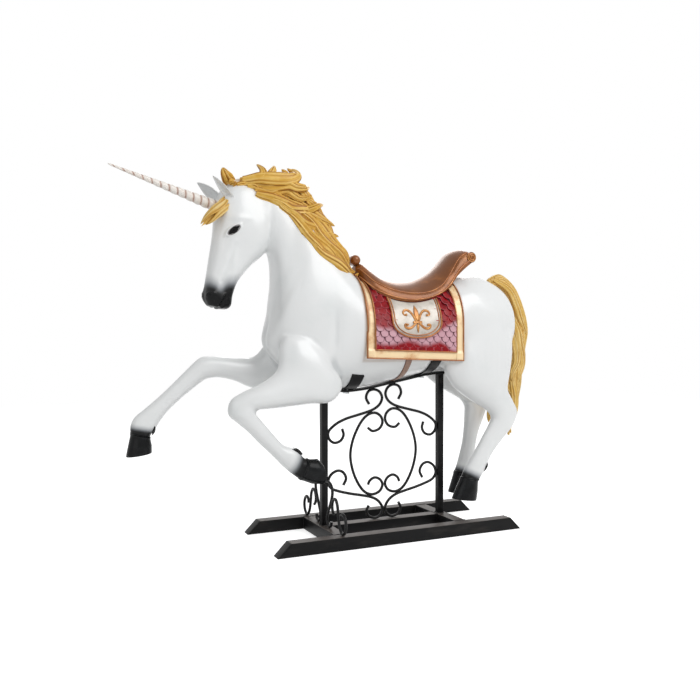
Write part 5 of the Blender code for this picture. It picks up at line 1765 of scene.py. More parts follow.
@dataclass
class HairMass:
    """A mass of sculpted hair: a solid core with locks laid over it.

    Attributes:
        name: Name of the piece and of its node.
        stations: Outline of the whole mass.
        sink: How far the core lies inside the outline.
        core_share: How far up towards the first edge the core reaches.
        matrix: A turn, if any.
        under: Surface that locks lie on where it is the wider one.
        finish: Its finish; the mane's if none is given.
        side_y: Distance from the middle past which locks lie on the surface below.
        gap: Height at which they lie on it.
        back: How far back a lock moves for each metre outwards.
        down: How far down it moves for each metre outwards.
        locks: The locks laid on it.
    """

    name: str
    stations: list[Station]
    sink: float = 0.006
    core_share: float = 1.0
    matrix: Matrix | None = None
    under: BVHTree | None = None
    finish: Finish | None = None
    side_y: float = 0.022
    gap: float = 0.003
    back: float = -0.42
    down: float = -0.12
    locks: list[Lock] = dataclass_field(default_factory=list)

    def __post_init__(self) -> None:
        """Draws the dense outline."""
        self.rows = smooth_rows(station_rows(self.stations), 20)

    def on_outline(self, place: float, angle: float, lift: float) -> tuple[np.ndarray, np.ndarray]:
        """Gives a point on the mass and its outward direction.

        Args:
            place: Station number, with its fraction.
            angle: Angle from the first edge towards +Y.
            lift: Distance outwards.

        Returns:
            The point and the direction.
        """
        index = min(max(place * 20, 0), len(self.rows) - 1)
        low = min(int(index), len(self.rows) - 2)
        row = self.rows[low] + (self.rows[low + 1] - self.rows[low]) * (index - low)
        point = section_points(row, np.array([angle]))[0]
        out = unit(point - station_middle(row))
        return point + out * lift, out

    def locate(self, x: float, z: float) -> tuple[float, float]:
        """Finds the station and the angle of a place seen from the side.

        Args:
            x: Its x.
            z: Its z.

        Returns:
            The station number and the angle on the +Y side.
        """
        a, b = self.rows[:, :2], self.rows[:, 2:4]
        line = a - b
        share = ((np.array([x, z]) - b) * line).sum(1) / (line * line).sum(1)
        gap = np.linalg.norm(b + line * share[:, None] - np.array([x, z]), axis=1)
        index = int(np.argmin(gap + 0.2 * np.maximum(0, np.abs(share - 0.5) - 0.5)))
        along = float(np.clip(2 * share[index] - 1, -1, 1))
        return index / 20, math.acos(math.copysign(abs(along) ** (self.rows[index, 6] / 2), along))

    def add_path(
        self, places: Sequence[tuple[float, float, float]], width: float, depth: float, grooves: int, phase: float
    ) -> None:
        """Adds a lock through places on the outline.

        Args:
            places: Station, angle and lift of each place.
            width: Half its width.
            depth: Half its thickness.
            grooves: Number of grooves.
            phase: Turn of the grooves.
        """
        pairs = [self.on_outline(*place) for place in smooth_rows(places, 6)]
        path, lift = np.array([p for p, _ in pairs]), np.array([n for _, n in pairs])
        if self.under:
            wide = np.abs(path[:, 1]) > self.side_y
            lift[wide] = lift[wide] * 0.3 + np.sign(path[wide, 1])[:, None] * np.array([0.0, 1.0, 0.0])
            path = np.array([self.laid(p) if w else p for p, w in zip(path, wide)])
        self.locks.append(lock_skin(path, lift, width, depth, grooves, phase=phase))

    def laid(self, point: Sequence[float]) -> tuple[float, float, float]:
        """Moves a point out to the surface below the hair, if it lies within.

        Args:
            point: The point.

        Returns:
            The point on the surface, or the same one.
        """
        x, y, z = point
        if self.under is None:
            return x, y, z
        side = math.copysign(1.0, y)
        for _ in range(4):
            hit = self.under.ray_cast(Vector((x, side * 0.5, z)), Vector((0, -side, 0)))[0]
            if hit is None or abs(hit.y) + self.gap < abs(y):
                break
            out = abs(hit.y) + self.gap - abs(point[1])
            x, y, z = point[0] + self.back * out, side * (abs(hit.y) + self.gap), point[2] + self.down * out
        return x, y, z

    def add_seen(
        self, width: float, line: Sequence[tuple[float, float]], side: Side, lift: float, phase: float,
        plump: float = 1.15, wave: float = 0.003, off: float = 0.0,
    ) -> None:
        """Adds a lock drawn from the side and laid on the mass.

        Args:
            width: Its width.
            line: x and z of its points.
            side: Side of the figure that it lies on.
            lift: How far it stands off the outline.
            phase: Turn of its grooves.
            plump: Share by which it is widened.
            wave: How far it swings from side to side.
            off: Its least distance from the middle plane.
        """
        points, outs = [], []
        for x, z in line:
            place, angle = self.locate(x, z)
            point, out = self.on_outline(place, side.value * max(angle, 0.30), lift)
            points.append(self.laid((x, side.value * max(off, abs(point[1])), z)))
            outs.append(out * 0.5 + np.array([0, side.value * 0.8, 0]))
        path = smooth_rows(points, 7)
        along = np.gradient(path, axis=0)
        swing = np.stack([-along[:, 2], np.zeros(len(path)), along[:, 0]], 1)
        swing /= np.maximum(np.linalg.norm(swing, axis=1), 1e-9)[:, None]
        share = np.linspace(0, 1, len(path))
        path = path + swing * (wave * np.sqrt(share) * np.sin(phase + share * math.tau * 1.5))[:, None]
        self.locks.append(lock_skin(path, smooth_rows(outs, 7), width * plump * 0.86, width * 0.60, 3, phase=phase))

    def build(self, slot: Slot) -> bpy.types.Object:
        """Makes the mass.

        Args:
            slot: Its material slot.

        Returns:
            The finished piece.
        """
        angles = math.tau * np.arange(28) / 28
        rows = station_rows(self.stations, -self.sink)
        rows[:, :2] = rows[:, 2:4] + (rows[:, :2] - rows[:, 2:4]) * self.core_share
        points, faces = tube_skin([section_points(row, angles) for row in smooth_rows(rows, 6)])
        # Painted shade: the core under the locks is painted a little darker
        parts = [(points, faces, np.full(len(points), 0.35), np.zeros(len(points)))] + self.locks
        skin = joined([(p, f) for p, f, _, _ in parts])
        if self.matrix:
            skin = (turned(skin[0], self.matrix), skin[1])
        values = {key: np.concatenate([part[k] for part in parts]) for key, k in (("groove", 2), ("crest", 3))}
        return fix(make_piece(self.name, skin, self.finish or FINISHES.hair, values, 70), slot, self.name)


@dataclass
class Hair:
    """Mane, forelock and tail.

    Attributes:
        seed: Seed of the small changes between locks.
        tail_width: Half the width of a tail strand.
        tail_strands: Number of strands round the tail.
        poll_locks: Number of drawn locks by the poll.
        filler_pitch: Distance between two fillers along the neck, in stations.
        filler_lanes: Angles from the crest at which they begin.
        mane_end: Station past which no filler ends.
        crest_pitch: Distance between two tips along the crest, in stations.
    """

    seed: int = 5
    tail_width: float = 0.0195
    tail_strands: int = 9
    poll_locks: int = 5
    filler_pitch: float = 0.9
    filler_lanes: tuple[float, ...] = (0.80, 1.20, 1.60)
    mane_end: float = 9.1
    crest_pitch: float = 0.5

    def mane(self, skin: bpy.types.Object) -> None:
        """Makes the mane: drawn locks on both sides, and a row of tips along the crest.

        Args:
            skin: The skin that the locks lie on.
        """
        mass = HairMass("mane", MANE, sink=0.012, core_share=0.45, under=surface_tree(skin))
        rng = random.Random(self.seed)
        for side in Side:
            self.drawn_locks(mass, side, rng)
            self.fillers(mass, side, rng)
        self.crest_locks(mass, rng)
        mass.build(Slot.HAIR)

    def drawn_locks(self, mass: HairMass, side: Side, rng: random.Random) -> None:
        """Adds the drawn locks, fuller ones where the mane is wide; the far side has none by the poll.

        Args:
            mass: The mane.
            side: Side of the neck.
            rng: Source of the small changes.
        """
        near = side is Side.LEFT
        for k, (width, line) in enumerate(MANE_LOCKS if near else MANE_LOCKS[self.poll_locks :]):
            shift = 0.0 if near else rng.uniform(-0.012, 0.004)
            drawn = [(x + shift, z - abs(shift) * 0.5) for x, z in line]
            full = k >= self.poll_locks or not near
            mass.add_seen(
                width, drawn, side, 0.004 + 0.0020 * (k % 3), rng.uniform(0, 6), plump=1.3 if full else 1.05,
                wave=0.009 if full else 0.0, off=0.034 if k == 1 else 0.0,
            )

    def fillers(self, mass: HairMass, side: Side, rng: random.Random) -> None:
        """Fills the side of the neck below the drawn locks.

        Args:
            mass: The mane.
            side: Side of the neck.
            rng: Source of the small changes.
        """
        for start in np.arange(0.7, 8.2, self.filler_pitch):
            for lane, angle in enumerate(self.filler_lanes):
                s = start + 0.45 * (lane % 2) + rng.uniform(-0.08, 0.08)
                reach = rng.uniform(1.7, 2.2)
                places = []
                for share in (0.0, 0.25, 0.5, 0.75, 1.0):
                    at = s + reach * share
                    bend = angle - 0.30 * share + 0.16 * math.sin(3.2 * at)
                    sunk = -0.006 - 0.062 * max(0.0, math.cos(bend))
                    places.append((at, side.value * bend, sunk - 0.004 * (share == 0) + 0.003 * (share == 1)))
                if places[-1][0] < self.mane_end:
                    mass.add_path(places, rng.uniform(0.015, 0.018), 0.009, 3, rng.uniform(0, 6))

    def crest_locks(self, mass: HairMass, rng: random.Random) -> None:
        """Adds the row of tips along the top of the neck.

        Args:
            mass: The mane.
            rng: Source of the small changes.
        """
        for start in np.arange(0.0, 7.9, self.crest_pitch):
            lean = rng.uniform(-0.35, 0.35)
            reach = rng.uniform(1.0, 1.4)
            places = [
                (start, lean, -0.060), (start + reach * 0.4, lean * 1.2, -0.052),
                (start + reach * 0.75, lean * 0.7, -0.046), (start + reach, lean, rng.uniform(-0.040, -0.026)),
            ]
            mass.add_path(places, 0.015, 0.009, 3, rng.uniform(0, 6))

    def forelock(self) -> None:
        """Makes the knot behind the horn and the leaf-shaped lock over the brow."""
        mass = HairMass("forelock", FORELOCK, sink=0.006, matrix=head_matrix(), finish=FINISHES.pale_hair)
        for side in Side:
            for width, depth, phase, line in FORELOCK_LOCKS:
                places = [(station, side.value * angle, lift) for station, angle, lift in line]
                mass.add_path(places, width, depth, 2, phase)
        knot = [(1.5, 0.0, -0.002), (2.1, 0.2, 0.003), (2.6, 0.0, 0.002), (3.0, 0.0, -0.002)]
        mass.add_path(knot, 0.010, 0.007, 3, 0.0)
        mass.build(Slot.HAIR)

    def tail(self) -> None:
        """Makes the tail: long smooth strands that end in small flicks."""
        mass = HairMass("tail", TAIL, sink=0.006, finish=FINISHES.pale_hair)
        rng = random.Random(self.seed + 1)
        for k in range(self.tail_strands):
            angle = math.tau * k / self.tail_strands
            sway = rng.uniform(-0.16, 0.16)
            end = rng.choice((6.2, 7.4, 8.4, 9.4, 9.9))
            places = [(0.15, angle, -0.010)]
            for s in np.linspace(1.2, end - 1.2, 6):
                places.append((float(s), angle + sway * math.sin(s * 1.1 + k), -0.010))
            places += [(end - 0.5, angle + sway, -0.012), (end, angle + sway * 1.2, rng.uniform(-0.008, 0.000))]
            mass.add_path(places, self.tail_width * rng.uniform(0.9, 1.15), 0.011, 3, rng.uniform(0, 6))
        for side in Side:
            for width, line in TAIL_LOCKS:
                mass.add_seen(width, line, side, -0.004, rng.uniform(0, 6))
        mass.build(Slot.HAIR)

    def build(self, skin: bpy.types.Object) -> None:
        """Makes all the hair.

        Args:
            skin: The skin that the mane lies on.
        """
        self.mane(skin)
        self.forelock()
        self.tail()


@dataclass
class HeadPieces:
    """Horn, ears and eyes.

    Attributes:
        horn_base: Where the horn meets the brow, before the head is turned: x, z.
        horn_tip: Its point.
        horn_radius: Radius at the base.
        tip_radius: Radius at the point.
        turns: Turns of its spiral.
        horn_sink: How far it starts inside the brow, as a share of its length.
        ear_root: Where the right ear begins, before the head is turned.
        ear_tip: Its point.
        ear_halves: Half the width of the left and of the right ear.
        ear_thickness: Thickness of an ear.
        eye_bulge: How far an eye stands out of its lids.
    """

    horn_base: tuple[float, float] = (-0.690, 1.2655)
    horn_tip: tuple[float, float] = (-1.094, 1.372)
    horn_radius: float = 0.0235
    tip_radius: float = 0.0028
    turns: float = 13.5
    horn_sink: float = 0.02
    ear_root: tuple[float, float, float] = (-0.664, 0.050, 1.290)
    ear_tip: tuple[float, float, float] = (-0.746, 0.070, 1.362)
    ear_halves: tuple[float, float] = (0.0195, 0.0320)
    ear_thickness: float = 0.005
    eye_bulge: float = 0.0045

    def horn(self) -> None:
        """Makes the horn, one ridge wound round it from base to point."""
        base = Vector((self.horn_base[0], 0, self.horn_base[1]))
        tip = Vector((self.horn_tip[0], 0, self.horn_tip[1]))
        turn = (tip - base).to_track_quat("Z", "Y").to_matrix()
        sides, steps = 36, 300
        angles = math.tau * np.arange(sides) / sides
        rings, groove = [], []
        for k in range(steps + 1):
            share = k / steps
            phase = (self.turns * math.tau * (1.12 * share - 0.12 * share**2) - angles) / 2
            swell = np.abs(np.sin(phase)) ** 0.55
            radius = self.horn_radius + (self.tip_radius - self.horn_radius) * share
            radius = radius * (0.80 + 0.22 * swell) * min(1.0, (1.003 - share) * 60) ** 0.5
            flat = np.stack([radius * np.cos(angles), radius * np.sin(angles), np.zeros(sides)], 1)
            middle = base + (tip - base) * (share - self.horn_sink * (1 - share))
            rings.append(flat @ np.array(turn).T + np.array(middle))
            groove.append(1.15 - swell * 1.15)
        points, faces = tube_skin(rings)
        skin = (turned(points, head_matrix()), faces)
        fix(make_piece("spiral_horn", skin, FINISHES.horn, {"groove": np.concatenate(groove)}, 180), Slot.HORN, "horn")

    def ear(self, side: Side) -> None:
        """Makes one leaf-shaped ear, hollow towards the front.

        Args:
            side: Side of the head.
        """
        near = side is Side.LEFT
        root, along = np.array(self.ear_root), np.array(self.ear_tip) - np.array(self.ear_root)
        forward = np.array([-0.80, 0.45 if near else -0.25, -0.30])
        forward = unit(forward - along * (forward @ along) / (along @ along))
        across = unit(np.cross(along, forward))
        widest = self.ear_halves[0 if near else 1]
        lines = 26
        outer, inner = [], []
        for share in np.linspace(0, 1, lines):
            half = widest * (math.sin(math.pi * min(1.0, 0.20 + 0.80 * share)) ** 0.75) + 0.0008
            curl = 1.25 - 0.35 * share
            middle = root + along * share + forward * 0.004 * math.sin(math.pi * share)
            first, second = [], []
            for bend in np.linspace(-1, 1, 17) * curl:
                spoke = across * math.sin(bend) - forward * math.cos(bend) * 0.8
                first.append(middle + spoke * half)
                thin = self.ear_thickness * (0.35 + 0.65 * (1 - share))
                second.append(middle + spoke * max(half - thin, half * 0.55))
            outer.append(first)
            inner.append(second)
        points, faces = sheet_skin(inner, outer)
        points = points * np.array([1, side.value, 1])
        # Painted shade in the middle of the ear's hollow
        shade = np.concatenate([np.tile(1 - np.abs(np.linspace(-1, 1, 17)) ** 3, lines), np.zeros(lines * 17)]) * 0.6
        name = f"{side.name.lower()}_ear"
        skin = (turned(points, head_matrix()), faces)
        fix(make_piece(name + "_leaf", skin, FINISHES.gelcoat, {"hollow_shade": shade}, 60), Slot.WHITE, name)

    def eye(self, side: Side, skin: BVHTree) -> None:
        """Makes one slanted almond eye, laid on the face.

        Args:
            side: Side of the head.
            skin: The finished face.
        """
        lines, columns = 17, 25
        grid, iris = [], []
        matrix = head_matrix()
        ray = matrix.to_3x3() @ Vector((0, -side.value, 0))
        cosine, sine = math.cos(EYE_TILT), math.sin(EYE_TILT)
        for v in np.linspace(-1, 1, lines):
            row = []
            for u in np.linspace(-1, 1, columns):
                tall = v * (1 - abs(u) ** 1.8)
                a, b = u * EYE_HALF_LENGTH, tall * EYE_HALF_HEIGHT
                x, z = EYE_MIDDLE[0] + a * cosine - b * sine, EYE_MIDDLE[1] + a * sine + b * cosine
                hit, normal, _, _ = skin.ray_cast(matrix @ Vector((x, side.value * 0.2, z)), ray)
                swell = self.eye_bulge * (1 - u * u) * math.sqrt(max(0.0, 1 - v * v)) + 0.0004
                row.append(hit + normal * swell)
                far = math.hypot(a + 0.001, b) / EYE_HALF_HEIGHT
                iris.append(math.exp(-(((far - 0.72) / 0.12) ** 2)))
            grid.append([tuple(p) for p in row])
        outer = np.array(grid)
        depth = np.array(matrix.to_3x3() @ Vector((0, -side.value * 0.006, 0)))
        name = f"{side.name.lower()}_eye"
        values = {"iris": np.concatenate([np.zeros(lines * columns), np.array(iris)])}
        points, faces = sheet_skin(outer + depth, outer)
        piece = make_piece(name + "_almond", (points, faces), FINISHES.eye, values, 80)
        fix(piece, Slot.BLACK, name)

    def build(self, skin: bpy.types.Object) -> None:
        """Makes all of them.

        Args:
            skin: The finished body skin.
        """
        self.horn()
        tree = surface_tree(skin)
        for side in Side:
            self.ear(side)
            self.eye(side, tree)


@dataclass
class Blanket:
    """The moulded cloth: a gold border with beads, and a crimson field of scales.

    Attributes:
        border: Width of the border.
        thickness: Thickness of the border.
        field_lift: Height of the field above the skin.
        bead: Radius of the bead between border and field.
        scale_width: Width of a scale.
        scale_height: Height of a scale.
        row_pitch: Distance between two rows of scales.
        band: Lower and upper height of the band of painted glare.
    """

    border: float = 0.036
    thickness: float = 0.0078
    field_lift: float = 0.0050
    bead: float = 0.0026
    scale_width: float = 0.036
    scale_height: float = 0.043
    row_pitch: float = 0.0205
    band: tuple[float, float] = (0.766, 0.832)

    @staticmethod
    def hem(x: float) -> float:
        """Gives the height of the hem at a place along the body."""
        share = (x - BLANKET_FRONT_X) / (BLANKET_REAR_X - BLANKET_FRONT_X)
        return HEM_FRONT_Z + (HEM_REAR_Z - HEM_FRONT_Z) * share

    def across(self, x: float, grow: float, inset: float, wraps: int, drops: int) -> np.ndarray:
        """Places points over the back from one hem to the other.

        Args:
            x: Place along the body.
            grow: Height above the skin.
            inset: Distance kept from each hem.
            wraps: Steps over the round of the back, on each side.
            drops: Steps down each hanging side.

        Returns:
            The points.
        """
        row = BODY.row(x, grow)
        middle = (row[1] + row[3]) / 2
        half = section_points(row, math.pi / 2 * np.arange(wraps + 1) / wraps)
        low = self.hem(x) + inset
        hang = [(x, row[4], middle + (low - middle) * k / drops) for k in range(1, drops + 1)]
        right = np.vstack([half, hang])
        left = right[::-1][:-1] * np.array([1, -1, 1])
        return np.vstack([left, right])

    def cloth(self) -> None:
        """Makes the sheet whose raised rim is the border."""
        steps = [0.0, 0.0015, 0.004, 0.008, self.border / 2, self.border - 0.004, self.border - 0.0015, self.border]
        lift = [0.40, 0.72, 0.93, 1.0, 1.0, 1.0, 0.90, 0.45]
        inner_x = np.linspace(BLANKET_FRONT_X + self.border, BLANKET_REAR_X - self.border, 26)[1:-1]
        xs = [BLANKET_FRONT_X + s for s in steps] + list(inner_x) + [BLANKET_REAR_X - s for s in reversed(steps)]
        shares = [np.interp(min(x - BLANKET_FRONT_X, BLANKET_REAR_X - x), steps, lift) for x in xs]
        inner, outer, edge = [], [], []
        for x, share in zip(xs, shares):
            under = self.across(x, AIR, 0.0, 22, 22)
            over = self.across(x, AIR + self.thickness, 0.0, 22, 22)
            drop = np.minimum(over[:, 2] - self.hem(x), 1.0)
            hem_share = np.interp(drop, steps, lift)
            inner.append(under)
            outer.append(under + (over - under) * np.minimum(share, hem_share)[:, None])
            near = np.minimum(min(x - BLANKET_FRONT_X, BLANKET_REAR_X - x), drop)
            brown = np.maximum(1 - near / 0.010, np.clip(1 - np.abs(near - self.border) / 0.010, 0, 1))
            # Painted shade: brown laid down the upper part of the front edge, where shade falls
            front = np.clip(1 - (x - BLANKET_FRONT_X) / 0.024, 0, 1) * np.clip((over[:, 2] - 0.77) / 0.08, 0, 1)
            edge.append(np.maximum(brown, 1.4 * front))
        brown_edge = np.concatenate(edge)
        values = {"edge": np.concatenate([np.zeros(len(brown_edge)), brown_edge])}
        piece = make_piece("blanket_border", sheet_skin(inner, outer), FINISHES.border, values, 60)
        fix(piece, Slot.BLANKET, "saddle_blanket")

    def field_path(self, inset: float, grow: float) -> np.ndarray:
        """Walks round one side's field for the bead: down the front, along the hem, up the rear.

        Args:
            inset: Distance from the cloth's edge.
            grow: Height above the skin.

        Returns:
            Points for the -Y side.
        """
        front, rear = BLANKET_FRONT_X + inset, BLANKET_REAR_X - inset
        down = self.across(front, grow, inset, 16, 14)
        up = self.across(rear, grow, inset, 16, 14)
        count = (len(down) + 1) // 2
        along = [
            (x, -BODY.side_y(x, self.hem(x) + inset, grow), self.hem(x) + inset)
            for x in np.linspace(front, rear, 30)[1:-1]
        ]
        return np.vstack([down[:count][::-1], along, up[:count]])

    def beads(self, grower: Grower) -> None:
        """Makes the beads along the border.

        Args:
            grower: The trees.
        """
        paths = []
        for inset, grow in ((self.border - 0.001, self.thickness), (0.0028, self.thickness - 0.001)):
            path = self.field_path(inset, grow)
            paths += [path, path * np.array([1, -1, 1])]
        fix(grower.rods("blanket_bead", paths, self.bead, FINISHES.bead, 10), Slot.BLANKET)

    def is_covered(self, x: float, z: float) -> bool:
        """Tells whether a scale would lie wholly under the shield or the saddle."""
        under_shield = abs(x - SHIELD_X) < SHIELD_HALF_WIDTH - 0.022 and z > SHIELD_BOTTOM_Z + 0.045
        return under_shield or z > 0.985

    def scale_shape(self) -> bpy.types.Object:
        """Makes one domed scale, hanging down from its middle, with a raised rim."""
        steps = (-1.0, -0.91, -0.82, -0.4, 0.0, 0.4, 0.82, 0.91, 1.0)
        drops = (0.0, 0.4, 0.58, 0.72, 0.83, 0.91, 0.955, 1.0)
        lines, columns = len(drops), len(steps)
        points, rim = [], []
        for v in drops:
            wide = math.sqrt(max(0.0, 1 - (max(0.0, v - 0.58) / 0.42) ** 2))
            for u in steps:
                lift = 0.0034 * v + 0.0012 * (1 - u * u) * v
                points.append((u * wide * self.scale_width / 2, -lift, -v * self.scale_height))
                # Painted highlight: the rim of each scale is painted pale pink, as its edge catches the light
                rim.append(1.0 if abs(u) > 0.85 or v > 0.93 else 0.0)
        front = np.array(points).reshape(lines, columns, 3)
        back = front + np.array([0, 0.0022, 0])
        skin = sheet_skin(back, front)
        values = np.array(rim)
        return make_piece("one_scale", skin, FINISHES.scale, {"rim": np.concatenate([values, values])}, 70)

    def scales(self, grower: Grower) -> None:
        """Makes the field's ground and its rows of scales.

        Args:
            grower: The trees.
        """
        inner, outer = [], []
        for x in np.linspace(BLANKET_FRONT_X + self.border - 0.002, BLANKET_REAR_X - self.border + 0.002, 24):
            inner.append(self.across(x, 0.0010, self.border - 0.002, 16, 16))
            outer.append(self.across(x, self.field_lift, self.border - 0.002, 16, 16))
        skin = sheet_skin(inner, outer)
        # Painted glare: the same wavy band, painted muted lilac on the ground between the scales
        pearly = self.pearly(skin[0][:, 0], skin[0][:, 2])
        fix(make_piece("blanket_field", skin, FINISHES.field, {"pearly": pearly}), Slot.BLANKET)
        shape = self.scale_shape()
        sizes = {"Scale": shape, "Spread": 0.05, "Seed": 11}
        piece = grower.grow(grower.scale_tree, self.seeds(), "blanket_scales", FINISHES.scale, sizes)
        bpy.data.objects.remove(shape)
        self.trim(piece.data)
        points = FigureSkin.points_of(piece.data)
        # Painted glare: a wavy band of pale lilac across the scales, with their rims painted dark inside it
        pearly = self.pearly(points[:, 0], points[:, 2])
        keep_values(piece.data, "pearly", pearly)
        rim = table_of(piece.data.attributes["rim"].data, "value", 1)[:, 0]
        keep_values(piece.data, "pearly_rim", rim * pearly)
        fix(piece, Slot.BLANKET)

    def seeds(self) -> bpy.types.Object:
        """Makes the points that carry the scales, row over row, each with its turn.

        Returns:
            The object that the tree works on.
        """
        seeds, turns = [], []
        low = self.hem(SHIELD_X) + self.border
        rows = int((1.0 - low) / self.row_pitch) + 1
        for k in range(rows):
            z = low + (k + 0.6) * self.row_pitch
            for x in np.arange(BLANKET_FRONT_X + self.border, BLANKET_REAR_X - self.border / 2, self.scale_width):
                place = x + (k % 2) * self.scale_width / 2
                if self.is_covered(place, z) or place > BLANKET_REAR_X - self.border / 2:
                    continue
                for side in Side:
                    reach = BODY.side_y(place, z, self.field_lift)
                    lean = math.atan2(BODY.side_y(place, z - 0.02, self.field_lift) - reach, 0.02)
                    seeds.append((place, side.value * (reach + 0.0004), z))
                    turns.append((-lean, 0.0, 0.0 if side is Side.LEFT else math.pi))
        mesh = bpy.data.meshes.new("scale_seeds")
        mesh.from_pydata(seeds, [], [])
        attribute = mesh.attributes.new("turn", "FLOAT_VECTOR", "POINT")
        attribute.data.foreach_set("vector", np.array(turns, np.float32).ravel())
        return new_object("scale_seeds", mesh)

    def pearly(self, x: np.ndarray, z: np.ndarray) -> np.ndarray:
        """Tells how far places lie in the wavy band of painted glare.

        Args:
            x: Places along the body.
            z: Their heights.

        Returns:
            A share from 0 to 1 for each.
        """
        low = self.band[0] + 0.008 * np.sin(38 * x + 1) - 0.030 * np.clip((x - 0.16) / 0.05, 0, 1)
        high = self.band[1] + 0.010 * np.sin(29 * x) + 0.016 * np.clip((x - 0.16) / 0.05, 0, 1)
        return np.clip((z - low) / 0.030 + 0.5, 0, 1) * np.clip((high - z) / 0.036 + 0.5, 0, 1)

    def trim(self, mesh: bpy.types.Mesh) -> None:
        """Cuts the scales off at the border.

        Args:
            mesh: The scales, changed in place.
        """
        low = self.hem(SHIELD_X) + self.border - 0.001
        slope = (HEM_REAR_Z - HEM_FRONT_Z) / (BLANKET_REAR_X - BLANKET_FRONT_X)
        cuts = [
            ((BLANKET_FRONT_X + self.border, 0, 0), (-1, 0, 0)), ((BLANKET_REAR_X - self.border, 0, 0), (1, 0, 0)),
            ((SHIELD_X, 0, low), (slope, 0, -1)),
        ]
        with edited(mesh) as bm:
            for place, normal in cuts:
                everything = bm.verts[:] + bm.edges[:] + bm.faces[:]
                bmesh.ops.bisect_plane(bm, geom=everything, plane_co=place, plane_no=normal, clear_outer=True)
            bmesh.ops.holes_fill(bm, edges=[e for e in bm.edges if e.is_boundary], sides=0)

    def build(self, grower: Grower) -> None:
        """Makes the whole blanket.

        Args:
            grower: The trees.
        """
        self.cloth()
        self.beads(grower)
        self.scales(grower)


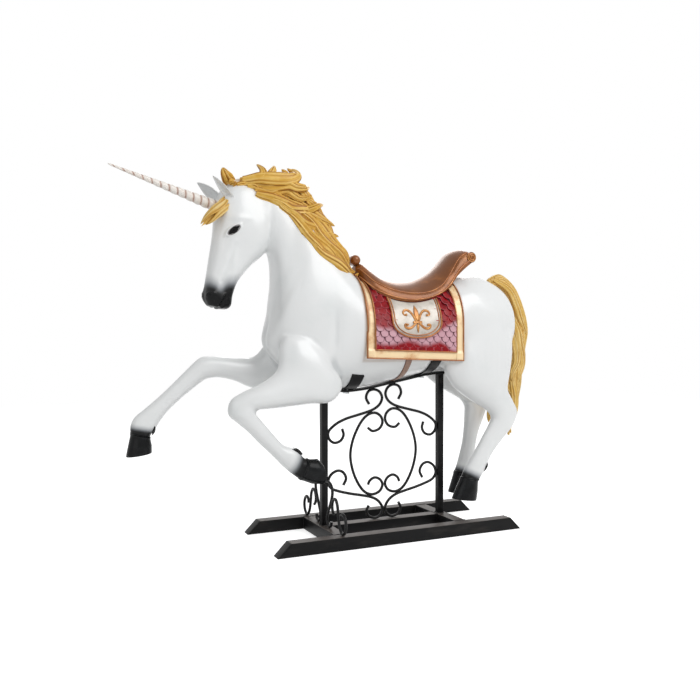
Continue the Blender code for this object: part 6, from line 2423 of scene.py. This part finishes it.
@dataclass
class Saddle:
    """The moulded saddle: seat, pommel knob, cantle scroll and beaded skirt.

    Attributes:
        bead: Radius of the bead on the skirt's edge.
        second_bead: Radius of the thinner bead above it.
        bead_gap: Distance between the two beads.
        blanket: Height of the cloth it sits on.
        scroll: Radius of the scroll on each end of the cantle roll.
        scroll_turns: Turns of that scroll.
        scroll_start: Angle at which it begins.
    """

    bead: float = 0.0036
    second_bead: float = 0.0022
    bead_gap: float = 0.011
    blanket: float = 0.0086
    scroll: float = 0.0026
    scroll_turns: float = 2.2
    scroll_start: float = 2.4

    def __post_init__(self) -> None:
        """Draws the dense outline."""
        self.rows = smooth_rows(SADDLE, 8)

    def edge_low(self, x: float) -> float:
        """Tells how free of the back the underside is, from 0 to 1."""
        return max(0.0, x - CANTLE_FREE_X) / (SADDLE[-1][0] - CANTLE_FREE_X)

    def levels(self, row: np.ndarray, u: float) -> tuple[float, float]:
        """Gives the heights of the underside and of the seat at a place.

        Args:
            row: The station's x, seat height, half width and edge height.
            u: Place across it, from -1 to 1.

        Returns:
            The lower and the upper height.
        """
        x, seat, half, edge = row
        low = BODY.top_z(x, half * u, self.blanket)
        low += (CANTLE_UNDERSIDE_Z - low) * self.edge_low(x)
        high = max(seat - (seat - edge) * abs(u) ** 2.2, low + 0.004)
        roll = 1 - 0.35 * max(0.0, (abs(u) - 0.82) / 0.18) ** 2
        return low, low + (high - low) * roll

    def seat(self) -> None:
        """Makes the seat from a fine grid."""
        columns = 45
        inner, outer, top, rubbed = [], [], [], []
        for row in self.rows:
            x, seat, half, _ = row
            first, second = [], []
            for u in np.linspace(-1, 1, columns):
                low, high = self.levels(row, u)
                first.append((x, half * u, low - AIR))
                second.append((x, half * u, high))
                # Paler, greyer colour along the top of the seat; bright orange along the skirts' edges and high on the
                # cantle
                top.append(1 - abs(u) ** 1.4 * 1.25)
                rubbed.append(max(0.0, (abs(u) - 0.72) / 0.28) * 0.35 + 0.5 * max(0.0, (seat - 1.12) / 0.04))
            inner.append(first)
            outer.append(second)
        blank = np.zeros(len(top))
        values = {"top": np.concatenate([blank, top]), "rubbed": np.concatenate([blank, rubbed])}
        skin = sheet_skin(inner, outer)
        fix(make_piece("saddle_seat", skin, FINISHES.saddle, values, 60), Slot.SADDLE, "saddle")

    def rim_path(self, side: Side, inward: float) -> np.ndarray:
        """Follows the skirt's edge from pommel to cantle.

        Args:
            side: Side of the saddle.
            inward: Distance up from the edge.

        Returns:
            Points of the bead's middle.
        """
        path = []
        for row in self.rows[2:-2]:
            x, _, half, _ = row
            u = 1 - inward / half
            low, high = self.levels(row, u)
            if inward == 0:
                path.append((x, side.value * (half * u + 0.001), (low + high) / 2))
            else:
                path.append((x, side.value * half * u, high + 0.0004))
        return np.array(path)

    def beads(self, grower: Grower) -> None:
        """Makes the double bead along both skirts.

        Args:
            grower: The trees.
        """
        thick = [self.rim_path(side, 0.0) for side in Side]
        thin = [self.rim_path(side, self.bead_gap) for side in Side]
        fix(grower.rods("skirt_bead", thick, self.bead, FINISHES.bead, 12), Slot.SADDLE)
        fix(grower.rods("skirt_inner_bead", thin, self.second_bead, FINISHES.bead, 10), Slot.SADDLE)

    @staticmethod
    def roll(place: tuple[float, ...], sides: int = 40) -> tuple[np.ndarray, list, np.ndarray]:
        """Shapes a roll across the saddle with domed ends.

        Args:
            place: x, z, radius, half length and how far each end is domed.
            sides: Points round it.

        Returns:
            Points, faces, and how much of the bright orange each point takes.
        """
        x, z, radius, half, dome = place
        angles = math.tau * np.arange(sides) / sides
        rings, rubbed = [], []
        bends = np.linspace(0.06, math.pi / 2, 12)
        for end, bend in [(-1, b) for b in bends] + [(1, b) for b in bends[::-1]]:
            reach = radius * math.sin(bend)
            y = end * (half - dome * (1 - math.cos(bend)))
            rings.append(np.stack([x + reach * np.cos(angles), np.full(sides, y), z + reach * np.sin(angles)], 1))
            # Bright orange round the body of the roll, not on its domed ends
            rubbed.append(np.full(sides, 0.0 if bend < 1.3 else 0.4))
        points, faces = tube_skin(rings)
        return points, faces, np.concatenate(rubbed)

    def rolls(self, grower: Grower) -> None:
        """Makes the pommel knob, the cantle roll, and the scrolls on the roll's ends.

        Args:
            grower: The trees.
        """
        for name, place in (("pommel_knob", POMMEL_ROLL), ("cantle_roll", CANTLE_ROLL)):
            points, faces, rubbed = self.roll(place)
            values = {"rubbed": rubbed, "top": np.zeros(len(points))}
            fix(make_piece(name, (points, faces), FINISHES.saddle, values), Slot.SADDLE)
        x, z, radius, half, dome = CANTLE_ROLL
        turn = np.linspace(0, self.scroll_turns * math.tau, 60)
        reach = radius * (0.92 - 0.30 * turn / math.tau)
        face = half - dome * (1 - np.sqrt(1 - (reach / radius) ** 2)) + AIR
        wide, tall = x + reach * np.cos(turn + self.scroll_start), z + reach * np.sin(turn + self.scroll_start)
        paths = [np.stack([wide, side.value * face, tall], 1) for side in Side]
        fix(grower.rods("cantle_roll_scroll", paths, self.scroll, FINISHES.ornament, 8), Slot.SADDLE)

    def build(self, grower: Grower) -> None:
        """Makes the whole saddle.

        Args:
            grower: The trees.
        """
        self.seat()
        self.beads(grower)
        self.rolls(grower)


@dataclass
class Shields:
    """Pearl shields with a double bead, and the gilded three-petal ornament on each.

    Attributes:
        base: Height of the shield's face above the skin.
        bead: Radius of the outer bead.
        inner_bead: Radius of the inner bead.
        bead_gap: Distance between the two.
        relief: Height of the ornament.
        stem: Half the width of its curls.
        knob_radius: Radius of the knob at a curl's end.
        knob_sides: Points round that knob.
        spread: How far its curls are drawn apart.
        skirt_gap: How far below the skirt the shield begins.
        leaf: Middle petal, as x and z from the ornament's middle.
        band: Band across it.
        point: Lower point.
        curls: Curled petals of the rear half.
    """

    base: float = 0.0132
    bead: float = 0.0034
    inner_bead: float = 0.0022
    bead_gap: float = 0.011
    relief: float = 0.0034
    skirt_gap: float = 0.004
    stem: float = 0.0050
    knob_radius: float = 0.0052
    knob_sides: int = 14
    spread: float = 1.12
    leaf: tuple[tuple[float, float], ...] = (
        (0.0, 0.054), (0.0085, 0.036), (0.0105, 0.016), (0.006, -0.004), (0.0, -0.010), (-0.006, -0.004),
        (-0.0105, 0.016), (-0.0085, 0.036),
    )
    band: tuple[tuple[float, float], ...] = (
        (-0.018, -0.009), (0.018, -0.009), (0.020, -0.0135), (0.018, -0.018), (-0.018, -0.018), (-0.020, -0.0135),
    )
    point: tuple[tuple[float, float], ...] = (
        (0.0, -0.018), (0.0055, -0.026), (0.005, -0.040), (0.0, -0.055), (-0.005, -0.040), (-0.0055, -0.026),
    )
    curls: tuple[tuple[tuple[float, float], ...], ...] = (
        (
            (0.006, -0.010), (0.012, 0.008), (0.021, 0.024), (0.034, 0.033), (0.047, 0.030), (0.051, 0.019),
            (0.044, 0.013), (0.038, 0.018),
        ),
        (
            (0.006, -0.018), (0.013, -0.024), (0.024, -0.034), (0.037, -0.038), (0.048, -0.033), (0.050, -0.024),
            (0.043, -0.021), (0.039, -0.026),
        ),
    )

    def column(self, share: float, inset: float) -> tuple[float, float, float]:
        """Gives a shield's x and its lower and upper height at a share of its width.

        Args:
            share: From -1 at the front to 1 at the rear.
            inset: Distance kept from the outline.

        Returns:
            x, lowest z and highest z.
        """
        x = SHIELD_X + (SHIELD_HALF_WIDTH - inset) * share
        rows = smooth_rows(SADDLE, 4)
        half = float(np.interp(x, rows[:, 0], rows[:, 2]))
        top = BODY.top_z(x, half, 0.0078) - self.skirt_gap
        low = SHIELD_BOTTOM_Z + inset + SHIELD_ROUNDING * (1 - math.sqrt(max(0.0, 1 - abs(share) ** 2.2)))
        return x, low, top

    def panel(self, side: Side) -> None:
        """Makes one shield.

        Args:
            side: Side of the figure.
        """
        inner, outer, edge = [], [], []
        for share in np.sin(np.linspace(-1, 1, 41) * math.pi / 2):
            x, low, top = self.column(float(share), 0.0)
            first, second = [], []
            for k in np.linspace(0, 1, 25):
                z = low + (top - low) * k
                first.append((x, side.value * BODY.side_y(x, z, 0.0045), z))
                second.append((x, side.value * BODY.side_y(x, z, self.base - 0.002), z))
                edge.append(np.clip(1 - min((z - low), (1 - abs(share)) * SHIELD_HALF_WIDTH) / 0.022, 0, 1))
            inner.append(first)
            outer.append(second)
        values = {"edge": np.concatenate([np.zeros(len(edge)), edge])}
        name = f"{side.name.lower()}_shield"
        skin = sheet_skin(inner, outer)
        fix(make_piece(name + "_panel", skin, FINISHES.pearl, values, 60), Slot.SHIELD, name)

    def outline(self, side: Side, inset: float, grow: float) -> np.ndarray:
        """Walks down the front edge, round the bottom and up the rear edge.

        Args:
            side: Side of the figure.
            inset: Distance from the outline.
            grow: Height above the skin.

        Returns:
            Points of the bead.
        """
        path = []
        x, low, top = self.column(-1.0, inset)
        path += [(x, z) for z in np.linspace(top, low, 12)[:-1]]
        for share in np.sin(np.linspace(-1, 1, 50) * math.pi / 2):
            x, low, _ = self.column(float(share), inset)
            path.append((x, low))
        x, low, top = self.column(1.0, inset)
        path += [(x, z) for z in np.linspace(low, top, 12)[1:]]
        return np.array([(x, side.value * BODY.side_y(x, z, grow), z) for x, z in path])

    def on_face(self, side: Side, dx: float, dz: float, rise: float) -> tuple[float, float, float]:
        """Places a point on the shield's face."""
        x, z = SHIELD_X + dx, FLEURON_Z + dz
        return x, side.value * (BODY.side_y(x, z, self.base - 0.002) + rise), z

    def knob(self, side: Side, middle: np.ndarray) -> Skin:
        """Shapes the flat knob that ends a curl.

        Args:
            side: Side of the figure.
            middle: Its middle.

        Returns:
            Points and faces.
        """
        angles = math.tau * np.arange(self.knob_sides) / self.knob_sides
        rings = []
        for bend in np.linspace(-math.pi / 2, math.pi / 2, 9):
            reach = self.knob_radius * max(0.08, math.cos(bend))
            depth = np.full(self.knob_sides, side.value * (0.0012 + 0.0038 * math.sin(bend)))
            rings.append(middle + np.stack([reach * np.cos(angles), depth, reach * np.sin(angles)], 1))
        return tube_skin(rings)

    def ornament(self, side: Side) -> None:
        """Makes the raised three-petal ornament.

        Args:
            side: Side of the figure.
        """
        skins, edges = [], []
        for shape in (self.leaf, self.band, self.point):
            ring = smooth_rows([*shape, shape[0]], 5)[:-1]
            middle = ring.mean(0)
            rings = []
            for shrink, rise in (
                (1.06, -0.0010), (1.0, 0.0012), (0.90, 0.0026), (0.70, self.relief), (0.35, self.relief + 0.0006),
            ):
                rings.append([self.on_face(side, dx, dz, rise) for dx, dz in middle + (ring - middle) * shrink])
                edges += [1.0 if shrink > 0.95 else 0.15] * len(ring)
            skins.append(tube_skin(list(np.array(rings))))
        for curl, mirror in ((curl, mirror) for curl in self.curls for mirror in (-1, 1)):
            path = [self.on_face(side, mirror * dx * self.spread, dz, 0.0008) for dx, dz in smooth_rows(curl, 7)]
            lift = np.tile([0.0, side.value, 0.0], (len(path), 1))
            stem = lock_skin(np.array(path), lift, self.stem, self.stem * 0.8, 1, 0.8)
            skins.append(stem[:2])
            edges += [0.5 if g > 0.6 else 0.0 for g in stem[2]]
            skins.append(self.knob(side, np.array(path[-4])))
            edges += [0.0] * len(skins[-1][0])
        name = f"{side.name.lower()}_fleuron"
        piece = make_piece(name + "_relief", joined(skins), FINISHES.ornament, {"edge": np.array(edges)}, 65)
        fix(piece, Slot.ORNAMENT, name)

    def build(self, grower: Grower) -> None:
        """Makes both shields.

        Args:
            grower: The trees.
        """
        for side in Side:
            self.panel(side)
            self.ornament(side)
        for name, inset, radius in (
            ("shield_bead", 0.001, self.bead), ("shield_inner_bead", self.bead_gap, self.inner_bead),
        ):
            paths = [self.outline(side, inset, self.base - 0.001) for side in Side]
            fix(grower.rods(name, paths, radius, FINISHES.bead, 10), Slot.SHIELD)


@dataclass
class Girth:
    """The strap under the belly.

    Attributes:
        x: Its middle.
        width: Its width.
        thickness: Its thickness.
        top: Height of its ends, up under the blanket.
    """

    x: float = 0.036
    width: float = 0.028
    thickness: float = 0.0034
    top: float = 0.714

    def build(self) -> None:
        """Makes the strap."""
        row = BODY.row(self.x)
        share = ((row[1] + row[3]) / 2 - self.top) / ((row[1] - row[3]) / 2)
        reach = math.acos(max(-1.0, min(1.0, share)) ** (row[6] / 2))
        angles = math.pi + np.linspace(-reach, reach, 61)
        inner, outer, edge = [], [], []
        for u in (-1.0, -0.9, -0.7, -0.35, 0.0, 0.35, 0.7, 0.9, 1.0):
            x = self.x + self.width / 2 * u
            inner.append(section_points(BODY.row(x, -0.001), angles))
            outer.append(section_points(BODY.row(x, 0.0008 + self.thickness * (1 - 0.5 * abs(u) ** 8)), angles))
            edge.append(np.full(len(angles), abs(u) ** 3))
        values = {"edge": np.concatenate([np.concatenate(edge)] * 2)}
        skin = sheet_skin(inner, outer)
        fix(make_piece("girth_band", skin, FINISHES.strap, values, 60), Slot.STRAP, "girth_strap")


@dataclass
class Stand:
    """The welded stand: floor tubes, posts, cradle and bent scroll rods.

    Attributes:
        corner: Radius of a tube's corners.
        sharp_corner: Radius of the corners of posts, bars and plates.
        rod_radius: Radius of the bent rod.
        bead_radius: Radius of a weld ripple.
        bead_pitch: Distance between two ripples.
        post_x: Distance of each post from the middle.
        post_half: Half the side of a post, with its weld.
        tube: Height of the floor tubes.
        bar_height: Thickness of the belly bar.
        runner_y: Distance from the middle at which a cross tube meets a runner.
        cross_x: Distance from the middle at which the centre tube meets a cross tube.
        touches: x and z where the scroll rods touch the posts.
        scroll_top: Drawn x, shift and height of the scrolls' highest point, which is fitted to the belly bar.
    """

    corner: float = 0.0022
    sharp_corner: float = 0.0008
    rod_radius: float = 0.0056
    bead_radius: float = 0.0022
    bead_pitch: float = 0.0022
    post_x: float = 0.265
    post_half: float = 0.0135
    tube: float = 0.050
    bar_height: float = 0.008
    runner_y: float = 0.1595
    cross_x: float = 0.2405
    touches: tuple[tuple[float, float], ...] = ((-0.2515, 0.219), (0.2515, 0.219), (-0.2500, 0.42), (0.2500, 0.42))
    scroll_top: tuple[float, float, float] = (0.045, 0.012, 0.591)

    def bar(self, name: str, nodes: Sequence[str], floor_tube: bool) -> None:
        """Makes a square tube with soft corners from its node's box.

        Args:
            name: Name of the piece.
            nodes: Nodes that it stands for, the first one giving its shape.
            floor_tube: Whether it is a floor tube, with softer corners and a painted sheen on its upper face.
        """
        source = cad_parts[nodes[0]]
        mesh = source.data.copy()
        offset = self.corner if floor_tube else self.sharp_corner
        with edited(mesh) as bm:
            bm.transform(source.matrix_world)
            bmesh.ops.remove_doubles(bm, verts=bm.verts, dist=1e-5)
            bmesh.ops.dissolve_limit(bm, angle_limit=math.radians(2), verts=bm.verts, edges=bm.edges)
            edges = [e for e in bm.edges if len(e.link_faces) == 2 and e.calc_face_angle(0) > math.radians(30)]
            bmesh.ops.bevel(bm, geom=edges, offset=offset, segments=3, affect="EDGES", profile=0.6)
            bmesh.ops.triangulate(bm, faces=bm.faces)
            bmesh.ops.recalc_face_normals(bm, faces=bm.faces)
        height = FigureSkin.points_of(mesh)[:, 2]
        # Painted sheen: the upper faces of the floor tubes are painted grey-brown, as if lit from above
        on_top = (height < self.tube + 0.002) * floor_tube
        keep_values(mesh, "worn", np.clip((height - self.tube + 0.0008) / 0.0006, 0, 1) * on_top)
        fix(dress(new_object(name, mesh), FINISHES.stand, 40), Slot.STAND, *nodes)

    def scroll(self, drawn: Sequence[tuple[float, float]], end: int) -> np.ndarray:
        """Fits a drawn scroll between the posts.

        Args:
            drawn: x and z of the rod's middle.
            end: -1 for the front half, 1 for the rear.

        Returns:
            Dense points of the rod.
        """
        drawn_x, shift, drawn_top = self.scroll_top
        top = BODY.bar_top(end * drawn_x - shift) - self.bar_height - AIR - self.rod_radius
        tall = (top - self.tube) / (drawn_top - self.tube)
        low = self.tube + self.rod_radius + AIR
        return smooth_rows([(end * x, 0.0, max(low, self.tube + (z - self.tube) * tall)) for x, z in drawn], 8)

    def rods(self, grower: Grower) -> None:
        """Bends all the rods.

        Args:
            grower: The trees.
        """
        for end, word in ((-1, "front"), (1, "rear")):
            for kind, drawn in (("upper", UPPER_SCROLL), ("oval", OVAL_SCROLL), ("lower", LOWER_SCROLL)):
                node = f"{kind}_{word}_scroll"
                piece = grower.rods(node + "_rod", [self.scroll(drawn, end)], self.rod_radius, FINISHES.rod, 20)
                fix(piece, Slot.STAND, node)
        for side in Side:
            for kind, drawn in (("post", POST_SCROLL), ("outer", OUTER_SCROLL)):
                node = f"{side.name.lower()}_{kind}_scroll"
                path = smooth_rows([(-self.post_x, side.value * y, z) for y, z in drawn], 8)
                fix(grower.rods(node + "_rod", [path], self.rod_radius, FINISHES.rod, 20), Slot.STAND, node)

    def welds(self, grower: Grower) -> None:
        """Lays weld beads round the posts' feet and where rods touch the tubes.

        Args:
            grower: The trees.
        """
        paths = []
        z = self.tube + AIR
        for x in (-self.post_x, self.post_x):
            corners = [(-1, -1), (1, -1), (1, 1), (-1, 1), (-1, -1)]
            for height in (z, BODY.bar_top(x) - 0.0095):
                paths.append([(x + self.post_half * u, self.post_half * v, height) for u, v in corners])
            for y in (-self.runner_y, self.runner_y):
                paths.append([(x - 0.024, y, z - 0.001), (x + 0.024, y, z - 0.001)])
                for drop in (-0.025, 0.025):
                    paths.append([(x + drop, y, 0.004), (x + drop, y, 0.048)])
        for x in (-self.cross_x, self.cross_x):
            paths.append([(x, -0.024, self.tube - 0.0004), (x, 0.024, self.tube - 0.0004)])
        for x, z in self.touches:
            for y in (-0.003, 0.003):
                paths.append([(x, y, z - 0.008), (x, y, z + 0.008)])
        sizes = {"Pitch": self.bead_pitch, "Radius": self.bead_radius, "Seed": 7}
        base = point_base("weld_lines", [np.array(path) for path in paths])
        fix(grower.grow(grower.bead_tree, base, "weld_beads", FINISHES.rod, sizes), Slot.STAND)

    def build(self, grower: Grower) -> None:
        """Makes the whole stand.

        Args:
            grower: The trees.
        """
        for side in Side:
            name = f"{side.name.lower()}_runner"
            self.bar(name + "_tube", [name], floor_tube=True)
            for word in ("front", "rear"):
                self.bar(f"{name}_{word}_plate", [f"{name}_{word}_end_plate"], floor_tube=False)
        for name in ("front_cross_tube", "rear_cross_tube", "centre_tube"):
            self.bar(name + "_shell", [name], floor_tube=True)
        for name in ("front_post", "rear_post", "belly_bar", "front_band", "rear_band"):
            self.bar(name + "_steel", [name], floor_tube=False)
        self.rods(grower)
        self.welds(grower)


@dataclass
class Fastenings:
    """Bolts, nuts, studs and the plate inside the belly: bare zinc-plated steel.

    Attributes:
        names: The kept nodes.
    """

    names: tuple[str, ...] = (
        "belly_mounting_plate", "horn_stud", "tail_stud", "mounting_bolt_1", "mounting_bolt_2", "mounting_bolt_3",
        "mounting_bolt_4", "mounting_nut_1", "mounting_nut_2", "mounting_nut_3", "mounting_nut_4",
    )

    def build(self) -> None:
        """Gives the kept nodes their finish."""
        for name in self.names:
            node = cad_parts[name]
            for slot in node.material_slots:
                slot.material = FINISHES.get(FINISHES.zinc)
            LOG.info("%s: kept, in zinc", name)


@dataclass
class Stage:
    """Floor, lamps, world and camera.

    Attributes:
        floor_size: Side of the floor.
        white: Colour seen behind everything.
        camera_place: Where the camera stands.
        azimuth: Its bearing from the figure's left side.
        elevation: How far it looks down.
        lens: Its focal length in millimetres.
        sensor: Width of its sensor in millimetres.
        aim: Point that the lamps face.
        lamps: Name, place, side and power in watts of each lamp.
    """

    floor_size: float = 14.0
    white: str = "#ffffff"
    camera_place: tuple[float, float, float] = (-1.386, -2.700, 0.771)
    azimuth: float = math.radians(-24.57)
    elevation: float = math.radians(0.61)
    lens: float = 38.16
    sensor: float = 36.0
    aim: tuple[float, float, float] = (-0.1, 0, 0.75)
    lamps: tuple[tuple[str, tuple[float, float, float], float, float], ...] = (
        ("key_box", (1.4, -3.0, 3.4), 2.8, 98), ("fill_box", (-2.9, -2.2, 1.8), 2.4, 14),
        ("rim_box", (1.4, 3.0, 2.8), 2.4, 44),
    )

    def floor(self) -> None:
        """Makes a floor that camera and mirror rays see as white, but for the shadow on it."""
        mesh = bpy.data.meshes.new("studio_floor")
        half = self.floor_size / 2
        mesh.from_pydata([(-half, -half, 0), (half, -half, 0), (half, half, 0), (-half, half, 0)], [], [(0, 1, 2, 3)])
        obj = new_object("studio_floor", mesh)
        material = bpy.data.materials.new("matt_white_floor_paint")
        tree = fresh_tree(material)
        matt = add_node(tree, "ShaderNodeBsdfDiffuse", {"Color": linear("#f4f4f4")})
        glow = add_node(tree, "ShaderNodeEmission", {"Color": linear(self.white), "Strength": 0.66})
        both = add_node(tree, "ShaderNodeAddShader", {0: matt.outputs[0], 1: glow.outputs[0]})
        seen = self.seen_directly(tree)
        mixed = add_node(tree, "ShaderNodeMixShader", {0: seen, 1: matt.outputs[0], 2: both.outputs[0]})
        add_node(tree, "ShaderNodeOutputMaterial", {"Surface": mixed.outputs[0]})
        mesh.materials.append(material)

    @staticmethod
    def seen_directly(tree: bpy.types.NodeTree) -> Socket:
        """Gives 1 for camera, mirror and glass rays.

        Args:
            tree: The tree that needs it.

        Returns:
            The socket with the value.
        """
        rays = add_node(tree, "ShaderNodeLightPath").outputs
        seen = rays["Is Camera Ray"]
        for name in ("Is Glossy Ray", "Is Transmission Ray"):
            seen = add_node(tree, "ShaderNodeMath", {0: seen, 1: rays[name]}, operation="MAXIMUM").outputs[0]
        return seen

    def world(self) -> None:
        """Makes a soft grey-white world that looks white behind the object."""
        world = bpy.data.worlds.new("studio")
        bpy.context.scene.world = world
        tree = fresh_tree(world)
        soft = add_node(tree, "ShaderNodeBackground", {"Color": linear("#f3f5f5"), "Strength": 0.42})
        seen = add_node(tree, "ShaderNodeBackground", {"Color": linear(self.white), "Strength": 1.0})
        shaders = {0: self.seen_directly(tree), 1: soft.outputs[0], 2: seen.outputs[0]}
        mixed = add_node(tree, "ShaderNodeMixShader", shaders)
        add_node(tree, "ShaderNodeOutputWorld", {"Surface": mixed.outputs[0]})

    def lamp(self, name: str, place: tuple[float, float, float], size: float, power: float) -> None:
        """Hangs one soft box that faces the figure.

        Args:
            name: Its name.
            place: Where it hangs.
            size: Its side.
            power: Its power in watts.
        """
        light = bpy.data.lights.new(name, "AREA")
        light.size = size
        light.energy = power
        lamp = new_object(name, light)
        toward = Vector(self.aim) - Vector(place)
        lamp.matrix_world = Matrix.Translation(place) @ toward.to_track_quat("-Z", "Y").to_matrix().to_4x4()

    def camera(self) -> None:
        """Stands the camera at its place."""
        data = bpy.data.cameras.new("camera")
        data.lens = self.lens
        data.sensor_width = self.sensor
        data.clip_end = 60
        obj = new_object("camera", data)
        forward = Vector((
            -math.sin(self.azimuth) * math.cos(self.elevation), math.cos(self.azimuth) * math.cos(self.elevation),
            -math.sin(self.elevation),
        ))
        turn = forward.to_track_quat("-Z", "Y").to_matrix().to_4x4()
        obj.matrix_world = Matrix.Translation(self.camera_place) @ turn
        bpy.context.scene.camera = obj

    def build(self) -> None:
        """Sets everything up."""
        self.floor()
        self.world()
        for lamp in self.lamps:
            self.lamp(*lamp)
        self.camera()
        bpy.context.scene.view_settings.view_transform = "Standard"
        LOG.info("stage: floor, world, %d lamps and camera", len(self.lamps))


def main() -> None:
    """Builds every sub-assembly round the frame."""
    logging.basicConfig(level=logging.INFO, format="%(message)s")
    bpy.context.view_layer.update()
    grower = Grower()
    skin = FigureSkin().build()
    Hooves().build()
    HeadPieces().build(skin)
    Hair().build(skin)
    Blanket().build(grower)
    Saddle().build(grower)
    Shields().build(grower)
    Girth().build()
    Stand().build(grower)
    Fastenings().build()
    Stage().build()


if __name__ == "__main__":
    main()
